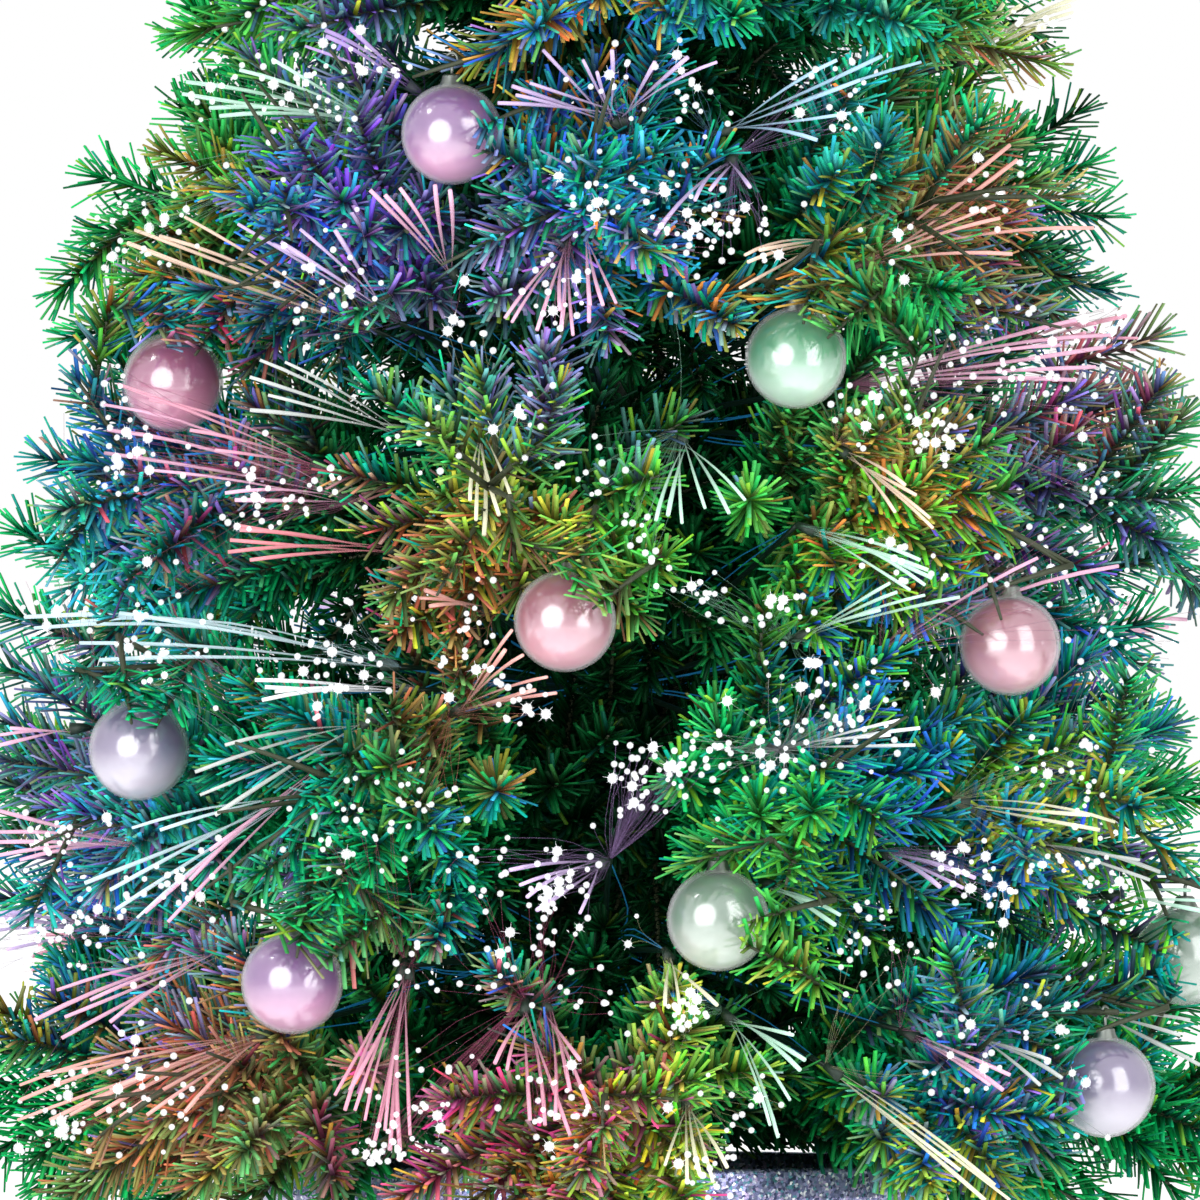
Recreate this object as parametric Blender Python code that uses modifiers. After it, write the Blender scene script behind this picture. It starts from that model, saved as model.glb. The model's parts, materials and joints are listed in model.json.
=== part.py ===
"""A fibre optic Christmas tree for a table or a floor corner, in metres, +Z up, at rest.

The pot holds a reflector lamp, a slow colour wheel with four filters, its motor and the wiring.
The trunk drops into the socket of the pot's deck, straight above the lamp. It carries whorls of
needle branches, fans of optical fibre between them, and balls that hang from twigs by open hooks.
"""

import math
import random

import bmesh
import bpy
from mathutils import Matrix, Vector

# Fits and cuts
FIT_GAP = 0.0003
CUT_OVERRUN = 0.002
MERGE = 0.000001

# The tree's outline
TREE_HEIGHT = 1.200
FOLIAGE_RADIUS = 0.262
FOLIAGE_FOOT_Z = 0.150
FOLIAGE_UNDER_TOP = 0.050
OUTLINE_POWER = 1.4

# Whorls of branches, from the lowest one up
FIRST_WHORL_Z = 0.190
LAST_WHORL_UNDER_TRUNK = 0.050
WHORL_BRANCHES = (8, 8, 7, 7, 6, 6, 5, 5, 4)
WHORL_RISE_DEG = (0, 4, 8, 13, 18, 24, 31, 40, 50)
WHORL_TURN_DEG = 22.5
BRANCH_WOBBLE_SHARE = 0.12
BRANCH_SHORTENING_SHARE = 0.07
OUTLINE_ROUNDS = 12
TOP_WHORL_REACH = 0.045
COLLAR_WALL = 0.005
COLLAR_HEIGHT = 0.014
COLLAR_STEPS = 12
STEM_RADIUS = 0.003
BRUSH_RADIUS = 0.0175
SIDE_BRUSH_RADIUS = 0.0155
SIDE_BRUSH_LENGTH = 0.110
LEAST_BRUSH = 0.030
SIDED_BRANCH_REACH = 0.135
BRUSH_STEP_SHARES = (0.55, 1.0)
BRUSH_WIDTH_SHARES = (1.0, 0.42)
SIDE_STEP_SHARES = (0.0, 0.60, 1.0)
SIDE_WIDTH_SHARES = (0.30, 1.0, 0.30)
SIDE_PLACE_SHARE = 0.42
SIDE_YAW_DEG = 36
SIDE_PITCH_DEG = 4
SIDE_LENGTH_SHARES = (1.0, 0.8, 0.6)
SIDE_BENDS = ((1.0, 0), (0.8, 0), (1.25, 0), (1.0, 8), (1.0, -8), (0.6, 4))
BRANCH_BENDS = (0.0, 0.1, -0.1, 0.2, -0.2, 0.3, -0.3)
BRANCH_LENGTH_SHARES = (1.0, 0.85, 0.7)

# Trunk and what it carries inside
TRUNK_RADIUS = 0.0125
TRUNK_WALL = 0.0015
BUNDLE_RADIUS = 0.0080
BUNDLE_UNDER_TRUNK = 0.060
FERRULE_HEIGHT = 0.024
FERRULE_FLANGE = 0.003
LEADER_HEIGHT = 0.120
LEADER_PLUG = 0.018
LEADER_RADIUS = 0.015
LEADER_SIDES_RISE = 0.028
LEADER_SIDE_LENGTH = 0.052
LEADER_SIDES = 4
LEADER_SIDE_RISE_DEG = 48
LEADER_SIDE_WIDTH_SHARE = 0.8

# Fans of fibre: how one is made
FAN_COLLAR_WALL = 0.0035
FAN_COLLAR_HEIGHT = 0.008
ARM_RADIUS = 0.0022
KNOT_ROOT_RADIUS = 0.0026
KNOT_RADIUS = 0.0038
KNOT_LENGTH = 0.008
FIBRES_ROUND_KNOT = 6
FIBRES_LEAST = 5
FIBRE_ROOT_RADIUS = 0.0018
FIBRE_TIP_SHARE = 0.5
FIBRE_LIFT_DEG = 9
FIBRE_END_SHARES = (0.84, 1.0)
FIBRE_LENGTH_SHARES = (1.0, 0.85, 0.7, 0.55, 0.4)
FIBRE_LEAST = 0.015
FIBRE_ROOM = 0.0006
FAN_ROOT_SHARES = (0.80, 0.74, 0.86, 0.68, 0.60)
FAN_TIP_SHARE = 0.97
FAN_LEVELS_TRIED = 3

# Fans of the back, the sides and the top, in the clear air between one whorl and the next
FANS_ON_LEVEL = (5, 5, 5, 5, 4, 4, 3, 2)
FAN_TURN_DEG = 38.25
FAN_LEANS_DEG = (58, -58, 62, -60, 56)
FAN_SPREAD_DEG = 20
FAN_LENGTH_SHARE = 0.42
FAN_LEAST_LENGTH = 0.034
FAN_MOST_LENGTH = 0.070
LEVELS_IN_PICTURE = 4

# What the picture of 1200 by 1200 shows, and from where
PICTURE_SCALE = 0.000400
PICTURE_AXIS_X = 605
PICTURE_EYE_Y = 600
EYE_Z = 0.382
EYE_AWAY = 8.0

# Fans in the picture: the root, then the two outer tips
FANS_IN_PICTURE = (
    ((385, 125), (220, 116), (272, 59)),
    ((425, 95), (305, 46), (350, 28)),
    ((375, 330), (128, 243), (185, 217)),
    ((400, 322), (238, 224), (335, 230)),
    ((420, 440), (268, 395), (285, 362)),
    ((622, 132), (512, 86), (612, 50)),
    ((636, 128), (655, 62), (717, 62)),
    ((712, 135), (837, 60), (817, 140)),
    ((570, 235), (505, 318), (573, 335)),
    ((592, 225), (592, 322), (616, 303)),
    ((460, 285), (370, 190), (450, 190)),
    ((735, 155), (655, 235), (750, 187)),
    ((832, 238), (745, 255), (740, 288)),
    ((848, 270), (1010, 145), (1012, 254)),
    ((850, 385), (1075, 320), (1075, 380)),
    ((358, 502), (105, 430), (235, 500)),
    ((330, 462), (120, 385), (215, 440)),
    ((405, 550), (235, 525), (250, 560)),
    ((400, 667), (120, 613), (100, 660)),
    ((420, 690), (265, 675), (262, 700)),
    ((90, 727), (0, 722), (0, 745)),
    ((380, 720), (225, 745), (215, 815)),
    ((480, 425), (470, 500), (511, 497)),
    ((680, 430), (656, 520), (745, 500)),
    ((495, 612), (425, 590), (430, 606)),
    ((450, 715), (512, 630), (556, 693)),
    ((835, 445), (905, 485), (916, 515)),
    ((797, 525), (920, 560), (925, 590)),
    ((790, 640), (890, 583), (940, 600)),
    ((880, 650), (1037, 558), (1080, 575)),
    ((780, 750), (900, 715), (915, 745)),
    ((160, 845), (0, 811), (20, 860)),
    ((310, 790), (132, 828), (137, 918)),
    ((235, 945), (57, 990), (110, 1022)),
    ((270, 1035), (40, 1075), (70, 1115)),
    ((285, 1045), (95, 1115), (185, 1112)),
    ((400, 960), (335, 1095), (400, 1150)),
    ((610, 860), (510, 870), (580, 913)),
    ((530, 1000), (495, 1063), (585, 1112)),
    ((665, 950), (665, 1005), (717, 1005)),
    ((722, 1010), (800, 1060), (770, 1125)),
    ((685, 1095), (665, 1165), (727, 1167)),
    ((950, 800), (1090, 815), (1100, 830)),
    ((875, 850), (940, 887), (975, 878)),
    ((1020, 840), (1140, 860), (1150, 880)),
    ((1100, 895), (1190, 890), (1200, 910)),
    ((1080, 1005), (1190, 1020), (1200, 1065)),
    ((900, 1030), (1003, 1090), (1010, 1075)),
    ((960, 1030), (1050, 1060), (1040, 1085)),
    ((825, 1065), (1010, 1200), (960, 1170)),
    ((760, 880), (840, 915), (820, 905)),
)
FAN_INSIDE = 0.010

# Hanging balls: where each one shows in the picture, and those at the back
BALLS_IN_PICTURE = (
    (452, 134),
    (173, 382),
    (796, 358),
    (565, 621),
    (1010, 645),
    (139, 750),
    (718, 920),
    (292, 983),
    (1105, 1087),
    (1185, 955),
)
BACK_BALL_TURN_DEG = (62, 118)
BACK_BALL_Z = (0.330, 0.500)
BALL_RADIUS = 0.020
BALL_INSET = 0.022
BALL_SIDES = 11
BALL_RINGS = 7
BALL_SWING_DEG = 15
BALL_ROOM = 0.003
CAP_RADIUS = 0.0052
CAP_HEIGHT = 0.005
CAP_SINK = 0.0015
HOOK_WIRE_RADIUS = 0.0007
HOOK_SHANK = 0.006
HOOK_SINK = 0.002
HOOK_POINTS = 5
HOOK_TURN_DEG = 250
TWIG_RADIUS = 0.0012
TWIG_RUN = 0.014
TWIG_END = 0.006
TWIG_START_SHARES = (0.35, 0.45, 0.55, 0.65, 0.75)

# Pot, foot plate and deck
FOOT_HEIGHT = 0.006
FOOT_RADIUS = 0.009
FOOT_TAPER = 0.0015
FOOT_PLACE_RADIUS = 0.088
FOOT_COUNT = 4
POT_TOP_Z = 0.158
POT_FOOT_RADIUS = 0.108
POT_RIM_RADIUS = 0.141
POT_WALL = 0.003
RIM_BAND = 0.013
RIM_STEP = 0.005
RIM_STEP_RISE = 0.003
RIM_ROUND = 0.0012
POT_STEPS = 32
PLATE_THICKNESS = 0.003
PLATE_SLOTS = 6
PLATE_SLOT_WIDTH = 0.004
PLATE_SLOT_INNER_RADIUS = 0.066
PLATE_SLOT_OUTER_RADIUS = 0.082
DECK_THICKNESS = 0.003
DECK_SLOTS = 8
DECK_SLOT_WIDTH = 0.005
DECK_SLOT_INNER_RADIUS = 0.060
DECK_SLOT_OUTER_RADIUS = 0.095
SOCKET_WALL = 0.0035
SOCKET_RISE = 0.016
SOCKET_LIP = 0.0025
SOCKET_LIP_WIDTH = 0.0020
SOCKET_OVER_WHEEL = 0.0015

# Lamp and its holder
HOLDER_RADIUS = 0.012
HOLDER_FLANGE_RADIUS = 0.020
HOLDER_FLANGE = 0.003
HOLDER_HEIGHT = 0.030
HOLDER_BORE_RADIUS = 0.0075
HOLDER_BORE_DEPTH = 0.010
LAMP_RADIUS = 0.0175
LAMP_NECK_RADIUS = 0.0065
LAMP_NECK = 0.011
LAMP_HEIGHT = 0.030
LAMP_WALL = 0.0015
LAMP_RIM = 0.003
CAPSULE_RADIUS = 0.0042
CAPSULE_HEIGHT = 0.016
REFLECTOR_STEPS = 3

# Colour wheel and its drive
WHEEL_AXIS_X = -0.045
WHEEL_OVER_LAMP = 0.006
WHEEL_TO_POT = 0.0065
WHEEL_THICKNESS = 0.0025
WHEEL_RIM = 0.0042
WINDOW_ROOM = 0.0013
SPOKE_WIDTH = 0.005
FILTER_THICKNESS = 0.001
FILTER_LAP = 0.0016
HUB_RADIUS = 0.0065
HUB_HEIGHT = 0.006
HUB_RISE = 0.001
SHAFT_RADIUS = 0.002
SHAFT_IN_MOTOR = 0.008
MOTOR_UNDER_HUB = 0.0015
MOTOR_RADIUS = 0.0215
MOTOR_HEIGHT = 0.016
MOTOR_BOSS_RADIUS = 0.005
MOTOR_BOSS = 0.002
BRACKET_THICKNESS = 0.002
BRACKET_WIDTH = 0.022
BRACKET_FOOT = 0.018
BRACKET_OUT = 0.004

# Rear panel with the inlet and the rocker switch
PANEL_WIDTH = 0.064
PANEL_HEIGHT = 0.034
PANEL_Z = 0.040
PANEL_PROUD = 0.002
INLET_X = 0.017
INLET_RADIUS = 0.0058
INLET_FLANGE_RADIUS = 0.0078
INLET_FLANGE = 0.0015
INLET_LENGTH = 0.013
INLET_BORE_RADIUS = 0.0029
INLET_BORE_DEPTH = 0.0095
INLET_PIN_RADIUS = 0.0010
SWITCH_X = -0.014
SWITCH_WIDTH = 0.0126
SWITCH_HEIGHT = 0.0190
SWITCH_DEPTH = 0.014
SWITCH_WALL = 0.0012
BEZEL_LAP = 0.0015
BEZEL_THICKNESS = 0.0016
ROCKER_TILT_DEG = 7
ROCKER_STEPS = 8
ROCKER_BAY_SIDES = 24
ROCKER_PROUD = 0.0026
TERMINAL_SIZE = (0.026, 0.012, 0.010)
TERMINAL_PLACE = (0.022, 0.058)
TERMINAL_WELLS = 3
TERMINAL_WELL_RADIUS = 0.0024
TERMINAL_WELL_DEPTH = 0.006
LEAD_RADIUS = 0.0016
LEAD_STEP = 0.009
LEAD_RUN = 0.008
LEAD_SWING = 0.012

# What follows from the sizes above
PLATE_TOP_Z = FOOT_HEIGHT + PLATE_THICKNESS
HOLDER_Z = PLATE_TOP_Z + FIT_GAP
LAMP_Z = HOLDER_Z + HOLDER_HEIGHT - HOLDER_BORE_DEPTH + FIT_GAP
LAMP_TOP_Z = LAMP_Z + LAMP_NECK + LAMP_HEIGHT
WHEEL_Z = LAMP_TOP_Z + WHEEL_OVER_LAMP
WHEEL_TOP_Z = WHEEL_Z + WHEEL_THICKNESS + FIT_GAP + FILTER_THICKNESS
SOCKET_Z = WHEEL_TOP_Z + SOCKET_OVER_WHEEL
TRUNK_Z = SOCKET_Z + SOCKET_LIP + FIT_GAP
TRUNK_TOP_Z = TREE_HEIGHT - LEADER_HEIGHT
FOLIAGE_TOP_Z = TREE_HEIGHT - FOLIAGE_UNDER_TOP
BUNDLE_TOP_Z = TRUNK_TOP_Z - BUNDLE_UNDER_TRUNK
LEADER_SIDE_Z = TRUNK_TOP_Z + LEADER_SIDES_RISE
LAST_WHORL_Z = TRUNK_TOP_Z - LAST_WHORL_UNDER_TRUNK
WHORL_PITCH = (LAST_WHORL_Z - FIRST_WHORL_Z) / (len(WHORL_BRANCHES) - 1)
LEDGE_Z = POT_TOP_Z - RIM_BAND
DECK_Z = LEDGE_Z + FIT_GAP
DECK_TOP_Z = DECK_Z + DECK_THICKNESS
SOCKET_RADIUS = TRUNK_RADIUS + FIT_GAP
MOTOR_TOP_Z = WHEEL_Z - HUB_HEIGHT - MOTOR_UNDER_HUB
MOTOR_Z = MOTOR_TOP_Z - MOTOR_BOSS - MOTOR_HEIGHT
COLLAR_BORE_RADIUS = (TRUNK_RADIUS + FIT_GAP) / math.cos(math.pi / COLLAR_STEPS)
PIVOT_TO_BALL = BALL_RADIUS - CAP_SINK + CAP_HEIGHT + HOOK_SHANK
PANEL_TOP_Z = PANEL_Z + PANEL_HEIGHT / 2


def clear_scene():
    for obj in list(bpy.data.objects):
        bpy.data.objects.remove(obj, do_unlink=True)


def new_collection(name):
    found = bpy.data.collections.new(name)
    bpy.context.scene.collection.children.link(found)
    return found


def material(name, colour, roughness, metallic=0.0, alpha=1.0):
    made = bpy.data.materials.new(name)
    made.use_nodes = True
    shader = made.node_tree.nodes["Principled BSDF"]
    shader.inputs["Base Color"].default_value = (*colour, 1.0)
    shader.inputs["Roughness"].default_value = roughness
    shader.inputs["Metallic"].default_value = metallic
    shader.inputs["Alpha"].default_value = alpha
    made.diffuse_color = (*colour, alpha)
    return made


def make_materials():
    return {
        "pot": material("glitter_pot", (0.24, 0.27, 0.42), 0.35),
        "deck": material("black_plastic", (0.03, 0.03, 0.035), 0.55),
        "rubber": material("black_rubber", (0.02, 0.02, 0.02), 0.85),
        "holder": material("white_ceramic", (0.82, 0.80, 0.76), 0.5),
        "lamp": material("lamp_reflector", (0.86, 0.87, 0.90), 0.12, 1.0),
        "wheel": material("wheel_plastic", (0.90, 0.90, 0.88), 0.5),
        "red": material("filter_red", (0.80, 0.06, 0.12), 0.1, 0.0, 0.6),
        "blue": material("filter_blue", (0.08, 0.16, 0.85), 0.1, 0.0, 0.6),
        "green": material("filter_green", (0.05, 0.62, 0.25), 0.1, 0.0, 0.6),
        "amber": material("filter_amber", (0.95, 0.60, 0.08), 0.1, 0.0, 0.6),
        "steel": material("zinc_steel", (0.62, 0.62, 0.60), 0.35, 1.0),
        "lead": material("lead_sheath", (0.05, 0.05, 0.055), 0.5),
        "trunk": material("trunk_paint", (0.05, 0.16, 0.08), 0.45, 0.3),
        "brass": material("ferrule_brass", (0.75, 0.58, 0.28), 0.3, 1.0),
        "fibre": material("optical_fibre", (0.86, 0.82, 0.95), 0.15, 0.0, 0.7),
        "needles": material("pine_needles", (0.02, 0.30, 0.12), 0.6),
        "rose": material("pearl_rose", (0.74, 0.42, 0.62), 0.15),
        "mint": material("pearl_mint", (0.44, 0.72, 0.56), 0.15),
        "silver": material("pearl_silver", (0.66, 0.62, 0.74), 0.15),
    }


def add_object(name, mesh, paint, place=(0, 0, 0), parent=None, turn=None):
    obj = bpy.data.objects.new(name, mesh)
    PARTS.objects.link(obj)
    if paint is not None:
        mesh.materials.append(paint)
    obj.location = place
    if turn is not None:
        obj.rotation_euler = turn
    if parent is not None:
        obj.parent = parent
        obj.location = Vector(place) - parent.location
    return obj


def as_cutter(obj):
    PARTS.objects.unlink(obj)
    CUTTERS.objects.link(obj)
    obj.hide_render = True
    obj.display_type = "WIRE"
    return obj


def axis_empty(name, place):
    empty = bpy.data.objects.new(name, None)
    PARTS.objects.link(empty)
    empty.location = place
    return empty


def smooth(mesh, sharp_deg=35):
    mesh.shade_smooth()
    mesh.set_sharp_from_angle(angle=math.radians(sharp_deg))


def mesh_from(bm, name):
    mesh = bpy.data.meshes.new(name)
    bm.to_mesh(mesh)
    bm.free()
    return mesh


def on_circle(radius, count, start=0.0, sweep=math.tau, middle=(0.0, 0.0)):
    """Points round a circle, or both ends and the points between them of an arc."""
    gaps = count if sweep == math.tau else count - 1
    angles = (start + sweep * k / gaps for k in range(count))
    return [(middle[0] + radius * math.cos(a), middle[1] + radius * math.sin(a)) for a in angles]


def turned(name, profile, paint, place=(0, 0, 0), parent=None, steps=24, closed=True, turn=None):
    """A profile of (radius, height) points, running down its outer side, turned about Z."""
    mesh = bpy.data.meshes.new(name)
    points = [(radius, 0.0, height) for radius, height in profile]
    edges = [(k, k + 1) for k in range(len(points) - 1)]
    if closed:
        edges.append((len(points) - 1, 0))
    mesh.from_pydata(points, edges, [])
    obj = add_object(name, mesh, paint, place, parent, turn)
    screw = obj.modifiers.new("turn", "SCREW")
    screw.axis = "Z"
    screw.steps = steps
    screw.render_steps = steps
    screw.use_merge_vertices = True
    screw.merge_threshold = MERGE
    screw.use_smooth_shade = True
    return obj


def block(name, size, paint, place, parent=None):
    bm = bmesh.new()
    bmesh.ops.create_cube(bm, size=1.0)
    bmesh.ops.scale(bm, vec=Vector(size), verts=bm.verts)
    return add_object(name, mesh_from(bm, name), paint, place, parent)


def cylinder(name, radius, depth, paint, place, axis="Z", sides=20, parent=None):
    """A cylinder whose middle is at place."""
    bm = bmesh.new()
    bmesh.ops.create_cone(
        bm, cap_ends=True, segments=sides, radius1=radius, radius2=radius, depth=depth
    )
    if axis == "Y":
        bmesh.ops.rotate(bm, matrix=Matrix.Rotation(math.pi / 2, 3, "X"), verts=bm.verts)
    if axis == "X":
        bmesh.ops.rotate(bm, matrix=Matrix.Rotation(math.pi / 2, 3, "Y"), verts=bm.verts)
    mesh = mesh_from(bm, name)
    smooth(mesh)
    return add_object(name, mesh, paint, place, parent)


def curve_mesh(curve, name):
    """The welded mesh of a curve, which is then removed."""
    holder = bpy.data.objects.new(name + "_curve", curve)
    PARTS.objects.link(holder)
    graph = bpy.context.evaluated_depsgraph_get()
    mesh = bpy.data.meshes.new_from_object(holder.evaluated_get(graph))
    bpy.data.objects.remove(holder, do_unlink=True)
    bpy.data.curves.remove(curve)
    bm = bmesh.new()
    bm.from_mesh(mesh)
    bmesh.ops.remove_doubles(bm, verts=bm.verts, dist=MERGE)
    bmesh.ops.recalc_face_normals(bm, faces=bm.faces)
    bm.to_mesh(mesh)
    bm.free()
    mesh.name = name
    mesh.materials.clear()
    return mesh


def plate(name, outlines, thickness, paint, place, parent=None, turn=None):
    """A flat outline with its holes, extruded. Its middle plane is at place."""
    curve = bpy.data.curves.new(name, "CURVE")
    curve.dimensions = "2D"
    curve.fill_mode = "BOTH"
    curve.extrude = thickness / 2
    for outline in outlines:
        spline = curve.splines.new("POLY")
        spline.points.add(len(outline) - 1)
        for point, (x, y) in zip(spline.points, outline):
            point.co = (x, y, 0.0, 1.0)
        spline.use_cyclic_u = True
    mesh = curve_mesh(curve, name)
    smooth(mesh)
    return add_object(name, mesh, paint, place, parent, turn)


def strokes_mesh(name, strokes, round_steps):
    """One mesh of many tapered tubes. A stroke is a list of (point, radius)."""
    curve = bpy.data.curves.new(name, "CURVE")
    curve.dimensions = "3D"
    curve.fill_mode = "FULL"
    curve.use_fill_caps = True
    curve.bevel_depth = 1.0
    curve.bevel_resolution = round_steps
    for stroke in strokes:
        spline = curve.splines.new("POLY")
        spline.points.add(len(stroke) - 1)
        for point, (place, radius) in zip(spline.points, stroke):
            point.co = (*place, 1.0)
            point.radius = radius
    return curve_mesh(curve, name)


def join(target, other, operation, self_too=False):
    made = target.modifiers.new(operation.lower(), "BOOLEAN")
    made.operation = operation
    made.solver = "EXACT"
    made.use_self = self_too
    made.object = other
    return made


def cut(target, cutter):
    join(target, as_cutter(cutter), "DIFFERENCE")


def add(target, piece):
    join(target, as_cutter(piece), "UNION")


def boxes_cutter(name, boxes):
    """Several boxes, each (size, place, turn about Z), as one cutter."""
    bm = bmesh.new()
    for size, place, turn in boxes:
        start = len(bm.verts)
        bmesh.ops.create_cube(bm, size=1.0)
        bm.verts.ensure_lookup_table()
        verts = bm.verts[start:]
        bmesh.ops.scale(bm, vec=Vector(size), verts=verts)
        matrix = Matrix.Translation(place)
        bmesh.ops.transform(bm, matrix=Matrix.Rotation(turn, 4, "Z") @ matrix, verts=verts)
    return add_object(name, mesh_from(bm, name), None)


def radial_slots(name, count, width, inner, outer, z, height):
    """Slots that lie along spokes, through a plate round z."""
    size = (outer - inner, width, height + 2 * CUT_OVERRUN)
    middle = ((inner + outer) / 2, 0.0, z)
    turns = (math.tau * (k + 0.5) / count for k in range(count))
    return boxes_cutter(name, [(size, middle, turn) for turn in turns])


def pot_radius(z):
    """The outside of the pot's sloping wall at a height."""
    share = (z - FOOT_HEIGHT) / (LEDGE_Z - RIM_STEP_RISE - FOOT_HEIGHT)
    return POT_FOOT_RADIUS + (POT_RIM_RADIUS - RIM_STEP - POT_FOOT_RADIUS) * share


def panel_face_y():
    return pot_radius(PANEL_TOP_Z) + PANEL_PROUD


def make_pot(paints):
    """The tapered shell with its rolled rim, the ledge for the deck and the flat rear panel."""
    neck = POT_RIM_RADIUS - RIM_STEP
    profile = [
        (POT_RIM_RADIUS - RIM_ROUND, POT_TOP_Z),
        (POT_RIM_RADIUS, POT_TOP_Z - RIM_ROUND),
        (POT_RIM_RADIUS, LEDGE_Z),
        (neck, LEDGE_Z - RIM_STEP_RISE),
        (POT_FOOT_RADIUS, FOOT_HEIGHT),
        (POT_FOOT_RADIUS - POT_WALL, FOOT_HEIGHT),
        (neck - POT_WALL, LEDGE_Z - RIM_STEP_RISE),
        (neck - POT_WALL, LEDGE_Z),
        (POT_RIM_RADIUS - POT_WALL, LEDGE_Z),
        (POT_RIM_RADIUS - POT_WALL, POT_TOP_Z - RIM_ROUND),
    ]
    pot = turned("pot_shell", profile, paints["pot"], steps=POT_STEPS)
    face = panel_face_y()
    side = PANEL_WIDTH / 2
    back = math.sqrt(pot_radius(PANEL_Z - PANEL_HEIGHT / 2) ** 2 - side**2) - POT_WALL
    depth = face - back
    panel = block(
        "panel_body",
        (PANEL_WIDTH, depth, PANEL_HEIGHT),
        None,
        (0.0, back + depth / 2, PANEL_Z),
    )
    add(pot, panel)
    pocket_depth = depth + PANEL_WIDTH / 2
    pocket = block(
        "panel_pocket",
        (PANEL_WIDTH - 2 * POT_WALL, pocket_depth, PANEL_HEIGHT - 2 * POT_WALL),
        None,
        (0.0, face - POT_WALL - pocket_depth / 2, PANEL_Z),
    )
    cut(pot, pocket)
    through = POT_WALL + 2 * CUT_OVERRUN
    hole_y = face - POT_WALL / 2
    switch_hole = block(
        "switch_hole",
        (SWITCH_WIDTH + 2 * FIT_GAP, through, SWITCH_HEIGHT + 2 * FIT_GAP),
        None,
        (SWITCH_X, hole_y, PANEL_Z),
    )
    cut(pot, switch_hole)
    inlet_hole = cylinder(
        "inlet_hole", INLET_RADIUS + FIT_GAP, through, None, (INLET_X, hole_y, PANEL_Z), "Y"
    )
    cut(pot, inlet_hole)
    return pot


def make_foot_plate(paints):
    radius = POT_FOOT_RADIUS - POT_WALL - FIT_GAP
    outlines = [on_circle(radius, POT_STEPS)]
    made = plate(
        "base_plate",
        outlines,
        PLATE_THICKNESS,
        paints["deck"],
        (0.0, 0.0, FOOT_HEIGHT + PLATE_THICKNESS / 2),
    )
    slots = radial_slots(
        "plate_slots",
        PLATE_SLOTS,
        PLATE_SLOT_WIDTH,
        PLATE_SLOT_INNER_RADIUS,
        PLATE_SLOT_OUTER_RADIUS,
        FOOT_HEIGHT + PLATE_THICKNESS / 2,
        PLATE_THICKNESS,
    )
    cut(made, slots)
    foot_profile = [
        (0.0, FOOT_HEIGHT - FIT_GAP),
        (FOOT_RADIUS, FOOT_HEIGHT - FIT_GAP),
        (FOOT_RADIUS - FOOT_TAPER, 0.0),
        (0.0, 0.0),
    ]
    places = on_circle(FOOT_PLACE_RADIUS, FOOT_COUNT, math.tau / FOOT_COUNT / 2)
    for index, (x, y) in enumerate(places):
        turned(
            f"foot_{index + 1}", foot_profile, paints["rubber"], (x, y, 0.0), steps=12, closed=False
        )


def make_deck(paints):
    """The pot's lid, with the socket for the trunk and a lip that the trunk's end stands on."""
    outer = SOCKET_RADIUS + SOCKET_WALL
    lip = SOCKET_RADIUS - SOCKET_LIP_WIDTH - FIT_GAP
    profile = [
        (outer, DECK_TOP_Z + SOCKET_RISE),
        (outer, DECK_TOP_Z),
        (POT_RIM_RADIUS - POT_WALL - FIT_GAP, DECK_TOP_Z),
        (POT_RIM_RADIUS - POT_WALL - FIT_GAP, DECK_Z),
        (outer, DECK_Z),
        (outer, SOCKET_Z),
        (lip, SOCKET_Z),
        (lip, SOCKET_Z + SOCKET_LIP),
        (SOCKET_RADIUS, SOCKET_Z + SOCKET_LIP),
        (SOCKET_RADIUS, DECK_TOP_Z + SOCKET_RISE),
    ]
    deck = turned("pot_deck", profile, paints["deck"], steps=POT_STEPS)
    slots = radial_slots(
        "deck_slots",
        DECK_SLOTS,
        DECK_SLOT_WIDTH,
        DECK_SLOT_INNER_RADIUS,
        DECK_SLOT_OUTER_RADIUS,
        DECK_Z + DECK_THICKNESS / 2,
        DECK_THICKNESS,
    )
    cut(deck, slots)


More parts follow.
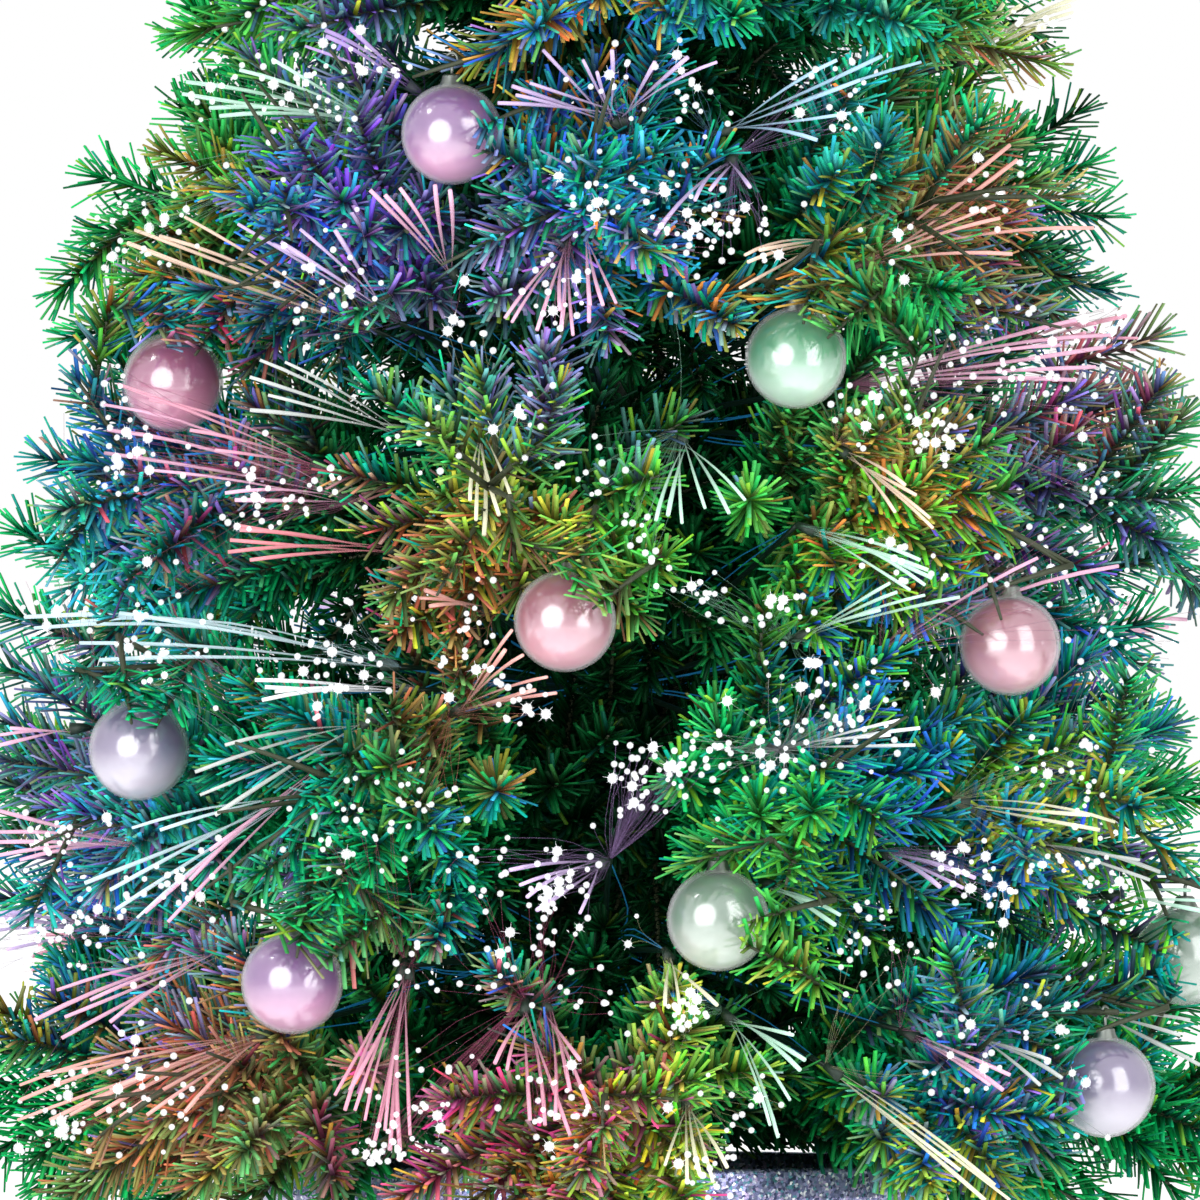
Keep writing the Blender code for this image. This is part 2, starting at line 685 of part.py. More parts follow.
def make_lamp(paints):
    """The ceramic holder, and the reflector lamp whose neck stands in its bore."""
    bore_floor = HOLDER_HEIGHT - HOLDER_BORE_DEPTH
    holder = [
        (0.0, bore_floor),
        (HOLDER_BORE_RADIUS, bore_floor),
        (HOLDER_BORE_RADIUS, HOLDER_HEIGHT),
        (HOLDER_RADIUS, HOLDER_HEIGHT),
        (HOLDER_RADIUS, HOLDER_FLANGE),
        (HOLDER_FLANGE_RADIUS, HOLDER_FLANGE),
        (HOLDER_FLANGE_RADIUS, 0.0),
        (0.0, 0.0),
    ]
    turned(
        "lamp_holder", holder, paints["holder"], (0.0, 0.0, HOLDER_Z), steps=16, closed=False
    )

    def reflector(radius, share):
        return LAMP_NECK_RADIUS + (radius - LAMP_NECK_RADIUS) * math.sqrt(share)

    shares = [k / REFLECTOR_STEPS for k in range(REFLECTOR_STEPS, 0, -1)]
    rim = LAMP_NECK + LAMP_HEIGHT
    cup = rim - LAMP_RIM
    outside = [(LAMP_RADIUS, rim)]
    outside += [(reflector(LAMP_RADIUS, s), LAMP_NECK + (cup - LAMP_NECK) * s) for s in shares]
    outside += [(LAMP_NECK_RADIUS, LAMP_NECK), (LAMP_NECK_RADIUS, 0.0), (0.0, 0.0)]
    inner_radius = LAMP_RADIUS - LAMP_WALL
    floor = LAMP_NECK + LAMP_WALL * 2
    inside = [
        (reflector(inner_radius, s) - LAMP_WALL * (1 - s), floor + (cup - floor) * s)
        for s in reversed(shares)
    ]
    capsule_top = floor + CAPSULE_HEIGHT
    capsule = [
        (0.0, capsule_top),
        (CAPSULE_RADIUS, capsule_top - CAPSULE_RADIUS),
        (CAPSULE_RADIUS, floor),
    ]
    profile = [*capsule, *inside, (inner_radius, rim), *outside]
    turned("lamp", profile, paints["lamp"], (0.0, 0.0, LAMP_Z), steps=16, closed=False)


def quarter(inner, outer, index, half_gap, count=7):
    """A quarter of a ring whose ends lie half_gap from the spokes' middle lines."""
    outer_trim = math.asin(half_gap / outer)
    inner_trim = math.asin(half_gap / inner)
    start = index * math.pi / 2
    outer_sweep = math.pi / 2 - 2 * outer_trim
    inner_sweep = math.pi / 2 - 2 * inner_trim
    far = on_circle(outer, count, start + outer_trim, outer_sweep)
    near = on_circle(inner, count // 2 + 1, start + inner_trim, inner_sweep)
    return far + near[::-1]


def make_wheel(paints):
    """The spoked frame, its four filters and the shaft that turns in the motor's boss."""
    axis = axis_empty("colour_wheel_axis", (WHEEL_AXIS_X, 0.0, WHEEL_Z))
    radius = pot_radius(WHEEL_Z) - POT_WALL - WHEEL_TO_POT + WHEEL_AXIS_X
    outer = radius - WHEEL_RIM
    inner = -WHEEL_AXIS_X - LAMP_RADIUS - WINDOW_ROOM
    outlines = [on_circle(radius, 36), on_circle((SHAFT_RADIUS + HUB_RADIUS) / 2, 8)]
    for index in range(4):
        outlines.append(quarter(inner, outer, index, SPOKE_WIDTH / 2))
    middle = (WHEEL_AXIS_X, 0.0, WHEEL_Z + WHEEL_THICKNESS / 2)
    frame = plate("wheel_frame", outlines, WHEEL_THICKNESS, paints["wheel"], middle, axis)
    hub_top = WHEEL_THICKNESS + HUB_RISE
    hub_profile = [
        (HUB_RADIUS, hub_top),
        (HUB_RADIUS, -HUB_HEIGHT),
        (SHAFT_RADIUS + FIT_GAP, -HUB_HEIGHT),
        (SHAFT_RADIUS + FIT_GAP, hub_top),
    ]
    hub = turned("wheel_hub", hub_profile, None, (WHEEL_AXIS_X, 0.0, WHEEL_Z), steps=12)
    add(frame, hub)
    names = ("red", "blue", "green", "amber")
    z = WHEEL_Z + WHEEL_THICKNESS + FIT_GAP + FILTER_THICKNESS / 2
    for index, name in enumerate(names):
        outline = quarter(inner - FILTER_LAP, outer + FILTER_LAP, index, FIT_GAP)
        plate(
            f"filter_{name}",
            [outline],
            FILTER_THICKNESS,
            paints[name],
            (WHEEL_AXIS_X, 0.0, z),
            axis,
        )
    low = MOTOR_TOP_Z - SHAFT_IN_MOTOR + FIT_GAP
    high = WHEEL_Z + hub_top
    cylinder(
        "wheel_shaft",
        SHAFT_RADIUS,
        high - low,
        paints["steel"],
        (WHEEL_AXIS_X, 0.0, (high + low) / 2),
        sides=12,
        parent=axis,
    )


def make_motor(paints):
    """The flat can motor, and the bent strip that carries it from the base plate."""
    bore = SHAFT_RADIUS + 2 * FIT_GAP
    top = MOTOR_TOP_Z - MOTOR_Z
    can = top - MOTOR_BOSS
    profile = [
        (0.0, top - SHAFT_IN_MOTOR),
        (bore, top - SHAFT_IN_MOTOR),
        (bore, top),
        (MOTOR_BOSS_RADIUS, top),
        (MOTOR_BOSS_RADIUS, can),
        (MOTOR_RADIUS - MOTOR_BOSS, can),
        (MOTOR_RADIUS, can - MOTOR_BOSS),
        (MOTOR_RADIUS, 0.0),
        (0.0, 0.0),
    ]
    turned(
        "wheel_motor",
        profile,
        paints["steel"],
        (WHEEL_AXIS_X, 0.0, MOTOR_Z),
        steps=16,
        closed=False,
    )
    # The strip's side view: a foot on the plate, an upright and a shelf under the can
    low = PLATE_TOP_Z + FIT_GAP
    shelf = MOTOR_Z - FIT_GAP
    far = WHEEL_AXIS_X - MOTOR_RADIUS - BRACKET_OUT
    near = WHEEL_AXIS_X + MOTOR_RADIUS / 2
    outline = [
        (near, shelf),
        (far, shelf),
        (far, low),
        (far + BRACKET_FOOT, low),
        (far + BRACKET_FOOT, low + BRACKET_THICKNESS),
        (far + BRACKET_THICKNESS, low + BRACKET_THICKNESS),
        (far + BRACKET_THICKNESS, shelf - BRACKET_THICKNESS),
        (near, shelf - BRACKET_THICKNESS),
    ]
    plate(
        "motor_bracket",
        [outline],
        BRACKET_WIDTH,
        paints["steel"],
        (0.0, 0.0, 0.0),
        turn=(math.pi / 2, 0.0, 0.0),
    )


def make_inlet(paints):
    """The round power inlet in the rear panel, with its centre pin."""
    face = panel_face_y()
    out = INLET_FLANGE + FIT_GAP
    # Heights run along the inlet's axis, outwards from the panel's face
    bore = out - INLET_BORE_DEPTH
    profile = [
        (0.0, out - INLET_FLANGE),
        (INLET_PIN_RADIUS, out - INLET_FLANGE),
        (INLET_PIN_RADIUS, bore),
        (INLET_BORE_RADIUS, bore),
        (INLET_BORE_RADIUS, out),
        (INLET_FLANGE_RADIUS, out),
        (INLET_FLANGE_RADIUS, FIT_GAP),
        (INLET_RADIUS, FIT_GAP),
        (INLET_RADIUS, -INLET_LENGTH),
        (0.0, -INLET_LENGTH),
    ]
    turned(
        "power_inlet",
        profile,
        paints["deck"],
        (INLET_X, face, PANEL_Z),
        steps=12,
        closed=False,
        turn=(-math.pi / 2, 0.0, 0.0),
    )


def make_switch(paints):
    """The switch's housing behind its bezel, and the rocker that tips about its pin's line."""
    face = panel_face_y()
    bezel = block(
        "switch_housing",
        (SWITCH_WIDTH + 2 * BEZEL_LAP, BEZEL_THICKNESS, SWITCH_HEIGHT + 2 * BEZEL_LAP),
        paints["deck"],
        (SWITCH_X, face + FIT_GAP + BEZEL_THICKNESS / 2, PANEL_Z),
    )
    body_front = face + FIT_GAP + BEZEL_THICKNESS / 2
    body = block(
        "switch_body",
        (SWITCH_WIDTH, SWITCH_DEPTH, SWITCH_HEIGHT),
        None,
        (SWITCH_X, body_front - SWITCH_DEPTH / 2, PANEL_Z),
    )
    add(bezel, body)
    radius = SWITCH_HEIGHT / 2 - SWITCH_WALL
    front = face + FIT_GAP + BEZEL_THICKNESS
    pivot = front - ROCKER_PROUD
    bay = cylinder(
        "rocker_bay",
        radius,
        SWITCH_WIDTH - 2 * SWITCH_WALL,
        None,
        (SWITCH_X, pivot, PANEL_Z),
        "X",
        sides=ROCKER_BAY_SIDES,
    )
    cut(bezel, bay)
    mouth_depth = ROCKER_PROUD + CUT_OVERRUN
    mouth = block(
        "rocker_mouth",
        (SWITCH_WIDTH - 2 * SWITCH_WALL, mouth_depth, 2 * radius),
        None,
        (SWITCH_X, pivot + mouth_depth / 2, PANEL_Z),
    )
    cut(bezel, mouth)
    # The rocker's side view: a round back about the pivot, and two faces that meet in a valley
    drum = radius * math.cos(math.pi / ROCKER_BAY_SIDES) - 2 * FIT_GAP
    tilt = math.radians(ROCKER_TILT_DEG)
    back = on_circle(drum, ROCKER_STEPS, math.pi / 2 + tilt, math.pi - 2 * tilt)
    crest = drum * math.cos(2 * tilt)
    outline = [(y, z) for y, z in back]
    outline += [(ROCKER_PROUD, -crest), (ROCKER_PROUD / 2, 0.0), (ROCKER_PROUD, crest)]
    place = (SWITCH_X, pivot, PANEL_Z)
    empty = axis_empty("rocker_axis", place)
    width = SWITCH_WIDTH - 2 * SWITCH_WALL - 2 * FIT_GAP
    rocker = plate("switch_rocker", [outline], width, paints["rubber"], place, empty)
    rocker.matrix_basis = side_view_matrix() @ Matrix.Rotation(-tilt, 4, "Z")


def side_view_matrix():
    """Turns an outline in X and Y into one in Y and Z, extruded along X."""
    return Matrix(((0, 0, 1, 0), (1, 0, 0, 0), (0, 1, 0, 0), (0, 0, 0, 1)))


def make_terminals(paints):
    """The screw terminal block on the base plate."""
    length, width, height = TERMINAL_SIZE
    x, y = TERMINAL_PLACE
    z = PLATE_TOP_Z + FIT_GAP
    made = block("terminal_block", TERMINAL_SIZE, paints["holder"], (x, y, z + height / 2))
    step = length / TERMINAL_WELLS
    depth = TERMINAL_WELL_DEPTH + CUT_OVERRUN
    for index in range(TERMINAL_WELLS):
        well = cylinder(
            f"terminal_well_{index + 1}",
            TERMINAL_WELL_RADIUS,
            depth,
            None,
            (
                x + (index + 0.5) * step - length / 2,
                y,
                z + height - TERMINAL_WELL_DEPTH + depth / 2,
            ),
            sides=10,
        )
        cut(made, well)


def eased(points, step):
    """A smooth line through the points, in runs of about one step, with straight end spans."""
    points = [Vector(p) for p in points]
    slopes = [(after - before) / 2 for before, after in zip(points, points[2:])]
    slopes[0] = (points[1] - points[0]).normalized() * (points[2] - points[1]).length
    slopes[-1] = (points[-1] - points[-2]).normalized() * (points[-2] - points[-3]).length
    inner = points[1:-1]
    line = [points[0], points[1]]
    for a, b, m, n in zip(inner, inner[1:], slopes, slopes[1:]):
        runs = max(2, round((b - a).length / step))
        for k in range(1, runs + 1):
            t = k / runs
            h = (1 + 2 * t) * (1 - t) ** 2
            line.append(a * h + b * (1 - h) + m * (t * (1 - t) ** 2) + n * (t * t * (t - 1)))
    return [*line, points[-1]]


def make_lead(name, points, paint):
    """A round lead along a smooth line through the points."""
    line = eased(points, LEAD_STEP)
    mesh = strokes_mesh(name, [[(p, LEAD_RADIUS) for p in line]], 1)
    smooth(mesh, 60)
    return add_object(name, mesh, paint)


def make_leads(paints):
    """The leads between inlet, switch, terminals, lamp holder and motor, all on the base plate."""
    length, width, height = TERMINAL_SIZE
    block_x, block_y = TERMINAL_PLACE
    entry = PLATE_TOP_Z + FIT_GAP + height / 2
    inlet_back = panel_face_y() - INLET_LENGTH - FIT_GAP
    block_back = block_y + width / 2 + FIT_GAP
    make_lead(
        "inlet_lead",
        [
            (INLET_X, inlet_back, PANEL_Z),
            (INLET_X, inlet_back - LEAD_RUN, PANEL_Z - LEAD_RADIUS),
            ((INLET_X + block_x) / 2, (inlet_back + block_back) / 2, (PANEL_Z + entry) / 2),
            (block_x, block_back + LEAD_RUN, entry),
            (block_x, block_back, entry),
        ],
        paints["lead"],
    )
    holder_entry = HOLDER_Z + (HOLDER_FLANGE + HOLDER_HEIGHT) / 2
    block_front = block_y - width / 2 - FIT_GAP
    make_lead(
        "lamp_lead",
        [
            (block_x, block_front, entry),
            (block_x, block_front - LEAD_RUN, entry),
            (HOLDER_RADIUS + LEAD_SWING, LEAD_RUN, (entry + holder_entry) / 2),
            (HOLDER_RADIUS + LEAD_RUN, 0.0, holder_entry),
            (HOLDER_RADIUS + FIT_GAP, 0.0, holder_entry),
        ],
        paints["lead"],
    )
    motor_entry = MOTOR_Z + MOTOR_HEIGHT / 2
    motor_side = MOTOR_RADIUS + FIT_GAP
    block_left = block_x - length / 2 - FIT_GAP
    make_lead(
        "motor_lead",
        [
            (block_left, block_y, entry),
            (block_left - LEAD_RUN, block_y, entry),
            (WHEEL_AXIS_X / 2, block_y, (entry * 2 + motor_entry) / 3),
            (WHEEL_AXIS_X, motor_side + 2 * LEAD_RUN, (entry + motor_entry * 2) / 3),
            (WHEEL_AXIS_X, motor_side + LEAD_RUN, motor_entry),
            (WHEEL_AXIS_X, motor_side, motor_entry),
        ],
        paints["lead"],
    )


def make_trunk(paints, lift):
    """The painted tube, the brass ferrule at its foot and the bundle of fibre inside it."""
    inner = TRUNK_RADIUS - TRUNK_WALL
    start = FERRULE_FLANGE + FIT_GAP
    tube = [
        (TRUNK_RADIUS, TRUNK_TOP_Z - TRUNK_Z),
        (TRUNK_RADIUS, start),
        (inner, start),
        (inner, TRUNK_TOP_Z - TRUNK_Z),
    ]
    foot = (0.0, 0.0, TRUNK_Z)
    turned("trunk_tube", tube, paints["trunk"], foot, lift, steps=16)
    sleeve = inner - FIT_GAP
    bore = BUNDLE_RADIUS + FIT_GAP
    ferrule = [
        (sleeve, FERRULE_HEIGHT),
        (sleeve, FERRULE_FLANGE),
        (TRUNK_RADIUS, FERRULE_FLANGE),
        (TRUNK_RADIUS, 0.0),
        (bore, 0.0),
        (bore, FERRULE_HEIGHT),
    ]
    turned("fibre_ferrule", ferrule, paints["brass"], foot, lift, steps=16)
    height = BUNDLE_TOP_Z - TRUNK_Z
    cylinder(
        "fibre_bundle",
        BUNDLE_RADIUS,
        height,
        paints["fibre"],
        (0.0, 0.0, TRUNK_Z + height / 2),
        sides=12,
        parent=lift,
    )


def outline_radius(z):
    """How far the foliage reaches from the trunk at a height."""
    share = max(0.0, (z - FOLIAGE_FOOT_Z) / (FOLIAGE_TOP_Z - FOLIAGE_FOOT_Z))
    return FOLIAGE_RADIUS * (1 - min(1.0, share) ** OUTLINE_POWER)


def whorl_z(index):
    return FIRST_WHORL_Z + WHORL_PITCH * index


def whorl_rise(index):
    return math.tan(math.radians(WHORL_RISE_DEG[index]))


def whorl_reach(index):
    """The reach at which the rising branches meet the tree's outline."""
    reach = FOLIAGE_RADIUS
    for _ in range(OUTLINE_ROUNDS):
        tip_z = whorl_z(index) + whorl_rise(index) * reach
        reach = (reach + outline_radius(tip_z)) / 2
    return max(reach, TOP_WHORL_REACH)


def heading(turn, rise):
    """A unit vector at a turn about the trunk and a rise above level."""
    level = math.cos(rise)
    return Vector((math.cos(turn) * level, math.sin(turn) * level, math.sin(rise)))


def segments_gap(a, b, c, d):
    """The least distance between the segments ab and cd."""
    u = b - a
    v = d - c
    w = a - c
    uu = u.dot(u)
    uv = u.dot(v)
    vv = v.dot(v)
    uw = u.dot(w)
    vw = v.dot(w)
    room = uu * vv - uv * uv
    s = min(1.0, max(0.0, (uv * vw - vv * uw) / room)) if room > uu * vv * MERGE else 0.0
    t = min(1.0, max(0.0, (uv * s + vw) / vv))
    s = min(1.0, max(0.0, (uv * t - uw) / uu))
    return (a + u * s - c - v * t).length


class Room:
    """The round-ended rods that fill the tree's space, and what a new one may come near."""

    def __init__(self):
        self.rods = []

    def take(self, owner, stroke):
        for (a, ra), (b, rb) in zip(stroke, stroke[1:]):
            self.rods.append((owner, a, b, max(ra, rb)))

    def free(self, owner, stroke, room):
        for (a, ra), (b, rb) in zip(stroke, stroke[1:]):
            radius = max(ra, rb) + room
            reach = (b - a).length + radius
            for other, c, d, rod_radius in self.rods:
                if other == owner:
                    continue
                far = reach + (d - c).length + rod_radius
                if (a - c).length > far:
                    continue
                if segments_gap(a, b, c, d) < radius + rod_radius:
                    return False
        return True


def picture_place(px, py, share, inset, inside):
    """Where a pixel of the picture shows on the tree, at a share of its outline, less an inset."""
    near = 1.0
    for _ in range(OUTLINE_ROUNDS):
        x = (px - PICTURE_AXIS_X) * PICTURE_SCALE * near
        z = EYE_Z - (py - PICTURE_EYE_Y) * PICTURE_SCALE * near
        reach = max(outline_radius(z) * share - inset, abs(x) + inside)
        y = -math.sqrt(reach**2 - x**2)
        near = 1 + y / EYE_AWAY
    return Vector((x, y, z))


def hanging_balls():
    """Each ball's pivot, outward heading and paint, from its place in the picture."""
    paints = ("rose", "rose", "mint", "rose", "rose", "silver", "mint", "silver", "silver", "mint")
    balls = []
    for (px, py), paint in zip(BALLS_IN_PICTURE, paints):
        balls.append((picture_place(px, py, 1.0, BALL_INSET, BALL_RADIUS / 2), paint))
    for turn, z, paint in zip(BACK_BALL_TURN_DEG, BACK_BALL_Z, ("rose", "silver")):
        radius = outline_radius(z) - BALL_INSET
        balls.append((heading(math.radians(turn), 0.0) * radius + Vector((0.0, 0.0, z)), paint))
    made = []
    for middle, paint in balls:
        outward = Vector((middle.x, middle.y, 0.0)).normalized()
        pivot = middle + Vector((0.0, 0.0, PIVOT_TO_BALL))
        made.append((pivot, outward, paint))
    return made


def keep_balls_free(room, balls):
    """The space that each ball and its hook sweep as they swing."""
    swing = math.sin(math.radians(BALL_SWING_DEG))
    for index, (pivot, outward, _) in enumerate(balls):
        aside = Vector((-outward.y, outward.x, 0.0)) * swing * PIVOT_TO_BALL
        middle = pivot - Vector((0.0, 0.0, PIVOT_TO_BALL))
        owner = f"ball_{index + 1}"
        radius = BALL_RADIUS + BALL_ROOM
        room.take(owner, [(middle - aside, radius), (middle + aside, radius)])
        neck = CAP_RADIUS + BALL_ROOM
        room.take(owner, [(middle, neck), (pivot, neck)])


def first_free(room, owner, makers):
    """The first stroke of several that keeps clear of what is there, or None."""
    for make in makers:
        stroke = make()
        if stroke is not None and room.free(owner, stroke, BALL_ROOM):
            return stroke
    return None


def plan_branch(index, turn, reach):
    """The axis of one main branch, from the wall of its collar to its tip."""
    root = COLLAR_BORE_RADIUS + COLLAR_WALL / 2
    out = heading(turn, 0.0)
    up = Vector((0.0, 0.0, 1.0))
    foot = up * whorl_z(index) + out * root
    along = out + up * whorl_rise(index)
    stroke = [(foot, STEM_RADIUS)]
    for step, width in zip(BRUSH_STEP_SHARES, BRUSH_WIDTH_SHARES):
        stroke.append((foot + along * (reach - root) * step, BRUSH_RADIUS * width))
    return stroke


def plan_brush(start, turn, rise, length, radius):
    along = heading(turn, rise)
    return [
        (start + along * length * step, radius * width)
        for step, width in zip(SIDE_STEP_SHARES, SIDE_WIDTH_SHARES)
    ]


def on_stroke(stroke, share):
    """The point at a share of the way along a straight stroke."""
    return stroke[0][0].lerp(stroke[-1][0], share)


def plan_mains(room):
    """The main branches of every whorl. One that would meet a ball is bent aside or shortened."""
    draw = random.Random(11)
    plans = []
    for index, count in enumerate(WHORL_BRANCHES):
        reach = whorl_reach(index)
        owner = f"foliage_{index + 1}"
        wobble = [draw.uniform(-1.0, 1.0) * BRANCH_WOBBLE_SHARE for _ in range(count)]
        shortening = [draw.uniform(0.0, BRANCH_SHORTENING_SHARE) for _ in range(count)]
        mains = []
        for k in range(count):
            pitch = math.tau / count
            turn = math.radians(WHORL_TURN_DEG) * index + pitch * k
            length = reach
            if index:
                turn += wobble[k] * pitch
                length *= 1 - shortening[k]
            makers = [
                lambda t=turn + side * pitch, n=length * part: plan_branch(index, t, n)
                for part in BRANCH_LENGTH_SHARES
                for side in BRANCH_BENDS
            ]
            stroke = first_free(room, owner, makers)
            if stroke:
                mains.append(stroke)
                room.take(owner, stroke)
        plans.append(mains)
    return plans


def plan_twigs(room, plans, balls):
    """A bare twig from the nearest branch to each ball's pivot, ending level and outward."""
    twigs = [[] for _ in plans]
    for pivot, outward, _ in balls:
        elbow = pivot - outward * TWIG_RUN
        end = pivot + outward * TWIG_END
        choices = []
        for index, mains in enumerate(plans):
            for stroke in mains:
                for share in TWIG_START_SHARES:
                    start = on_stroke(stroke, share)
                    sink = max(0.0, pivot.z - start.z)
                    choices.append(((start - elbow).length + sink, index, share, start))
        choices.sort(key=lambda choice: choice[:3])
        short_of_hook = pivot - outward * CAP_RADIUS * 2
        for _, index, _, start in choices:
            owner = f"foliage_{index + 1}"
            stroke = [(start, TWIG_RADIUS), (elbow, TWIG_RADIUS), (end, TWIG_RADIUS)]
            checked = [*stroke[:2], (short_of_hook, TWIG_RADIUS)]
            if room.free(owner, checked, FIT_GAP):
                twigs[index].append(stroke)
                break
        else:
            raise RuntimeError(f"no twig reaches the ball at {tuple(pivot)}")
    for index, found in enumerate(twigs):
        for stroke in found:
            room.take(f"foliage_{index + 1}", stroke)
    return twigs


def plan_sides(room, plans):
    """A pair of side brushes on each long branch, clear of balls and of the other whorls."""
    sides = []
    for index, mains in enumerate(plans):
        owner = f"foliage_{index + 1}"
        reach = whorl_reach(index)
        rise = math.radians(WHORL_RISE_DEG[index] + SIDE_PITCH_DEG)
        found = []
        for stroke in mains if reach > SIDED_BRANCH_REACH else []:
            turn = math.atan2(stroke[-1][0].y, stroke[-1][0].x)
            start = on_stroke(stroke, SIDE_PLACE_SHARE)
            left = reach - math.hypot(start.x, start.y)
            length = max(LEAST_BRUSH, min(SIDE_BRUSH_LENGTH, left))
            for side in (1, -1):
                yaw = math.radians(SIDE_YAW_DEG) * side
                makers = [
                    lambda t=turn + yaw * bend, n=length * part, r=rise + math.radians(tilt): (
                        plan_brush(start, t, r, n, SIDE_BRUSH_RADIUS)
                    )
                    for part in SIDE_LENGTH_SHARES
                    for bend, tilt in SIDE_BENDS
                ]
                brush = first_free(room, owner, makers)
                if brush:
                    found.append(brush)
                    room.take(owner, brush)
        sides.append(found)
    return sides


def fuse(name, meshes, collar, paint, parent):
    """One node from the meshes of many tubes, united with the collar that holds them."""
    bm = bmesh.new()
    for mesh in meshes:
        bm.from_mesh(mesh)
        bpy.data.meshes.remove(mesh)
    obj = add_object(name, mesh_from(bm, name), paint, (0, 0, 0))
    obj.parent = parent
    obj.matrix_parent_inverse = Matrix.Translation(-parent.location)
    join(obj, as_cutter(collar), "UNION", self_too=True)
    return obj


def collar_ring(name, z, wall, height):
    bore = COLLAR_BORE_RADIUS
    profile = [
        (bore + wall, z + height / 2),
        (bore + wall, z - height / 2),
        (bore, z - height / 2),
        (bore, z + height / 2),
    ]
    return turned(name, profile, None, steps=COLLAR_STEPS)


def make_foliage(paints, lift, plans, twigs, sides):
    for index, mains in enumerate(plans):
        name = f"foliage_{index + 1}"
        meshes = [strokes_mesh(name + "_mains", mains, 1)]
        if sides[index]:
            meshes.append(strokes_mesh(name + "_sides", sides[index], 0))
        if twigs[index]:
            meshes.append(strokes_mesh(name + "_twigs", twigs[index], 0))
        collar = collar_ring(name + "_collar", whorl_z(index), COLLAR_WALL, COLLAR_HEIGHT)
        fuse(name, meshes, collar, paints["needles"], lift)


def make_leader(paints, lift):
    """The top brush, whose plug stands in the trunk's upper end."""
    shoulder = TRUNK_TOP_Z + FIT_GAP
    plug_radius = TRUNK_RADIUS - TRUNK_WALL - FIT_GAP
    up = Vector((0.0, 0.0, 1.0))
    brush_foot = shoulder + LEADER_RADIUS
    brush = TREE_HEIGHT - brush_foot
    stroke = [(up * (shoulder + FERRULE_FLANGE), STEM_RADIUS)]
    for step, width in zip(BRUSH_STEP_SHARES, BRUSH_WIDTH_SHARES):
        stroke.append((up * (brush_foot + brush * step), LEADER_RADIUS * width))
    sides = []
    for k in range(LEADER_SIDES):
        turn = math.tau * (k + 0.5) / LEADER_SIDES
        start = up * LEADER_SIDE_Z
        rise = math.radians(LEADER_SIDE_RISE_DEG)
        radius = LEADER_RADIUS * LEADER_SIDE_WIDTH_SHARE
        sides.append(plan_brush(start, turn, rise, LEADER_SIDE_LENGTH, radius))
    meshes = [strokes_mesh("leader_top", [stroke], 1), strokes_mesh("leader_sides", sides, 0)]
    plug = [
        (0.0, shoulder + 2 * FERRULE_FLANGE),
        (TRUNK_RADIUS, shoulder + FERRULE_FLANGE),
        (TRUNK_RADIUS, shoulder),
        (plug_radius, shoulder),
        (plug_radius, shoulder - LEADER_PLUG),
        (0.0, shoulder - LEADER_PLUG),
    ]
    collar = turned("leader_plug", plug, None, steps=12, closed=False)
    fuse("leader", meshes, collar, paints["needles"], lift)


def level_z(level):
    """The height of the collar that feeds a level's fans, midway between two whorls."""
    return (whorl_z(level) + whorl_z(level + 1)) / 2


def level_rise(level):
    return (whorl_rise(level) + whorl_rise(level + 1)) / 2


def level_reach(level):
    return (whorl_reach(level) + whorl_reach(level + 1)) / 2


def picture_fan(pixels, share):
    """The root of a fan in the picture, and the places of its two outer tips."""
    root, first, last = pixels
    return (
        picture_place(*root, share, 0.0, FAN_INSIDE),
        picture_place(*first, FAN_TIP_SHARE, 0.0, FAN_INSIDE),
        picture_place(*last, FAN_TIP_SHARE, 0.0, FAN_INSIDE),
    )


def round_fans():
    """The level and the three places of each fan that the picture doesn't show."""
    up = Vector((0.0, 0.0, 1.0))
    fans = []
    for level, count in enumerate(FANS_ON_LEVEL):
        reach = level_reach(level)
        rise = math.atan(level_rise(level))
        length = min(FAN_MOST_LENGTH, max(FAN_LEAST_LENGTH, reach * FAN_LENGTH_SHARE))
        for k in range(count):
            turn = math.tau * (k + 0.5) / count + math.radians(FAN_TURN_DEG) * level
            if level < LEVELS_IN_PICTURE and math.sin(turn) < 0:
                continue
            lean = math.radians(FAN_LEANS_DEG[(k + level) % len(FAN_LEANS_DEG)])
            shapes = []
            for share in FAN_ROOT_SHARES:
                run = reach * share
                root = heading(turn, 0.0) * run + up * (level_z(level) + level_rise(level) * run)
                tips = [
                    root + heading(turn + lean + math.radians(FAN_SPREAD_DEG) * side, rise) * length
                    for side in (1, -1)
                ]
                shapes.append((root, *tips))
            fans.append(([level], shapes))
    return fans


def all_fans():
    """Each fan's levels in the order they are tried, and its shapes in the order they are tried."""
    fans = []
    for pixels in FANS_IN_PICTURE:
        shapes = [picture_fan(pixels, share) for share in FAN_ROOT_SHARES]
        root = shapes[0][0]

        def off(level, root=root):
            run = math.hypot(root.x, root.y)
            return abs(level_z(level) + level_rise(level) * run - root.z)

        levels = sorted(range(len(FANS_ON_LEVEL)), key=off)[:FAN_LEVELS_TRIED]
        fans.append((levels, shapes))
    return fans + round_fans()


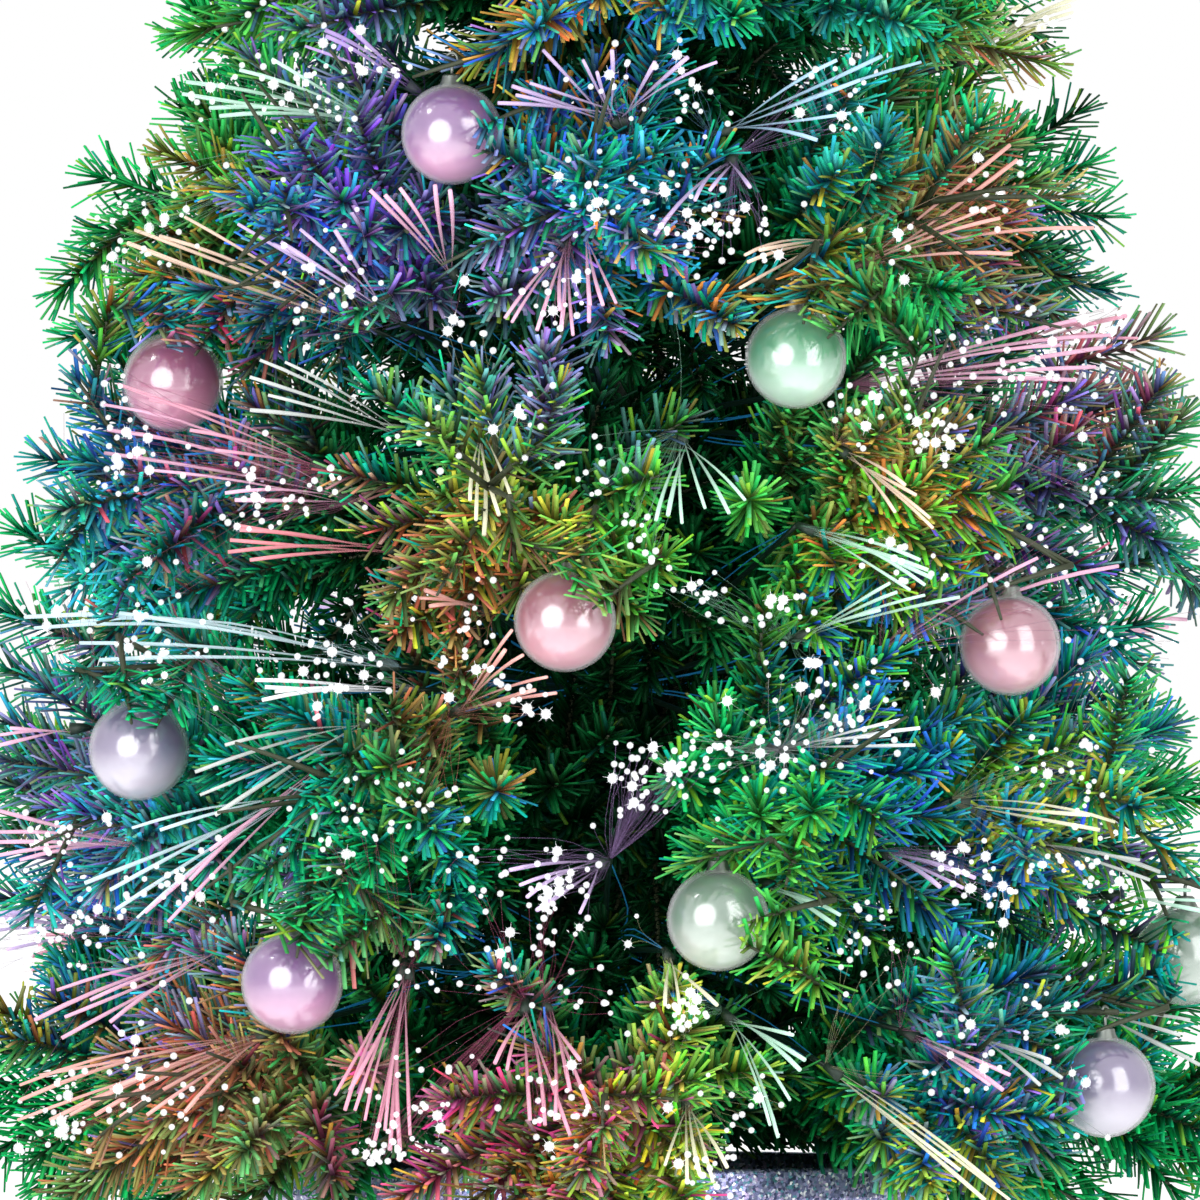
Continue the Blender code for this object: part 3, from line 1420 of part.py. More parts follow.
def plan_fan(room, owner, level, shape, draw):
    """The arm, the knot and the fibres of one fan, or None where there is no room."""
    place, first, last = shape
    out = Vector((place.x, place.y, 0.0)).normalized()
    collar = out * (COLLAR_BORE_RADIUS + FAN_COLLAR_WALL / 2) + Vector((0.0, 0.0, level_z(level)))
    middle = (first + last) / 2
    along = (middle - place).normalized()
    # The knot lies halfway in direction between the arm and the fan
    axis = ((place - collar).normalized() + along).normalized()
    knot_end = place + axis * KNOT_LENGTH
    arm = [(collar, ARM_RADIUS), (place, ARM_RADIUS)]
    knot = [(place, KNOT_ROOT_RADIUS), (knot_end, KNOT_RADIUS)]
    if not (room.free(f"fibres_{level + 1}", arm, FIBRE_ROOM) and room.free(owner, knot, FIBRE_ROOM)):
        return None
    across = last - first
    across = (across - along * across.dot(along)).normalized()
    over = along.cross(across)
    sideways = (across - axis * across.dot(axis)).normalized()
    upwards = axis.cross(sideways)
    spread = (first - place).angle(last - place) / 2
    length = (middle - knot_end).length
    half_side = math.pi / FIBRES_ROUND_KNOT
    foot_radius = KNOT_RADIUS * math.cos(half_side) * 2 / 3
    fibres = []
    for side, up in on_circle(1.0, FIBRES_ROUND_KNOT, math.pi / 2 - half_side):
        foot = knot_end + (sideways * side + upwards * up) * foot_radius
        yaw = math.tan(spread) * side
        lift = math.tan(math.radians(FIBRE_LIFT_DEG)) * up
        direction = (along + across * yaw + over * lift).normalized()
        run = length * draw.uniform(*FIBRE_END_SHARES)
        for part in FIBRE_LENGTH_SHARES:
            tip = foot + direction * max(FIBRE_LEAST, run * part)
            fibre = [(foot, FIBRE_ROOT_RADIUS), (tip, FIBRE_ROOT_RADIUS)]
            if room.free(owner, fibre, FIBRE_ROOM):
                fibres.append(fibre)
                break
    if len(fibres) < FIBRES_LEAST:
        return None
    turned_to = Matrix((sideways, upwards, axis)).transposed().to_4x4()
    return arm, knot, fibres, turned_to


def fan_mesh(fan):
    """A cone for the knot, whose foot is drawn out to the collar and whose end into the fibres."""
    arm, knot, fibres, turned_to = fan
    (collar, _), (place, _) = arm
    knot_end = knot[1][0]
    bm = bmesh.new()
    bmesh.ops.create_cone(
        bm,
        cap_ends=True,
        segments=FIBRES_ROUND_KNOT,
        radius1=KNOT_ROOT_RADIUS,
        radius2=KNOT_RADIUS,
        depth=KNOT_LENGTH,
        matrix=Matrix.Translation((place + knot_end) / 2) @ turned_to,
    )
    caps = [face for face in bm.faces if len(face.verts) == FIBRES_ROUND_KNOT]
    foot, end = sorted(caps, key=lambda face: (face.calc_center_median() - place).length)
    drawn = bmesh.ops.extrude_discrete_faces(bm, faces=[foot])["faces"][0]
    axis = (knot_end - place).normalized()
    turn = axis.rotation_difference((place - collar).normalized())
    for vert in drawn.verts:
        offset = (vert.co - place) * ARM_RADIUS / KNOT_ROOT_RADIUS
        vert.co = collar + turn @ offset
    roots = bmesh.ops.poke(bm, faces=[end])["faces"]
    for (root, _), (tip, _) in fibres:
        nearest = min(roots, key=lambda face: (face.calc_center_median() - root).length)
        roots.remove(nearest)
        drawn = bmesh.ops.extrude_discrete_faces(bm, faces=[nearest])["faces"][0]
        middle = drawn.calc_center_median()
        for vert in drawn.verts:
            vert.co = tip + (vert.co - middle) * FIBRE_TIP_SHARE
    return mesh_from(bm, "fan")


def plan_fans(room):
    """The arms, knots and fibres of each level. A fan without room in any shape is left out."""
    draw = random.Random(29)
    levels = [[] for _ in FANS_ON_LEVEL]
    for index, (tried, shapes) in enumerate(all_fans()):
        owner = f"fan_{index + 1}"
        plans = ((level, plan_fan(room, owner, level, s, draw)) for s in shapes for level in tried)
        level, fan = next(((level, fan) for level, fan in plans if fan), (None, None))
        if fan is None:
            continue
        arm, knot, fibres, _ = fan
        levels[level].append(fan)
        room.take(f"fibres_{level + 1}", arm)
        for stroke in (knot, *fibres):
            room.take(owner, stroke)
    return levels


def make_fans(paints, lift, levels):
    for level, fans in enumerate(levels):
        name = f"fibres_{level + 1}"
        collar = collar_ring(name + "_collar", level_z(level), FAN_COLLAR_WALL, FAN_COLLAR_HEIGHT)
        fuse(name, [fan_mesh(fan) for fan in fans], collar, paints["fibre"], lift)
    fans = [fan for level in levels for fan in level]
    print("fans:", len(fans), "fibres in all:", sum(len(fan[2]) for fan in fans))


def make_ball(index, pivot, outward, paint):
    """A ball with its cap and an open hook round the twig. The origin is the pivot."""
    name = f"bauble_{index + 1:02d}"
    down = Vector((0.0, 0.0, -1.0))
    ball = bmesh.new()
    bmesh.ops.create_uvsphere(
        ball, u_segments=BALL_SIDES, v_segments=BALL_RINGS, radius=BALL_RADIUS
    )
    bmesh.ops.translate(ball, vec=down * PIVOT_TO_BALL, verts=ball.verts)
    obj = add_object(name, mesh_from(ball, name), paint, pivot)
    aside = Vector((-outward.y, outward.x, 0.0))
    ring = TWIG_RADIUS + FIT_GAP + HOOK_WIRE_RADIUS
    low = HOOK_SHANK + HOOK_SINK
    stroke = [(down * low, HOOK_WIRE_RADIUS)]
    turns = (math.radians(HOOK_TURN_DEG) * k / (HOOK_POINTS - 1) for k in range(HOOK_POINTS))
    for turn in turns:
        place = down * math.cos(turn) * ring + aside * math.sin(turn) * ring
        stroke.append((place, HOOK_WIRE_RADIUS))
    cap_top = -HOOK_SHANK
    cap = cylinder(
        name + "_cap",
        CAP_RADIUS,
        CAP_HEIGHT,
        None,
        pivot + Vector((0.0, 0.0, cap_top - CAP_HEIGHT / 2)),
        sides=8,
    )
    hook = add_object(name + "_hook", strokes_mesh(name + "_hook", [stroke], 0), None, pivot)
    add(obj, cap)
    add(obj, hook)
    smooth(obj.data, 60)
    return obj


def main():
    paints = make_materials()
    make_pot(paints)
    make_foot_plate(paints)
    make_deck(paints)
    make_lamp(paints)
    make_wheel(paints)
    make_motor(paints)
    make_inlet(paints)
    make_switch(paints)
    make_terminals(paints)
    make_leads(paints)
    lift = axis_empty("tree_lift_axis", (0.0, 0.0, TRUNK_Z))
    make_trunk(paints, lift)
    room = Room()
    balls = hanging_balls()
    keep_balls_free(room, balls)
    plans = plan_mains(room)
    twigs = plan_twigs(room, plans, balls)
    fans = plan_fans(room)
    sides = plan_sides(room, plans)
    make_foliage(paints, lift, plans, twigs, sides)
    make_leader(paints, lift)
    make_fans(paints, lift, fans)
    for index, (pivot, outward, paint) in enumerate(balls):
        make_ball(index, pivot, outward, paints[paint])


clear_scene()
PARTS = new_collection("fibre_optic_tree")
CUTTERS = new_collection("cutters")
main()
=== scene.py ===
"""Looks for the fibre optic Christmas tree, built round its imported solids.

Every sprig of needles, strand of fibre, light point and ball is a mesh made here from named sizes.
Lengths are in metres and +Z is up. The front of the tree faces -Y.
"""

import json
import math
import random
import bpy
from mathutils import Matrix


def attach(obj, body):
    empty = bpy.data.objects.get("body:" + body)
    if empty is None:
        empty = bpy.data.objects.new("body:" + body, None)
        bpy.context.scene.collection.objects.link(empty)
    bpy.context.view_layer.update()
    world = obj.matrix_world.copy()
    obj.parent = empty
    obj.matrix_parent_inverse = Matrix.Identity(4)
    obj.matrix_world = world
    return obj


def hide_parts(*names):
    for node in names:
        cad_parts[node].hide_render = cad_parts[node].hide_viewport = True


bl_info = {
    "name": "Fibre Optic Christmas Tree",
    "version": (1, 0, 0),
    "blender": (4, 5, 0),
    "location": "View3D > Sidebar > Fibre Tree",
    "description": "Dresses the fibre optic tree with needles, fibres, light points and balls",
    "category": "Object",
}

from collections import namedtuple

import bmesh
import bpy
import numpy as np
from bpy.props import FloatProperty, FloatVectorProperty, IntProperty, PointerProperty
from mathutils import Matrix, Vector

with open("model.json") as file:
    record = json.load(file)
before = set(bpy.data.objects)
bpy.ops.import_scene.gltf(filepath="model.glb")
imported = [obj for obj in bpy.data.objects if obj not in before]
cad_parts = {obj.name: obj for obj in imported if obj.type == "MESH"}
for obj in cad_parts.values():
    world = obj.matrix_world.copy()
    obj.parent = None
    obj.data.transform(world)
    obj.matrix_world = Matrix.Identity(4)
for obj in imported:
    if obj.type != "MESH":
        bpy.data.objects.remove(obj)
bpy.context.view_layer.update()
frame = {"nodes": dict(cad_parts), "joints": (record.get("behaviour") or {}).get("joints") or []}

UP = np.array((0.0, 0.0, 1.0))

# The tree's outline and its whorls, as in the solids
FOLIAGE_RADIUS = 0.262
FOLIAGE_FOOT_Z = 0.150
FOLIAGE_TOP_Z = 1.150
TREE_TOP_Z = 1.200
OUTLINE_POWER = 1.4
FIRST_WHORL_Z = 0.190
WHORL_PITCH = 0.105
WHORL_BRANCHES = (8, 8, 7, 7, 6, 6, 5, 5, 4)
WHORL_RISE_DEG = (0, 4, 8, 13, 18, 24, 31, 40, 50)
WHORL_TURN_DEG = 22.5
TOP_WHORL_REACH = 0.045
LEADER_SHORT = 0.009
LEADER_SIDES_Z = 1.100
LEADER_SIDE = 0.046
LEADER_RISE_DEG = 48
BRANCH_WOBBLE_SHARE = 0.12
BRANCH_SHORTENING_SHARE = 0.07
# Painted shade on the needles of the inner twigs
INNER_PAINTED_SHADE = 0.46
MOST_REACH = 0.2735
LEAST_SPRIG = 0.018
TRUNK_TWIGS = 330
# Painted shade on the needles of the trunk twigs
TRUNK_PAINTED_SHADE = 0.40
TRUNK_TWIG_RISE_DEG = (-22, 46)
TRUNK_TWIG_LENGTHS = (0.022, 0.52)
OUTLINE_ROUNDS = 12
TRUNK_RADIUS = 0.0125
TRUNK_WALL = 0.0015
TRUNK_Z = 0.0847
TRUNK_TOP_Z = 1.080
TRUNK_FOOT_RISE = 0.0033
TRUNK_TWIGS_Z = (0.176, TRUNK_TOP_Z - 0.02)
STEM_ROOT_REACH = 0.0150

# Room kept round the balls, the pot's rim and the outline, and the clear air before a ball
OUTLINE_SLACK = 0.001
OUTLINE_MORE_SLACK = 0.019
MORE_SLACK_Z = (0.22, 0.36)
SPRIG_ROOM = 0.006
NEEDLE_ROOM = 0.0014
POINT_ROOM = 0.0035
STRAND_ROOM = 0.0024
THREAD_ROOM = 0.0008
ARM_ROOM = 0.0016
KNOT_ROOM = 0.001
WIRE_ROOM = 0.0015
RIM_ROOM = (0.004, 0.002)
BARE_LANE = 0.96
BACK_LANE = 0.92
LANE_FLARE = 0.12

# Twigs on a main branch: where along it, turn aside, rise, length and how dark they are, as painted shade
TWIGS = (
    (0.42, 36, 4, 0.110, 1.0),
    (0.42, -36, 4, 0.110, 1.0),
    (0.30, 15, 27, 0.150, 1.0),
    (0.34, -20, 22, 0.130, 1.0),
    (0.32, 20, -24, 0.150, 1.0),
    (0.36, -15, -20, 0.130, 1.0),
    (0.60, 30, 26, 0.075, 1.0),
    (0.60, -30, -22, 0.075, 1.0),
    (0.66, -34, 24, 0.065, 1.0),
    (0.66, 34, -20, 0.065, 1.0),
    (0.12, 40, 48, 0.080, 0.6),
    (0.12, -40, -44, 0.080, 0.6),
    (0.02, 15, 66, 0.065, 0.5),
    (0.02, -30, -60, 0.055, 0.5),
    (0.56, 12, -38, 0.080, 1.0),
    (0.72, -16, -44, 0.060, 1.0),
)
TWIG_JITTER_DEG = 6

# Twigs that hang from the lowest front branch over the pot, in the same terms
DROOPS = (
    (0.50, 0, -30, 0.110, 1.0),
    (0.52, 22, -26, 0.120, 1.0),
    (0.52, -22, -26, 0.120, 1.0),
    (0.56, -40, -20, 0.120, 1.0),
    (0.66, 10, -40, 0.090, 1.0),
    (0.66, -12, -38, 0.090, 1.0),
    (0.64, 34, -32, 0.090, 1.0),
    (0.64, -34, -32, 0.090, 1.0),
    (0.46, -50, -12, 0.110, 1.0),
)

# Twigs at random places on a main branch: how many, between which shares of it, the most that they
# turn and rise to each side, their length as a size and a share of the whorl's reach, and how dark, as
# painted shade
LooseTwigs = namedtuple("LooseTwigs", "count along turn_deg rise_deg least share shade")
LOOSE_TWIGS = (
    LooseTwigs(15, (0.04, 0.74), 62, 60, 0.034, 0.30, INNER_PAINTED_SHADE),
    LooseTwigs(12, (0.5, 0.97), 58, 52, 0.036, 0.22, 1.0),
)
TWIG_LENGTH_SHARES = (0.9, 1.05)
LOOSE_LENGTH_SHARES = (0.6, 1.0)
LONG_TWIG = 0.110
LONG_TWIG_SHARE = 0.45
STEEPER_SHARE = 0.5
STRAIGHT_AHEAD = -0.99
SPRIG_TRIALS = 15
SPOT_SHARES = (0.35, 0.5, 0.65, 0.8)
SPOT_TRIALS = 200
WIRE_TRIALS = 12

# Wire stems: their sag and their radii from foot to tip
STEM_SAG = 0.05
STEM_LENGTH_SHARE = 0.97
STEM_RADII = (0.0016, 0.0013, 0.0010, 0.0006)

# Needles: the turn from one to the next, the zone near a twig's tip, how the sweep and the length
# change there, and their thickness
NEEDLE_TURN = 2.399963
LEAST_NEEDLES = 6
TIP_ZONE = (0.80, 1.0)
TIP_SWEEP_CUT = 0.62
TIP_LENGTH_CUT = 0.30
FOOT_ZONE = (0.0, 0.25)
FOOT_LENGTH_SHARE = 0.62
SWEEP_SPREAD = 0.10
NEEDLE_LENGTH_SHARES = (0.72, 1.08)
NEEDLE_RADII_SHARES = (0.40, 0.34)
THICKER = 1.15
NEEDLE_SIDES = 3
NEEDLE_FLATNESS = 0.45

# Colour of the needles: painted shade, darker inside and at their feet, lighter at the very top; a
# painted glow of their own colour; and the fans' light painted on them
DARKEST_PAINTED_SHADE = 0.15
PAINTED_SHADE_GAIN = 0.87
PAINTED_SHADE_ZONE = (0.34, 0.84)
UNSHADED_TOP_Z = (1.03, 1.10)
LEAST_OUTLINE = 0.03
LANE_SHOWS = 0.08
TINT_SHARES = (0.75, 1.20)
GLOW_SHARES = (0.25, 1.0)
GLOW_HUE_SHARES = (0.6, 1.4)
GLOW_GAIN_SHARES = (0.5, 1.9)
FOOT_PAINTED_SHADE_SHARE = 0.22
PAINTED_OWN_GLOW_SHARE = 0.12
TIP_GLOW_SHARE = 0.20
FOOT_GLOW_SHARE = 0.03
GLOW_FILL = 2.4
GLOW_DEPTH_SHARE = 0.88

# Brushes that make the outline at the picture's sides: from and to, in its pixels
SIDE_BRUSHES = (
    (120, 590, 20, 524),
    (100, 648, 4, 606),
    (96, 700, 6, 664),
    (92, 760, 4, 716),
    (96, 812, 0, 776),
    (96, 868, 0, 838),
    (110, 905, 2, 892),
    (1052, 372, 1154, 332),
    (1066, 420, 1150, 388),
    (1076, 584, 1170, 548),
    (1070, 640, 1148, 618),
)
SIDE_BRUSH_Y = -0.02

# The picture: its width and scale, and from where it sees the tree
PICTURE_WIDTH = 1200
PICTURE_SCALE = 0.000400
PICTURE_AXIS_X = 605
PICTURE_EYE_Y = 600
EYE_Z = 0.382
EYE_AWAY = 8.0
SENSOR_WIDTH = 36.0
FLOOR_HALF = 30.0

# Lamps: name, shape, width, height, which setting holds its power, the way to it and how far
LAMPS = (
    ("round_key", "DISK", 2.00, 2.00, "key_power", (-0.46, -0.86, 0.18), 2.1),
    ("tall_window", "RECTANGLE", 1.2, 2.7, "window_power", (0.68, -0.72, 0.14), 2.1),
    ("small_upper", "DISK", 0.22, 0.22, "fill_power", (-0.64, -0.17, 0.75), 1.9),
)

# Balls in the order of their joints: colour, the side on which needles lie before it, half the
# angle they cover, and how near its middle they reach as a share of its radius
BALLS = (
    ("lilac", 0, 50, 0.42),
    ("rose", 75, 46, 0.60),
    ("mint", 60, 40, 0.62),
    ("pink", 55, 50, 0.42),
    ("pink", 130, 46, 0.45),
    ("silver", 80, 50, 0.42),
    ("sage", -10, 50, 0.40),
    ("lilac", 60, 50, 0.45),
    ("silver", 170, 50, 0.42),
    ("sage", 180, 110, 0.0),
    ("rose", 60, 50, 0.50),
    ("silver", 60, 50, 0.50),
)
BALLS_IN_FRONT = 10
COVER_SWERVES_DEG = (-22, 20)
WIDE_COVER_SWERVES_DEG = (-66, -22, 22, 66)
COVER_START_SHARES = (2.3, 0.1)
COVER_END_SHARES = (0.60, -1.50)
COVER_PAINTED_SHADE = 0.95
CAP_TWIG_START = (0.015, 0.020, 0.002)
CAP_TWIG_END = (0.014, 0.014, 0.006)
BALL_SWING_DEG = 15
PEARL_SHIFT = (-0.012, 0.0, -0.016)
CAP_RADIUS = 0.0052
CAP_HEIGHT = 0.005
CAP_SINK = 0.0015
SKIRT_HEIGHT = 0.0024
SKIRT_FLARE = 0.06
SKIRT_WAVES = 8
HOOK_WIRE_RADIUS = 0.0007
HOOK_SHANK = 0.006
HOOK_TURN_DEG = 250
COVER_WIRE_RADIUS = 0.0009
TWIG_RADIUS = 0.0012
TWIG_RUN = 0.014
TWIG_END = 0.006
TWIG_ARCH = 0.004
FIT_GAP = 0.0003

# Fans of the back, the sides and the top, as in the solids
FANS_ON_LEVEL = (5, 5, 5, 5, 4, 4, 3, 2)
FAN_TURN_DEG = 38.25
FAN_LEANS_DEG = (58, -58, 62, -60, 56)
FAN_SPREAD_DEG = 20
FAN_TILT_DEG = 14
FAN_TIPS = 7
TIP_PITCH = 0.14
STRAND_LENGTH_SHARES = (0.84, 1.0)
TIP_REACH_SHARES = (0.93, 1.0)
FAN_LENGTH_SHARE = 0.42
FAN_LEAST_LENGTH = 0.034
FAN_MOST_LENGTH = 0.070
FAN_ROOT_SHARE = 0.80
FAN_TIP_SHARE = 0.97
FAN_INSIDE = 0.010
LEVELS_IN_PICTURE = 4
COLLAR_REACH = 0.0145
COLLAR_WALL = 0.0035
COLLAR_HALF = 0.004
KNOT_ROOT_RADIUS = 0.0015
KNOT_RADIUS = 0.0025
KNOT_LENGTH = 0.008
KNOT_SHIFTS = (0.0, 0.004, -0.004, 0.008, -0.008)
BOWS = (0.0, 0.006, 0.012, 0.019, 0.027)
BOW_UP_SHARES = (-0.01, 0.05)
BOW_ASIDE_SHARE = 0.025
STRAND_JITTER = 0.0015
STRAND_RADII_SHARES = (0.15, 0.30, 0.50, 0.70, 0.85, 1.0, 0.90)
STRAND_RINGS = len(STRAND_RADII_SHARES)
THREAD_RINGS = 6
THREAD_SLACK = 0.004
LANE_CELL = 0.0021
LANE_HALF = 0.30
LANE_COUNT = 300
LANE_FROM_SHARE = 0.30
LANE_TRIALS = 26
SHEATH_SLACK = 0.001
FIBRE_SLACKS = (0.007, 0.009)
ARM_RINGS = 8
ARM_FIBRE_RADIUS = 0.00028
SHEATH_RADIUS = 0.0012
CLUSTER_SPREAD_SHARE = 0.62
CLUSTER_DEPTH_SHARES = (0.95, 1.04)
POINT_SHARE_SPREAD = (0.78, 0.24)
POINT_SHARE_ENDS = (0.15, 1.12)
POINT_SPREAD = 0.0085
POINT_DEPTH_SHARES = (0.96, 1.04)
POINT_SHIFT_SHARES = (0.9, 1.25)
POINT_DROP = 0.004
# Painted glint rays and a painted halo round the light points
RAYS = 8
RAY_LENGTH_SHARES = (2.5, 3.6)
RAY_WIDTH_SHARES = (0.12, 0.02)
PAINTED_HALO_SHARE = 1.9
POINTS_MORE = 1.5

# Pot
FOOT_HEIGHT = 0.006
POT_TOP_Z = 0.158
POT_FOOT_RADIUS = 0.108
POT_RIM_RADIUS = 0.141
POT_WALL = 0.003
LEDGE_Z = 0.145
HANG_Z = 0.136
LIP_RADIUS = 0.0021
RIM_STEP = 0.005
RIM_STEP_RISE = 0.003
PANEL_SIZE = (0.064, 0.034)
PANEL_Z = 0.040
PANEL_PROUD = 0.002
SWITCH_X = -0.014
SWITCH_OPENING = (0.0132, 0.0196)
INLET_X = 0.017
INLET_OPENING_RADIUS = 0.0061
PLATE_SCREWS_REACH = 0.0960
LID_SCREWS_REACH = 0.1250
LID_TOP_Z = 0.1483
SCREW_HEAD = ((0.0, 0.0013), (0.0016, 0.0012), (0.0026, 0.0007), (0.0029, 0.0), (0.0, 0.0))

# Light colours of the fans and of the needles near them, as red, green and blue shown on a screen
LIGHTS = {
    "white": (238, 240, 246),
    "mint": (176, 232, 205),
    "pale": (190, 225, 235),
    "sky": (150, 205, 240),
    "lilac": (196, 160, 222),
    "violet": (150, 100, 200),
    "pink": (226, 150, 190),
    "rose": (214, 110, 150),
    "red": (220, 70, 95),
    "salmon": (236, 150, 135),
    "peach": (240, 200, 170),
    "cream": (236, 232, 190),
    "grey": (178, 186, 182),
}
GLOWS = {
    "teal": (10, 140, 160),
    "cyan": (60, 185, 215),
    "blue": (50, 85, 205),
    "violet": (115, 60, 185),
    "lilac": (150, 110, 205),
    "purple": (70, 40, 105),
    "magenta": (200, 55, 125),
    "orange": (205, 120, 50),
    "salmon": (205, 105, 85),
    "brown": (120, 55, 25),
    "yellow": (205, 200, 60),
    "lime": (120, 200, 50),
}

# Fans that face the front: light, root, then the tips, in the picture's places
FRONT_FANS = (
    ("mint", (385, 125), ((183, 94), (187, 82), (210, 108), (220, 116), (272, 59), (240, 70))),
    ("violet", (425, 95), ((305, 46), (325, 30), (326, 36), (350, 28))),
    ("peach", (375, 330), ((128, 243), (135, 230), (185, 217), (160, 236))),
    ("lilac", (400, 322), ((238, 224), (273, 244), (281, 242), (300, 229), (335, 230))),
    ("grey", (420, 440), ((260, 360), (250, 377), (268, 395), (285, 362), (250, 410))),
    ("lilac", (625, 132), ((543, 50), (583, 60), (597, 72), (612, 50), (512, 86), (516, 95))),
    ("lilac", (625, 132), ((530, 83), (498, 103), (655, 62), (688, 57), (717, 62))),
    ("sky", (712, 135), ((837, 60), (882, 56), (921, 62), (851, 113), (817, 140), (860, 80))),
    ("pink", (570, 235), ((505, 318), (512, 322), (537, 330), (560, 310), (561, 330), (573, 335))),
    ("pink", (585, 225), ((589, 322), (590, 305), (603, 305), (616, 303))),
    ("pink", (460, 285), ((370, 190), (385, 195), (435, 185), (400, 188), (450, 190))),
    ("lilac", (735, 155), ((655, 235), (695, 200), (710, 190), (750, 187))),
    ("peach", (832, 238), ((745, 255), (748, 262), (740, 288), (760, 250))),
    ("salmon", (848, 270), ((1010, 145), (1017, 160), (995, 205), (1000, 218), (1093, 228), (1012, 254))),
    ("pink", (850, 385), ((1075, 320), (1110, 335), (1105, 347), (1095, 367), (1075, 380), (1060, 345))),
    ("pink", (358, 502), ((105, 405), (108, 430), (105, 453), (225, 493), (235, 500), (150, 470))),
    ("rose", (330, 470), ((120, 385), (150, 400), (190, 430), (215, 450))),
    ("red", (405, 550), ((235, 525), (240, 530), (230, 540), (228, 552), (250, 560))),
    ("pale", (400, 667), ((25, 617), (35, 628), (80, 643), (100, 660), (120, 613), (70, 622))),
    ("white", (420, 690), ((265, 687), (275, 692), (255, 680), (262, 700))),
    ("pink", (90, 727), ((0, 735), (0, 745), (10, 728))),
    ("grey", (380, 720), ((195, 772), (200, 795), (225, 745), (215, 815))),
    ("cream", (480, 425), ((470, 500), (484, 535), (499, 515), (511, 497), (476, 520))),
    ("mint", (680, 430), ((656, 520), (682, 523), (705, 508), (729, 513), (745, 500), (668, 515))),
    ("salmon", (495, 612), ((420, 598), (430, 606), (425, 590))),
    ("salmon", (450, 715), ((512, 630), (505, 650), (523, 655), (547, 677), (556, 693), (535, 690))),
    ("peach", (835, 445), ((895, 512), (916, 495), (930, 518), (933, 528), (905, 485))),
    ("mint", (797, 525), ((928, 570), (932, 578), (925, 585), (910, 590), (920, 560))),
    ("mint", (790, 640), ((890, 583), (897, 592), (925, 595), (960, 597), (880, 610))),
    ("pink", (880, 650), ((1037, 558), (1118, 566), (1100, 575), (1080, 570))),
    ("white", (780, 750), ((900, 720), (920, 728), (890, 735), (915, 745))),
    ("pink", (160, 845), ((0, 811), (0, 832), (0, 842), (0, 855), (20, 860))),
    ("pale", (310, 790), ((132, 828), (160, 830), (85, 883), (110, 890), (115, 910), (137, 918))),
    ("pink", (330, 760), ((145, 913), (168, 922), (190, 880), (210, 850))),
    ("pink", (235, 945), ((57, 990), (35, 1020), (65, 1017), (62, 1038), (110, 1022), (90, 1000))),
    ("salmon", (270, 1035), ((20, 1085), (20, 1100), (18, 1120), (50, 1120), (70, 1115), (40, 1075))),
    ("salmon", (275, 1030), ((95, 1115), (120, 1117), (147, 1115), (185, 1112), (110, 1090))),
    ("rose", (405, 960), ((335, 1095), (345, 1110), (355, 1110), (375, 1140), (390, 1150), (400, 1150))),
    ("rose", (412, 965), ((365, 1120), (385, 1130), (410, 1135), (350, 1090))),
    ("lilac", (610, 860), ((510, 870), (527, 897), (537, 910), (580, 913), (520, 885))),
    ("rose", (525, 1000), ((495, 1063), (507, 1070), (530, 1120), (545, 1125), (570, 1135))),
    ("rose", (545, 1000), ((590, 1110), (570, 1090), (580, 1060), (555, 1120))),
    ("cream", (665, 950), ((665, 1005), (680, 1010), (697, 995), (717, 1005))),
    ("mint", (722, 1010), ((800, 1070), (805, 1060), (793, 1035), (770, 1125), (778, 1137), (790, 1100))),
    ("cream", (685, 1095), ((665, 1165), (687, 1180), (713, 1182), (727, 1167), (700, 1175))),
    ("cream", (950, 800), ((1115, 822), (1090, 815), (1100, 830))),
    ("lilac", (875, 850), ((940, 887), (963, 888), (975, 878), (950, 870))),
    ("grey", (1020, 840), ((1160, 872), (1140, 860), (1150, 880))),
    ("mint", (1100, 895), ((1200, 900), (1200, 910), (1190, 890))),
    ("grey", (1080, 1005), ((1180, 1035), (1200, 1065), (1190, 1020), (1170, 1050))),
    ("pink", (900, 1030), ((1003, 1090), (990, 1085), (1010, 1075))),
    ("grey", (960, 1030), ((1062, 1078), (1050, 1060), (1040, 1085))),
    ("cream", (825, 1065), ((1010, 1200), (985, 1200), (960, 1170), (995, 1185))),
    ("mint", (760, 880), ((840, 915), (835, 925), (820, 905))),
)

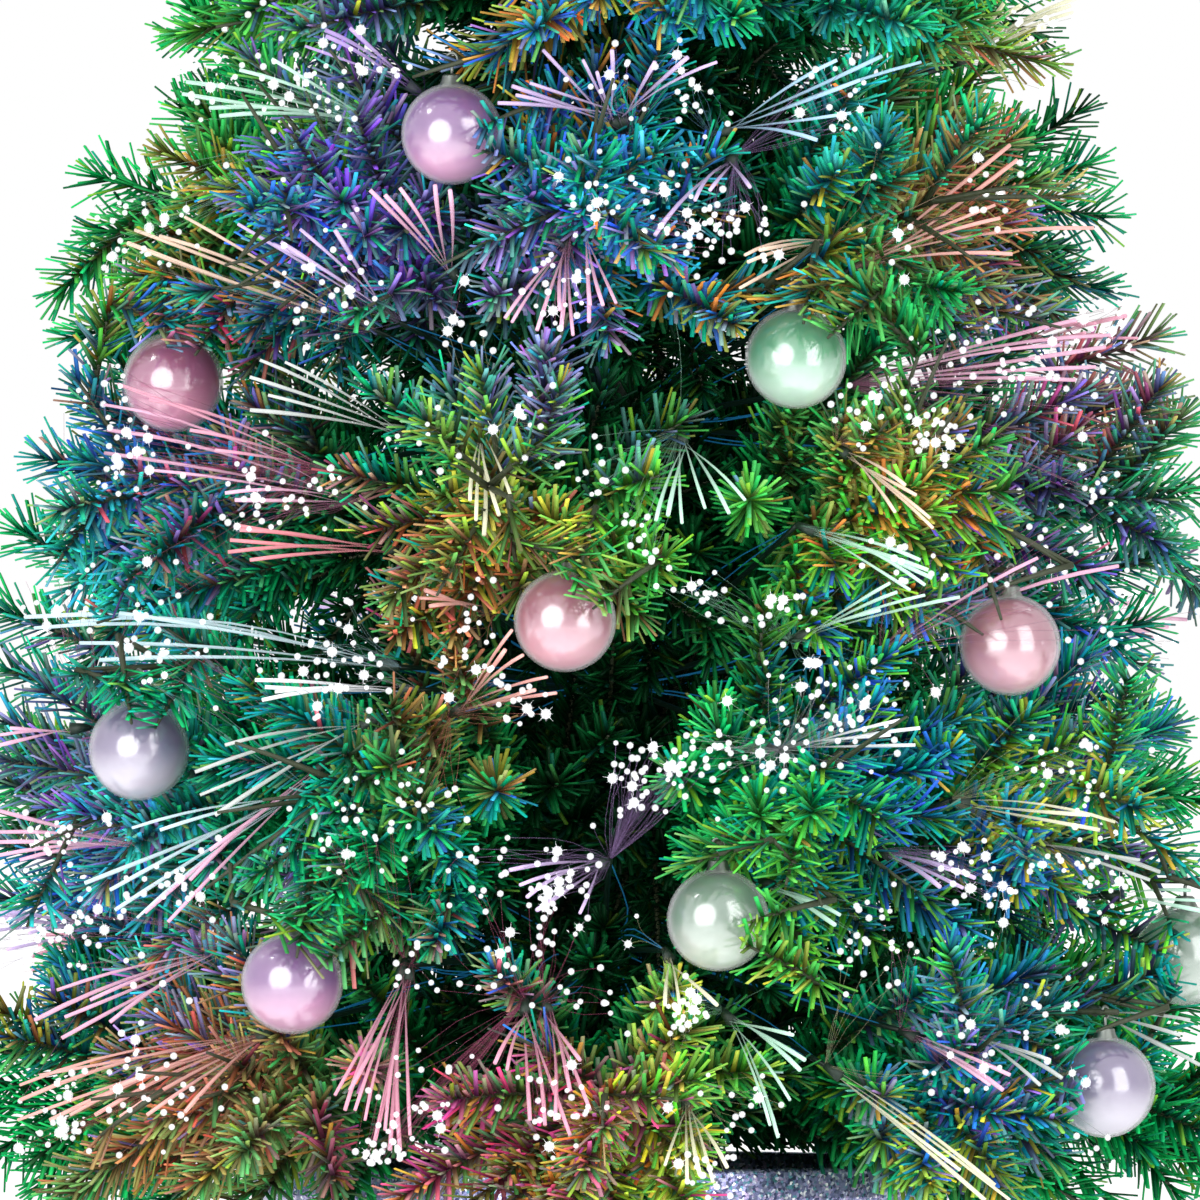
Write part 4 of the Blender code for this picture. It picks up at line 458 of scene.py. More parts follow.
# Coloured light that lies on the needles: glow, place in the picture, reach in pixels, strength
FRONT_GLOWS = (
    ("orange", (530, 20), 90, 0.9),
    ("yellow", (440, 20), 50, 0.7),
    ("violet", (330, 200), 120, 0.9),
    ("lilac", (390, 70), 60, 0.7),
    ("cyan", (560, 70), 60, 0.8),
    ("teal", (640, 180), 90, 0.9),
    ("cyan", (700, 200), 80, 0.7),
    ("lime", (120, 300), 50, 0.9),
    ("salmon", (1010, 180), 90, 0.8),
    ("yellow", (840, 230), 40, 0.8),
    ("lilac", (1080, 345), 70, 0.9),
    ("blue", (120, 430), 90, 0.8),
    ("teal", (230, 510), 80, 0.8),
    ("magenta", (330, 545), 60, 0.7),
    ("brown", (450, 650), 110, 0.9),
    ("brown", (430, 560), 60, 0.7),
    ("cyan", (50, 640), 80, 0.8),
    ("orange", (960, 460), 60, 0.7),
    ("violet", (1050, 520), 110, 0.9),
    ("blue", (920, 690), 90, 0.8),
    ("teal", (1100, 650), 80, 0.7),
    ("lime", (1060, 770), 50, 0.8),
    ("cyan", (100, 860), 80, 0.8),
    ("yellow", (15, 970), 50, 0.8),
    ("salmon", (150, 1060), 110, 0.9),
    ("teal", (530, 890), 60, 0.9),
    ("magenta", (460, 1060), 80, 0.6),
    ("brown", (570, 1100), 80, 0.7),
    ("orange", (380, 1130), 60, 0.8),
    ("yellow", (680, 1010), 40, 0.9),
    ("yellow", (680, 1170), 40, 0.7),
    ("blue", (1030, 880), 90, 0.8),
    ("purple", (1090, 950), 60, 0.9),
    ("blue", (980, 1100), 70, 0.7),
    ("violet", (450, 240), 80, 0.8),
    ("purple", (520, 270), 60, 0.7),
    ("blue", (230, 280), 70, 0.6),
    ("teal", (850, 900), 60, 0.6),
    ("magenta", (360, 1080), 70, 0.7),
    ("orange", (520, 1140), 70, 0.8),
    ("brown", (640, 1100), 60, 0.6),
    ("salmon", (300, 1000), 60, 0.6),
    ("lilac", (1130, 540), 60, 0.8),
    ("cyan", (1000, 760), 60, 0.7),
    ("cyan", (1000, 620), 50, 0.6),
    ("lilac", (1120, 860), 60, 0.7),
    ("blue", (1140, 690), 70, 0.7),
    ("cyan", (440, 190), 60, 0.7),
    ("blue", (640, 250), 60, 0.7),
    ("lilac", (60, 700), 60, 0.7),
    ("violet", (40, 810), 60, 0.8),
)

# Light points in the picture: place of a cluster, its reach in pixels, and how many
LIGHT_CLUSTERS = (
    ((285, 75), 60, 22), ((350, 85), 40, 12), ((200, 95), 30, 8), ((640, 88), 42, 12),
    ((700, 92), 30, 8), ((830, 92), 40, 12), ((590, 200), 34, 12), ((690, 215), 40, 30),
    ((745, 225), 34, 14), ((560, 292), 36, 14), ((130, 232), 30, 14), ((330, 272), 60, 20),
    ((470, 335), 32, 7), ((130, 450), 42, 20), ((100, 398), 30, 9), ((255, 508), 44, 20),
    ((330, 482), 36, 9), ((420, 430), 36, 6), ((520, 420), 36, 7), ((600, 470), 30, 9),
    ((640, 560), 34, 20), ((700, 590), 26, 9), ((480, 645), 42, 24), ((520, 690), 30, 12),
    ((335, 660), 52, 28), ((150, 632), 60, 22), ((50, 612), 34, 9), ((640, 775), 34, 26),
    ((700, 765), 34, 22), ((780, 745), 38, 24), ((850, 715), 40, 24), ((790, 600), 28, 10),
    ((905, 560), 34, 9), ((870, 400), 40, 24), ((940, 425), 34, 18), ((985, 345), 44, 18),
    ((1060, 375), 34, 12), ((1100, 480), 30, 9), ((1050, 560), 40, 12), ((1100, 620), 36, 9),
    ((1075, 765), 46, 18), ((985, 880), 36, 24), ((1080, 880), 38, 22), ((870, 940), 38, 18),
    ((1050, 1010), 38, 12), ((1100, 1100), 44, 14), ((960, 1070), 36, 9), ((560, 885), 36, 22),
    ((520, 945), 40, 14), ((420, 960), 30, 8), ((640, 920), 34, 6), ((680, 1010), 26, 18),
    ((600, 985), 34, 8), ((420, 1090), 40, 14), ((385, 1150), 22, 18), ((560, 1105), 38, 18),
    ((150, 1080), 60, 26), ((60, 1110), 34, 16), ((80, 930), 46, 22), ((180, 870), 44, 14),
    ((55, 840), 30, 12), ((235, 955), 36, 12), ((745, 1115), 36, 9), ((700, 1180), 24, 9),
    ((480, 880), 30, 9), ((350, 830), 46, 18), ((420, 800), 36, 12), ((170, 205), 40, 8),
    ((1010, 190), 44, 10), ((900, 240), 30, 7), ((410, 60), 30, 6), ((800, 660), 36, 9),
)

# Finishes
WHITE = (1.0, 1.0, 1.0, 1.0)
FLOOR_TONE = (0.90, 0.90, 0.90, 1.0)
FLOOR_GLOW = 0.62
GRAIN_SCALE = 2200.0
SCUFF_STRETCH = (1.0, 1.0, 0.12)
SCUFF_ENDS = (0.58, 0.78)
SCUFF_SCALE_SHARE = 1.5
SCUFF_ROUGHNESS = 0.35
WORN_SHARE = 0.5
WORN_LIFT = 0.22
FLAKE_TONES = (
    (0.0, (0.05, 0.06, 0.14)),
    (0.22, (0.16, 0.17, 0.34)),
    (0.45, (0.30, 0.30, 0.52)),
    (0.62, (0.10, 0.28, 0.36)),
    (0.74, (0.42, 0.34, 0.56)),
    (0.86, (0.62, 0.64, 0.80)),
    (0.95, (0.95, 0.95, 1.0)),
)
FLAKE_COVER_ENDS = (0.30, 0.48)
FLAKE_ROUGHNESS = (0.16, 0.55)
FLAKE_METAL = 0.7
PAINTED_PALE_FOOT_ENDS = (0.60, 0.05)
CLOUD_SHARE = 0.20
PEARL_ROUGHNESS = (0.16, 0.21)
PEARL_IOR = 2.7
FILM_ALPHA = 0.72

# The darker and the brighter greens beside the main one, and how often each of the six comes
OTHER_GREENS = (
    (0.001, 0.33, 0.080),
    (0.012, 0.72, 0.165),
    (0.240, 0.62, 0.040),
    (0.000, 0.43, 0.250),
    (0.000, 0.14, 0.045),
)
GREEN_SHARES = (0.40, 0.20, 0.20, 0.05, 0.05, 0.10)

LOOSE_FIBRE_LIGHT = (40, 135, 190)
POINT_LIGHT = (250, 252, 255)
SHEATH_TONE = (0.004, 0.012, 0.008, 1.0)

# Which light falls on the needles near a fan of each colour
GLOW_OF_FAN = {
    "white": "teal",
    "mint": "lime",
    "pale": "cyan",
    "sky": "cyan",
    "lilac": "blue",
    "violet": "violet",
    "pink": "lilac",
    "rose": "magenta",
    "red": "magenta",
    "salmon": "salmon",
    "peach": "orange",
    "cream": "yellow",
    "grey": "teal",
}
FAN_GLOW_SHARES = (0.95, 0.95, 1.0)
FAN_GLOW_REACH = 0.038
FAN_GLOW_STRENGTH = 0.55

# A sprig's shade darkens its needles as painted shade, 1 for none, and also thins them
Sprig = namedtuple("Sprig", "start heading length shade")
Fan = namedtuple("Fan", "light root tips way")
Ball = namedtuple("Ball", "pivot outward middle radius colour cover_deg half_deg lane")


class FoliageSettings(bpy.types.PropertyGroup):
    """Sizes and colours of the needles."""

    needle_length: FloatProperty(
        name="Needle length", description="Length of one needle", default=0.0200, unit="LENGTH"
    )
    needle_width: FloatProperty(
        name="Needle width", description="Width of one needle", default=0.0027, unit="LENGTH"
    )
    needles_per_metre: IntProperty(
        name="Needles per metre", description="Needles on a metre of sprig", default=1450
    )
    needle_sweep: FloatProperty(
        name="Needle sweep",
        description="Angle between a needle and its sprig",
        default=math.radians(46),
        subtype="ANGLE",
    )
    needle_green: FloatVectorProperty(
        name="Needle green",
        description="Main colour of the needles",
        default=(0.0, 0.50, 0.115),
        subtype="COLOR",
    )
    wire_brown: FloatVectorProperty(
        name="Wire",
        description="Colour of the twisted wire stems",
        default=(0.035, 0.045, 0.020),
        subtype="COLOR",
    )


class FibreSettings(bpy.types.PropertyGroup):
    """Sizes of the strands and light points."""

    strand_radius: FloatProperty(
        name="Strand radius",
        description="Radius of a lit strand near its tip",
        default=0.00092,
        unit="LENGTH",
    )
    thread_radius: FloatProperty(
        name="Thread radius", description="Radius of a fine fibre", default=0.00013, unit="LENGTH"
    )
    point_radius: FloatProperty(
        name="Light point radius",
        description="Radius of a small light point",
        default=0.00064,
        unit="LENGTH",
    )
    points_on_fan: IntProperty(
        name="Light points on a fan",
        description="Light points round each fan of the back and sides",
        default=22,
    )
    point_strength: FloatProperty(
        name="Light point strength", description="How bright the light points are", default=2.0
    )


class BallSettings(bpy.types.PropertyGroup):
    """Sizes of the hanging balls."""

    radius: FloatProperty(
        name="Radius", description="Outer radius of a ball", default=0.020, unit="LENGTH"
    )
    shell: FloatProperty(
        name="Shell", description="Thickness of the clear shell", default=0.0006, unit="LENGTH"
    )
    pearl_share: FloatProperty(
        name="Pearl share",
        description="Radius of the pearl inside as a share of the ball's",
        default=0.935,
        subtype="FACTOR",
    )


class PotSettings(bpy.types.PropertyGroup):
    """Colours of the pot."""

    ground: FloatVectorProperty(
        name="Ground colour",
        description="Colour under the glitter",
        default=(0.15, 0.17, 0.30),
        subtype="COLOR",
    )
    flake_scale: FloatProperty(
        name="Flake scale", description="Glitter flakes along a metre", default=900.0
    )


class StageSettings(bpy.types.PropertyGroup):
    """Plain studio round the tree."""

    world_light: FloatProperty(
        name="World light", description="Strength of the even light", default=0.50
    )
    key_power: FloatProperty(
        name="Key power", description="Power of the round front light", default=36.0, unit="POWER"
    )
    window_power: FloatProperty(
        name="Window power", description="Power of the tall side light", default=30.0, unit="POWER"
    )
    fill_power: FloatProperty(
        name="Fill power", description="Power of the small upper light", default=1.6, unit="POWER"
    )


def linear(rgb):
    """A screen colour in parts of 255 as a linear one."""
    share = np.asarray(rgb, float) / 255.0
    return np.where(share <= 0.04045, share / 12.92, ((share + 0.055) / 1.055) ** 2.4)


def unit(vectors):
    return vectors / np.maximum(np.linalg.norm(vectors, axis=-1, keepdims=True), 1e-12)


def ramp(value, low, high):
    """A smooth rise from 0 at low to 1 at high."""
    share = np.clip((value - low) / (high - low), 0.0, 1.0)
    return share * share * (3 - 2 * share)


def shares_of(count, low=0.0, high=1.0):
    """Even shares as a column, to lay points along a line."""
    return np.linspace(low, high, count)[:, None]


def heading(turn, rise):
    level = math.cos(rise)
    return np.array((math.cos(turn) * level, math.sin(turn) * level, math.sin(rise)))


def reach_of(points):
    """How far points stand from the trunk's axis."""
    return np.hypot(points[..., 0], points[..., 1])


def outline_radius(z):
    """How far the foliage reaches from the trunk at a height, or at many."""
    share = np.clip((np.asarray(z) - FOLIAGE_FOOT_Z) / (FOLIAGE_TOP_Z - FOLIAGE_FOOT_Z), 0.0, 1.0)
    return FOLIAGE_RADIUS * (1 - share**OUTLINE_POWER)


# Meshes


def put_in(name, data):
    """A new object with this mesh, lamp or lens, in the scene."""
    made = bpy.data.objects.new(name, data)
    bpy.context.scene.collection.objects.link(made)
    return made


def mesh_piece(name, shape, paint, smooth=False, colours=None):
    """A piece from its points with lists of like-sided faces, and named colours for each point."""
    points, faces = shape
    mesh = bpy.data.meshes.new(name)
    mesh.vertices.add(len(points))
    mesh.vertices.foreach_set("co", np.asarray(points, np.float32).ravel())
    corners = np.concatenate([np.asarray(f).ravel() for f in faces]).astype(np.int32)
    sizes = np.concatenate([np.full(len(f), np.shape(f)[1]) for f in faces])
    starts = np.concatenate([[0], np.cumsum(sizes)[:-1]]).astype(np.int32)
    mesh.loops.add(len(corners))
    mesh.loops.foreach_set("vertex_index", corners)
    mesh.polygons.add(len(sizes))
    mesh.polygons.foreach_set("loop_start", starts)
    mesh.update(calc_edges=True)
    for colour_name, values in (colours or {}).items():
        layer = mesh.attributes.new(colour_name, "FLOAT_COLOR", "POINT")
        full = np.ones((len(points), 4), np.float32)
        full[:, : values.shape[1]] = values
        layer.data.foreach_set("color", full.ravel())
    mesh.materials.append(paint)
    if smooth:
        mesh.shade_smooth()
    return put_in(name, mesh)


def tubes(lines, radii, sides, flat=1.0):
    """Closed tubes along lines of (tube, point, xyz), as points and faces."""
    lines = np.asarray(lines, float)
    count, rings, _ = lines.shape
    along = unit(np.gradient(lines, axis=1))
    whole = unit(lines[:, -1] - lines[:, 0])
    helper = np.where(np.abs(whole[:, 2:3]) < 0.9, (0.0, 0.0, 1.0), (1.0, 0.0, 0.0))
    across = unit(np.cross(whole, helper))[:, None, :]
    across = unit(across - along * np.sum(along * across, axis=-1, keepdims=True))
    over = np.cross(along, across) * flat
    angle = np.arange(sides) * math.tau / sides
    ring = across[:, :, None, :] * np.cos(angle)[:, None]
    ring = ring + over[:, :, None, :] * np.sin(angle)[:, None]
    points = lines[:, :, None, :] + ring * np.asarray(radii)[:, :, None, None]
    index = np.arange(count * rings * sides).reshape(count, rings, sides)
    turned_on = np.roll(index, -1, axis=2)
    walls = np.stack(
        [index[:, :-1], turned_on[:, :-1], turned_on[:, 1:], index[:, 1:]], axis=-1
    ).reshape(-1, 4)
    caps = np.concatenate([index[:, 0, ::-1], index[:, -1]])
    return points.reshape(-1, 3), [walls, caps]


def spread(values, sides):
    """Colours of (tube, point, channel) repeated for each side of the tube."""
    values = np.asarray(values)
    return np.repeat(values, sides, axis=1).reshape(-1, values.shape[-1])


def spheres(centres, radii, subdivisions):
    """Many small balls from one icosphere."""
    bm = bmesh.new()
    bmesh.ops.create_icosphere(bm, subdivisions=subdivisions, radius=1.0)
    ball = np.array([v.co for v in bm.verts])
    faces = np.array([[v.index for v in f.verts] for f in bm.faces])
    bm.free()
    points = centres[:, None, :] + ball[None] * np.asarray(radii)[:, None, None]
    shifted = faces[None] + (np.arange(len(centres)) * len(ball))[:, None, None]
    return points.reshape(-1, 3), [shifted.reshape(-1, 3)]


def joined(parts):
    """Several (points, faces) as one."""
    points = np.concatenate([p for p, _ in parts])
    faces = []
    start = 0
    for part_points, part_faces in parts:
        faces += [np.asarray(f) + start for f in part_faces]
        start += len(part_points)
    return points, faces


def revolved(profile, steps, closed):
    """A profile of (radius, height) turned about Z, ends on the axis closed to a point."""
    bm = bmesh.new()
    verts = [bm.verts.new((radius, 0.0, height)) for radius, height in profile]
    ends = list(zip(verts, verts[1:]))
    if closed:
        ends.append((verts[-1], verts[0]))
    edges = [bm.edges.new(pair) for pair in ends]
    bmesh.ops.spin(
        bm,
        geom=[*verts, *edges],
        cent=(0, 0, 0),
        axis=(0, 0, 1),
        angle=math.tau,
        steps=steps,
        use_merge=True,
    )
    bmesh.ops.remove_doubles(bm, verts=bm.verts, dist=0.000001)
    bmesh.ops.recalc_face_normals(bm, faces=bm.faces)
    return bm


def piece_from(bm, name, paint, place=(0, 0, 0), smooth=True, sharp_deg=35):
    mesh = bpy.data.meshes.new(name)
    bm.to_mesh(mesh)
    bm.free()
    mesh.transform(Matrix.Translation(place))
    if smooth:
        mesh.shade_smooth()
        mesh.set_sharp_from_angle(angle=math.radians(sharp_deg))
    if paint is not None:
        mesh.materials.append(paint)
    return put_in(name, mesh)


def block_bm(size, place):
    bm = bmesh.new()
    bmesh.ops.create_cube(bm, size=1.0)
    bmesh.ops.scale(bm, vec=Vector(size), verts=bm.verts)
    bmesh.ops.translate(bm, vec=Vector(place), verts=bm.verts)
    return bm


def combine(target, bm, operation):
    """Cuts a closed shape from a piece, or unites them, and keeps the result."""
    other = piece_from(bm, target.name + "_tool", None, smooth=False)
    step = target.modifiers.new(operation.lower(), "BOOLEAN")
    step.operation = operation
    step.solver = "EXACT"
    step.object = other
    graph = bpy.context.evaluated_depsgraph_get()
    made = bpy.data.meshes.new_from_object(target.evaluated_get(graph))
    target.modifiers.clear()
    target.data = made
    bpy.data.objects.remove(other, do_unlink=True)


# Materials


def group(name, inputs, outputs):
    """A node group with named sockets, each given as its name, its kind and its default."""
    tree = bpy.data.node_groups.new(name, "ShaderNodeTree")
    for socket_name, kind, default in inputs:
        kind = "NodeSocket" + kind
        socket = tree.interface.new_socket(socket_name, in_out="INPUT", socket_type=kind)
        socket.default_value = default
    for socket_name, kind in outputs:
        kind = "NodeSocket" + kind
        tree.interface.new_socket(socket_name, in_out="OUTPUT", socket_type=kind)
    start = tree.nodes.new("NodeGroupInput")
    end = tree.nodes.new("NodeGroupOutput")
    return tree, start, end


def fed(tree, made, sockets):
    """The node, each named socket of it linked to another's output or given a value."""
    for name, value in sockets.items():
        if isinstance(value, bpy.types.NodeSocket):
            tree.links.new(value, made.inputs[name])
        else:
            made.inputs[name].default_value = value
    return made


def node(tree, kind, sockets=None, **settings):
    """A new shader node with its settings and its sockets fed."""
    made = tree.nodes.new("ShaderNode" + kind)
    for name, value in settings.items():
        setattr(made, name, value)
    return fed(tree, made, sockets or {})


def math_of(tree, operation, *values):
    return node(tree, "Math", dict(enumerate(values)), operation=operation).outputs[0]


def noise(tree, scale, detail, place):
    sockets = {"Detail": detail, "Scale": scale, "Vector": place}
    return node(tree, "TexNoise", sockets).outputs["Fac"]


def remapped(tree, value, ends, smooth=False, to=None):
    """A value rescaled from its two ends to 0 and 1, or to two others."""
    sockets = {"Value": value, "From Min": ends[0], "From Max": ends[1]}
    if to:
        sockets.update({"To Min": to[0], "To Max": to[1]})
    made = node(tree, "MapRange", sockets)
    if smooth:
        made.interpolation_type = "SMOOTHSTEP"
    return made.outputs[0]


def place_of(tree, stretch=None):
    """The place on the object, stretched if it is to make streaks."""
    place = node(tree, "TexCoord").outputs["Object"]
    if stretch is None:
        return place
    return node(tree, "Mapping", {"Vector": place, "Scale": stretch}).outputs[0]


def mixed_colour(tree, share, low, high):
    sockets = {"Factor": share, "A": low, "B": high}
    return node(tree, "Mix", sockets, data_type="RGBA").outputs["Result"]


def make_mottle_group():
    """A colour that varies softly in brightness over the surface, and a height for fine grain."""
    tree, start, end = group(
        "soft_mottle",
        (
            ("Colour", "Color", (0.5, 0.5, 0.5, 1.0)),
            ("Spread", "Float", 0.2),
            ("Scale", "Float", 60.0),
        ),
        (("Colour", "Color"), ("Height", "Float")),
    )
    place = place_of(tree)
    broad = noise(tree, start.outputs["Scale"], 4.0, place)
    centred = math_of(tree, "SUBTRACT", broad, 0.5)
    swing = math_of(tree, "MULTIPLY_ADD", centred, start.outputs["Spread"], 1.0)
    sockets = {0: start.outputs["Colour"], "Scale": swing}
    tone = node(tree, "VectorMath", sockets, operation="SCALE")
    fed(tree, end, {"Colour": tone.outputs[0], "Height": noise(tree, GRAIN_SCALE, 2.0, place)})
    return tree


def make_wear_group():
    """Light scuffs and dust: a mask that is strong in patches and along faint scratches."""
    tree, start, end = group(
        "scuff_mask",
        (("Amount", "Float", 0.3), ("Scale", "Float", 120.0)),
        (("Mask", "Float"),),
    )
    streaks = noise(tree, start.outputs["Scale"], 6.0, place_of(tree, SCUFF_STRETCH))
    narrow = remapped(tree, streaks, SCUFF_ENDS)
    fed(tree, end, {"Mask": math_of(tree, "MULTIPLY", narrow, start.outputs["Amount"])})
    return tree


def make_glitter_group():
    """Flakes in cool colours over a ground, with a height and a roughness of their own."""
    tree, start, end = group(
        "glitter_coat",
        (
            ("Ground", "Color", (0.2, 0.22, 0.4, 1.0)),
            ("Scale", "Float", 900.0),
        ),
        (
            ("Colour", "Color"),
            ("Roughness", "Float"),
            ("Metallic", "Float"),
            ("Height", "Float"),
        ),
    )
    place = place_of(tree)
    sockets = {"Vector": place, "Scale": start.outputs["Scale"], "Randomness": 1.0}
    flakes = node(tree, "TexVoronoi", sockets)
    parts = node(tree, "SeparateColor", {"Color": flakes.outputs["Color"]}).outputs
    tones = node(tree, "ValToRGB", {"Fac": parts["Red"]})
    tones.color_ramp.interpolation = "CONSTANT"
    elements = tones.color_ramp.elements
    elements[1].position = FLAKE_TONES[1][0]
    for position, _ in FLAKE_TONES[2:]:
        elements.new(position)
    for element, (_, colour) in zip(elements, FLAKE_TONES):
        element.color = (*colour, 1.0)
    thick = remapped(tree, noise(tree, 260.0, 3.0, place), FLAKE_COVER_ENDS)
    sockets = {
        "Colour": mixed_colour(tree, thick, start.outputs["Ground"], tones.outputs["Color"]),
        "Roughness": remapped(tree, parts["Green"], (0.0, 1.0), to=FLAKE_ROUGHNESS),
        "Metallic": math_of(tree, "MULTIPLY", thick, FLAKE_METAL),
        "Height": parts["Blue"],
    }
    fed(tree, end, sockets)
    return tree


def placed(tree, node_group, **values):
    """The node group in a material, with its own values."""
    made = tree.nodes.new("ShaderNodeGroup")
    made.node_tree = node_group
    return fed(tree, made, values).outputs


def blank_paint(name):
    paint = bpy.data.materials.new(name)
    paint.use_nodes = True
    return paint, paint.node_tree, paint.node_tree.nodes["Principled BSDF"]


def bump(tree, height, strength, distance):
    sockets = {"Height": height, "Strength": strength, "Distance": distance}
    return node(tree, "Bump", sockets).outputs["Normal"]


def plain_paint(
    name, colour, roughness, metallic=0.0, mottle=0.25, scale=90.0, grain=0.3, wear=0.2
):
    """Moulded, painted or plated stuff: mottled colour, fine grain and light scuffs."""
    paint, tree, shader = blank_paint(name)
    tone = placed(tree, GROUPS["mottle"], Colour=(*colour, 1.0), Spread=mottle, Scale=scale)
    scuffs = placed(tree, GROUPS["wear"], Amount=wear, Scale=scale * SCUFF_SCALE_SHARE)["Mask"]
    worn = (*(WORN_SHARE * c + WORN_LIFT for c in colour), 1.0)
    sockets = {
        "Metallic": metallic,
        "Base Color": mixed_colour(tree, scuffs, tone["Colour"], worn),
        "Roughness": math_of(tree, "MULTIPLY_ADD", scuffs, SCUFF_ROUGHNESS, roughness),
        "Normal": bump(tree, tone["Height"], grain, 0.0002),
    }
    fed(tree, shader, sockets)
    return paint


def brushed_paint(name, colour, roughness, turned_about_z=True):
    """Turned or rolled metal with fine lines."""
    paint, tree, shader = blank_paint(name)
    stretch = (30.0, 30.0, 4000.0) if turned_about_z else (30.0, 4000.0, 30.0)
    streaks = noise(tree, 1.0, 3.0, place_of(tree, stretch))
    tone = placed(tree, GROUPS["mottle"], Colour=(*colour, 1.0), Spread=0.3, Scale=140.0)
    ends = (roughness * 0.7, roughness * 1.3)
    sockets = {
        "Metallic": 1.0,
        "Base Color": tone["Colour"],
        "Roughness": remapped(tree, streaks, (0.0, 1.0), to=ends),
        "Normal": bump(tree, streaks, 0.25, 0.0001),
    }
    fed(tree, shader, sockets)
    return paint


def colour_of(tree, name, channel="Color"):
    return node(tree, "Attribute", attribute_name=name).outputs[channel]


def unlit(paint):
    """The finish glows by itself and isn't used as a lamp."""
    paint.cycles.emission_sampling = "NONE"
    return paint


def needle_paint():
    """Cut film: the colour of each needle with fine streaks and its painted shade, and the light painted
    on it as a glow.
    """
    paint, tree, shader = blank_paint("needle_film")
    tone = placed(tree, GROUPS["mottle"], Colour=colour_of(tree, "tint"), Spread=0.5, Scale=420.0)
    sockets = {
        "Base Color": tone["Colour"],
        "Emission Color": colour_of(tree, "glow"),
        "Emission Strength": 1.0,
        "Roughness": 0.55,
        "Specular IOR Level": 0.15,
        "Normal": bump(tree, tone["Height"], 0.2, 0.0001),
    }
    fed(tree, shader, sockets)
    return unlit(paint)


def strand_paint():
    """Side-lit fibre: its own pale light, seen through where it is faint."""
    paint, tree, shader = blank_paint("lit_fibre")
    tone = placed(tree, GROUPS["mottle"], Colour=colour_of(tree, "tint"), Spread=0.35, Scale=300.0)
    sockets = {
        "Base Color": tone["Colour"],
        "Emission Color": colour_of(tree, "glow"),
        "Emission Strength": 1.0,
        "Roughness": 0.30,
        "Specular IOR Level": 0.25,
        "Alpha": colour_of(tree, "tint", "Alpha"),
    }
    fed(tree, shader, sockets)
    return unlit(paint)


def point_paint(strength):
    """A bright drop of light in a faint painted halo, with painted glint rays on some."""
    paint, tree, shader = blank_paint("light_point")
    tone = placed(tree, GROUPS["mottle"], Colour=colour_of(tree, "tint"), Spread=0.1, Scale=500.0)
    sockets = {
        "Base Color": tone["Colour"],
        "Emission Color": tone["Colour"],
        "Emission Strength": strength,
        "Roughness": 0.2,
        "Alpha": colour_of(tree, "tint", "Alpha"),
    }
    fed(tree, shader, sockets)
    return unlit(paint)


def shell_paint():
    """Clear blown plastic: all but unseen face on, pale at its edge."""
    paint, tree, shader = blank_paint("clear_shell")
    tone = placed(tree, GROUPS["mottle"], Colour=(0.86, 0.84, 0.88, 1.0), Spread=0.06, Scale=60.0)
    edge = node(tree, "LayerWeight", {"Blend": 0.5}).outputs["Facing"]
    sockets = {
        "Base Color": tone["Colour"],
        "Roughness": 0.05,
        "Alpha": remapped(tree, edge, (0.45, 1.0), smooth=True, to=(0.02, 0.55)),
    }
    fed(tree, shader, sockets)
    return paint


def pearl_paint(name, deep, pale):
    """Pearly lacquer: soft clouds, paler towards the foot as painted light, and a faint painted glow,
    under a dense clear coat.
    """
    paint, tree, shader = blank_paint(name)
    where = node(tree, "TexCoord").outputs
    place = where["Object"]
    height = node(tree, "SeparateXYZ", {0: where["Generated"]}).outputs["Z"]
    # Painted light: the pearl paler towards its foot
    painted_pale_foot = remapped(tree, height, PAINTED_PALE_FOOT_ENDS, smooth=True)
    clouds = noise(tree, 70.0, 2.0, place)
    share = math_of(tree, "MULTIPLY_ADD", clouds, CLOUD_SHARE, painted_pale_foot)
    body = mixed_colour(tree, share, (*deep, 1.0), (*pale, 1.0))
    specks = noise(tree, 900.0, 2.0, place)
    sockets = {
        "Base Color": body,
        # Painted light: the pearl glows faintly with its own colour
        "Emission Color": body,
        "Emission Strength": 0.08,
        "Roughness": remapped(tree, specks, (0.0, 1.0), to=PEARL_ROUGHNESS),
        "IOR": PEARL_IOR,
    }
    fed(tree, shader, sockets)
    return unlit(paint)


def glitter_paint(settings):
    paint, tree, shader = blank_paint("pot_glitter")
    coat = placed(
        tree, GROUPS["glitter"], Ground=(*settings.ground, 1.0), Scale=settings.flake_scale
    )
    sockets = {
        "Base Color": coat["Colour"],
        "Roughness": coat["Roughness"],
        "Metallic": coat["Metallic"],
        "Normal": bump(tree, coat["Height"], 0.6, 0.0004),
    }
    fed(tree, shader, sockets)
    return paint


def film_paint(name, colour):
    """Clear coloured filter film."""
    paint, tree, shader = blank_paint(name)
    tone = placed(tree, GROUPS["mottle"], Colour=(*colour, 1.0), Spread=0.15, Scale=80.0)
    fed(tree, shader, {"Base Color": tone["Colour"], "Roughness": 0.08, "Alpha": FILM_ALPHA})
    return paint


GROUPS = {}


def make_groups():
    GROUPS["mottle"] = make_mottle_group()
    GROUPS["wear"] = make_wear_group()
    GROUPS["glitter"] = make_glitter_group()


# Where things are


def picture_point(px, py, share):
    """The place on the tree's front, at a share of its outline, that shows at a picture's pixel."""
    px, py, share = np.broadcast_arrays(np.asarray(px, float), py, share)
    near = np.ones_like(px)
    for _ in range(OUTLINE_ROUNDS):
        x = (px - PICTURE_AXIS_X) * PICTURE_SCALE * near
        z = EYE_Z - (py - PICTURE_EYE_Y) * PICTURE_SCALE * near
        reach = np.maximum(outline_radius(z) * share, np.abs(x) + FAN_INSIDE)
        y = -np.sqrt(reach**2 - x**2)
        near = 1 + y / EYE_AWAY
    return np.stack([x, y, z], axis=-1)


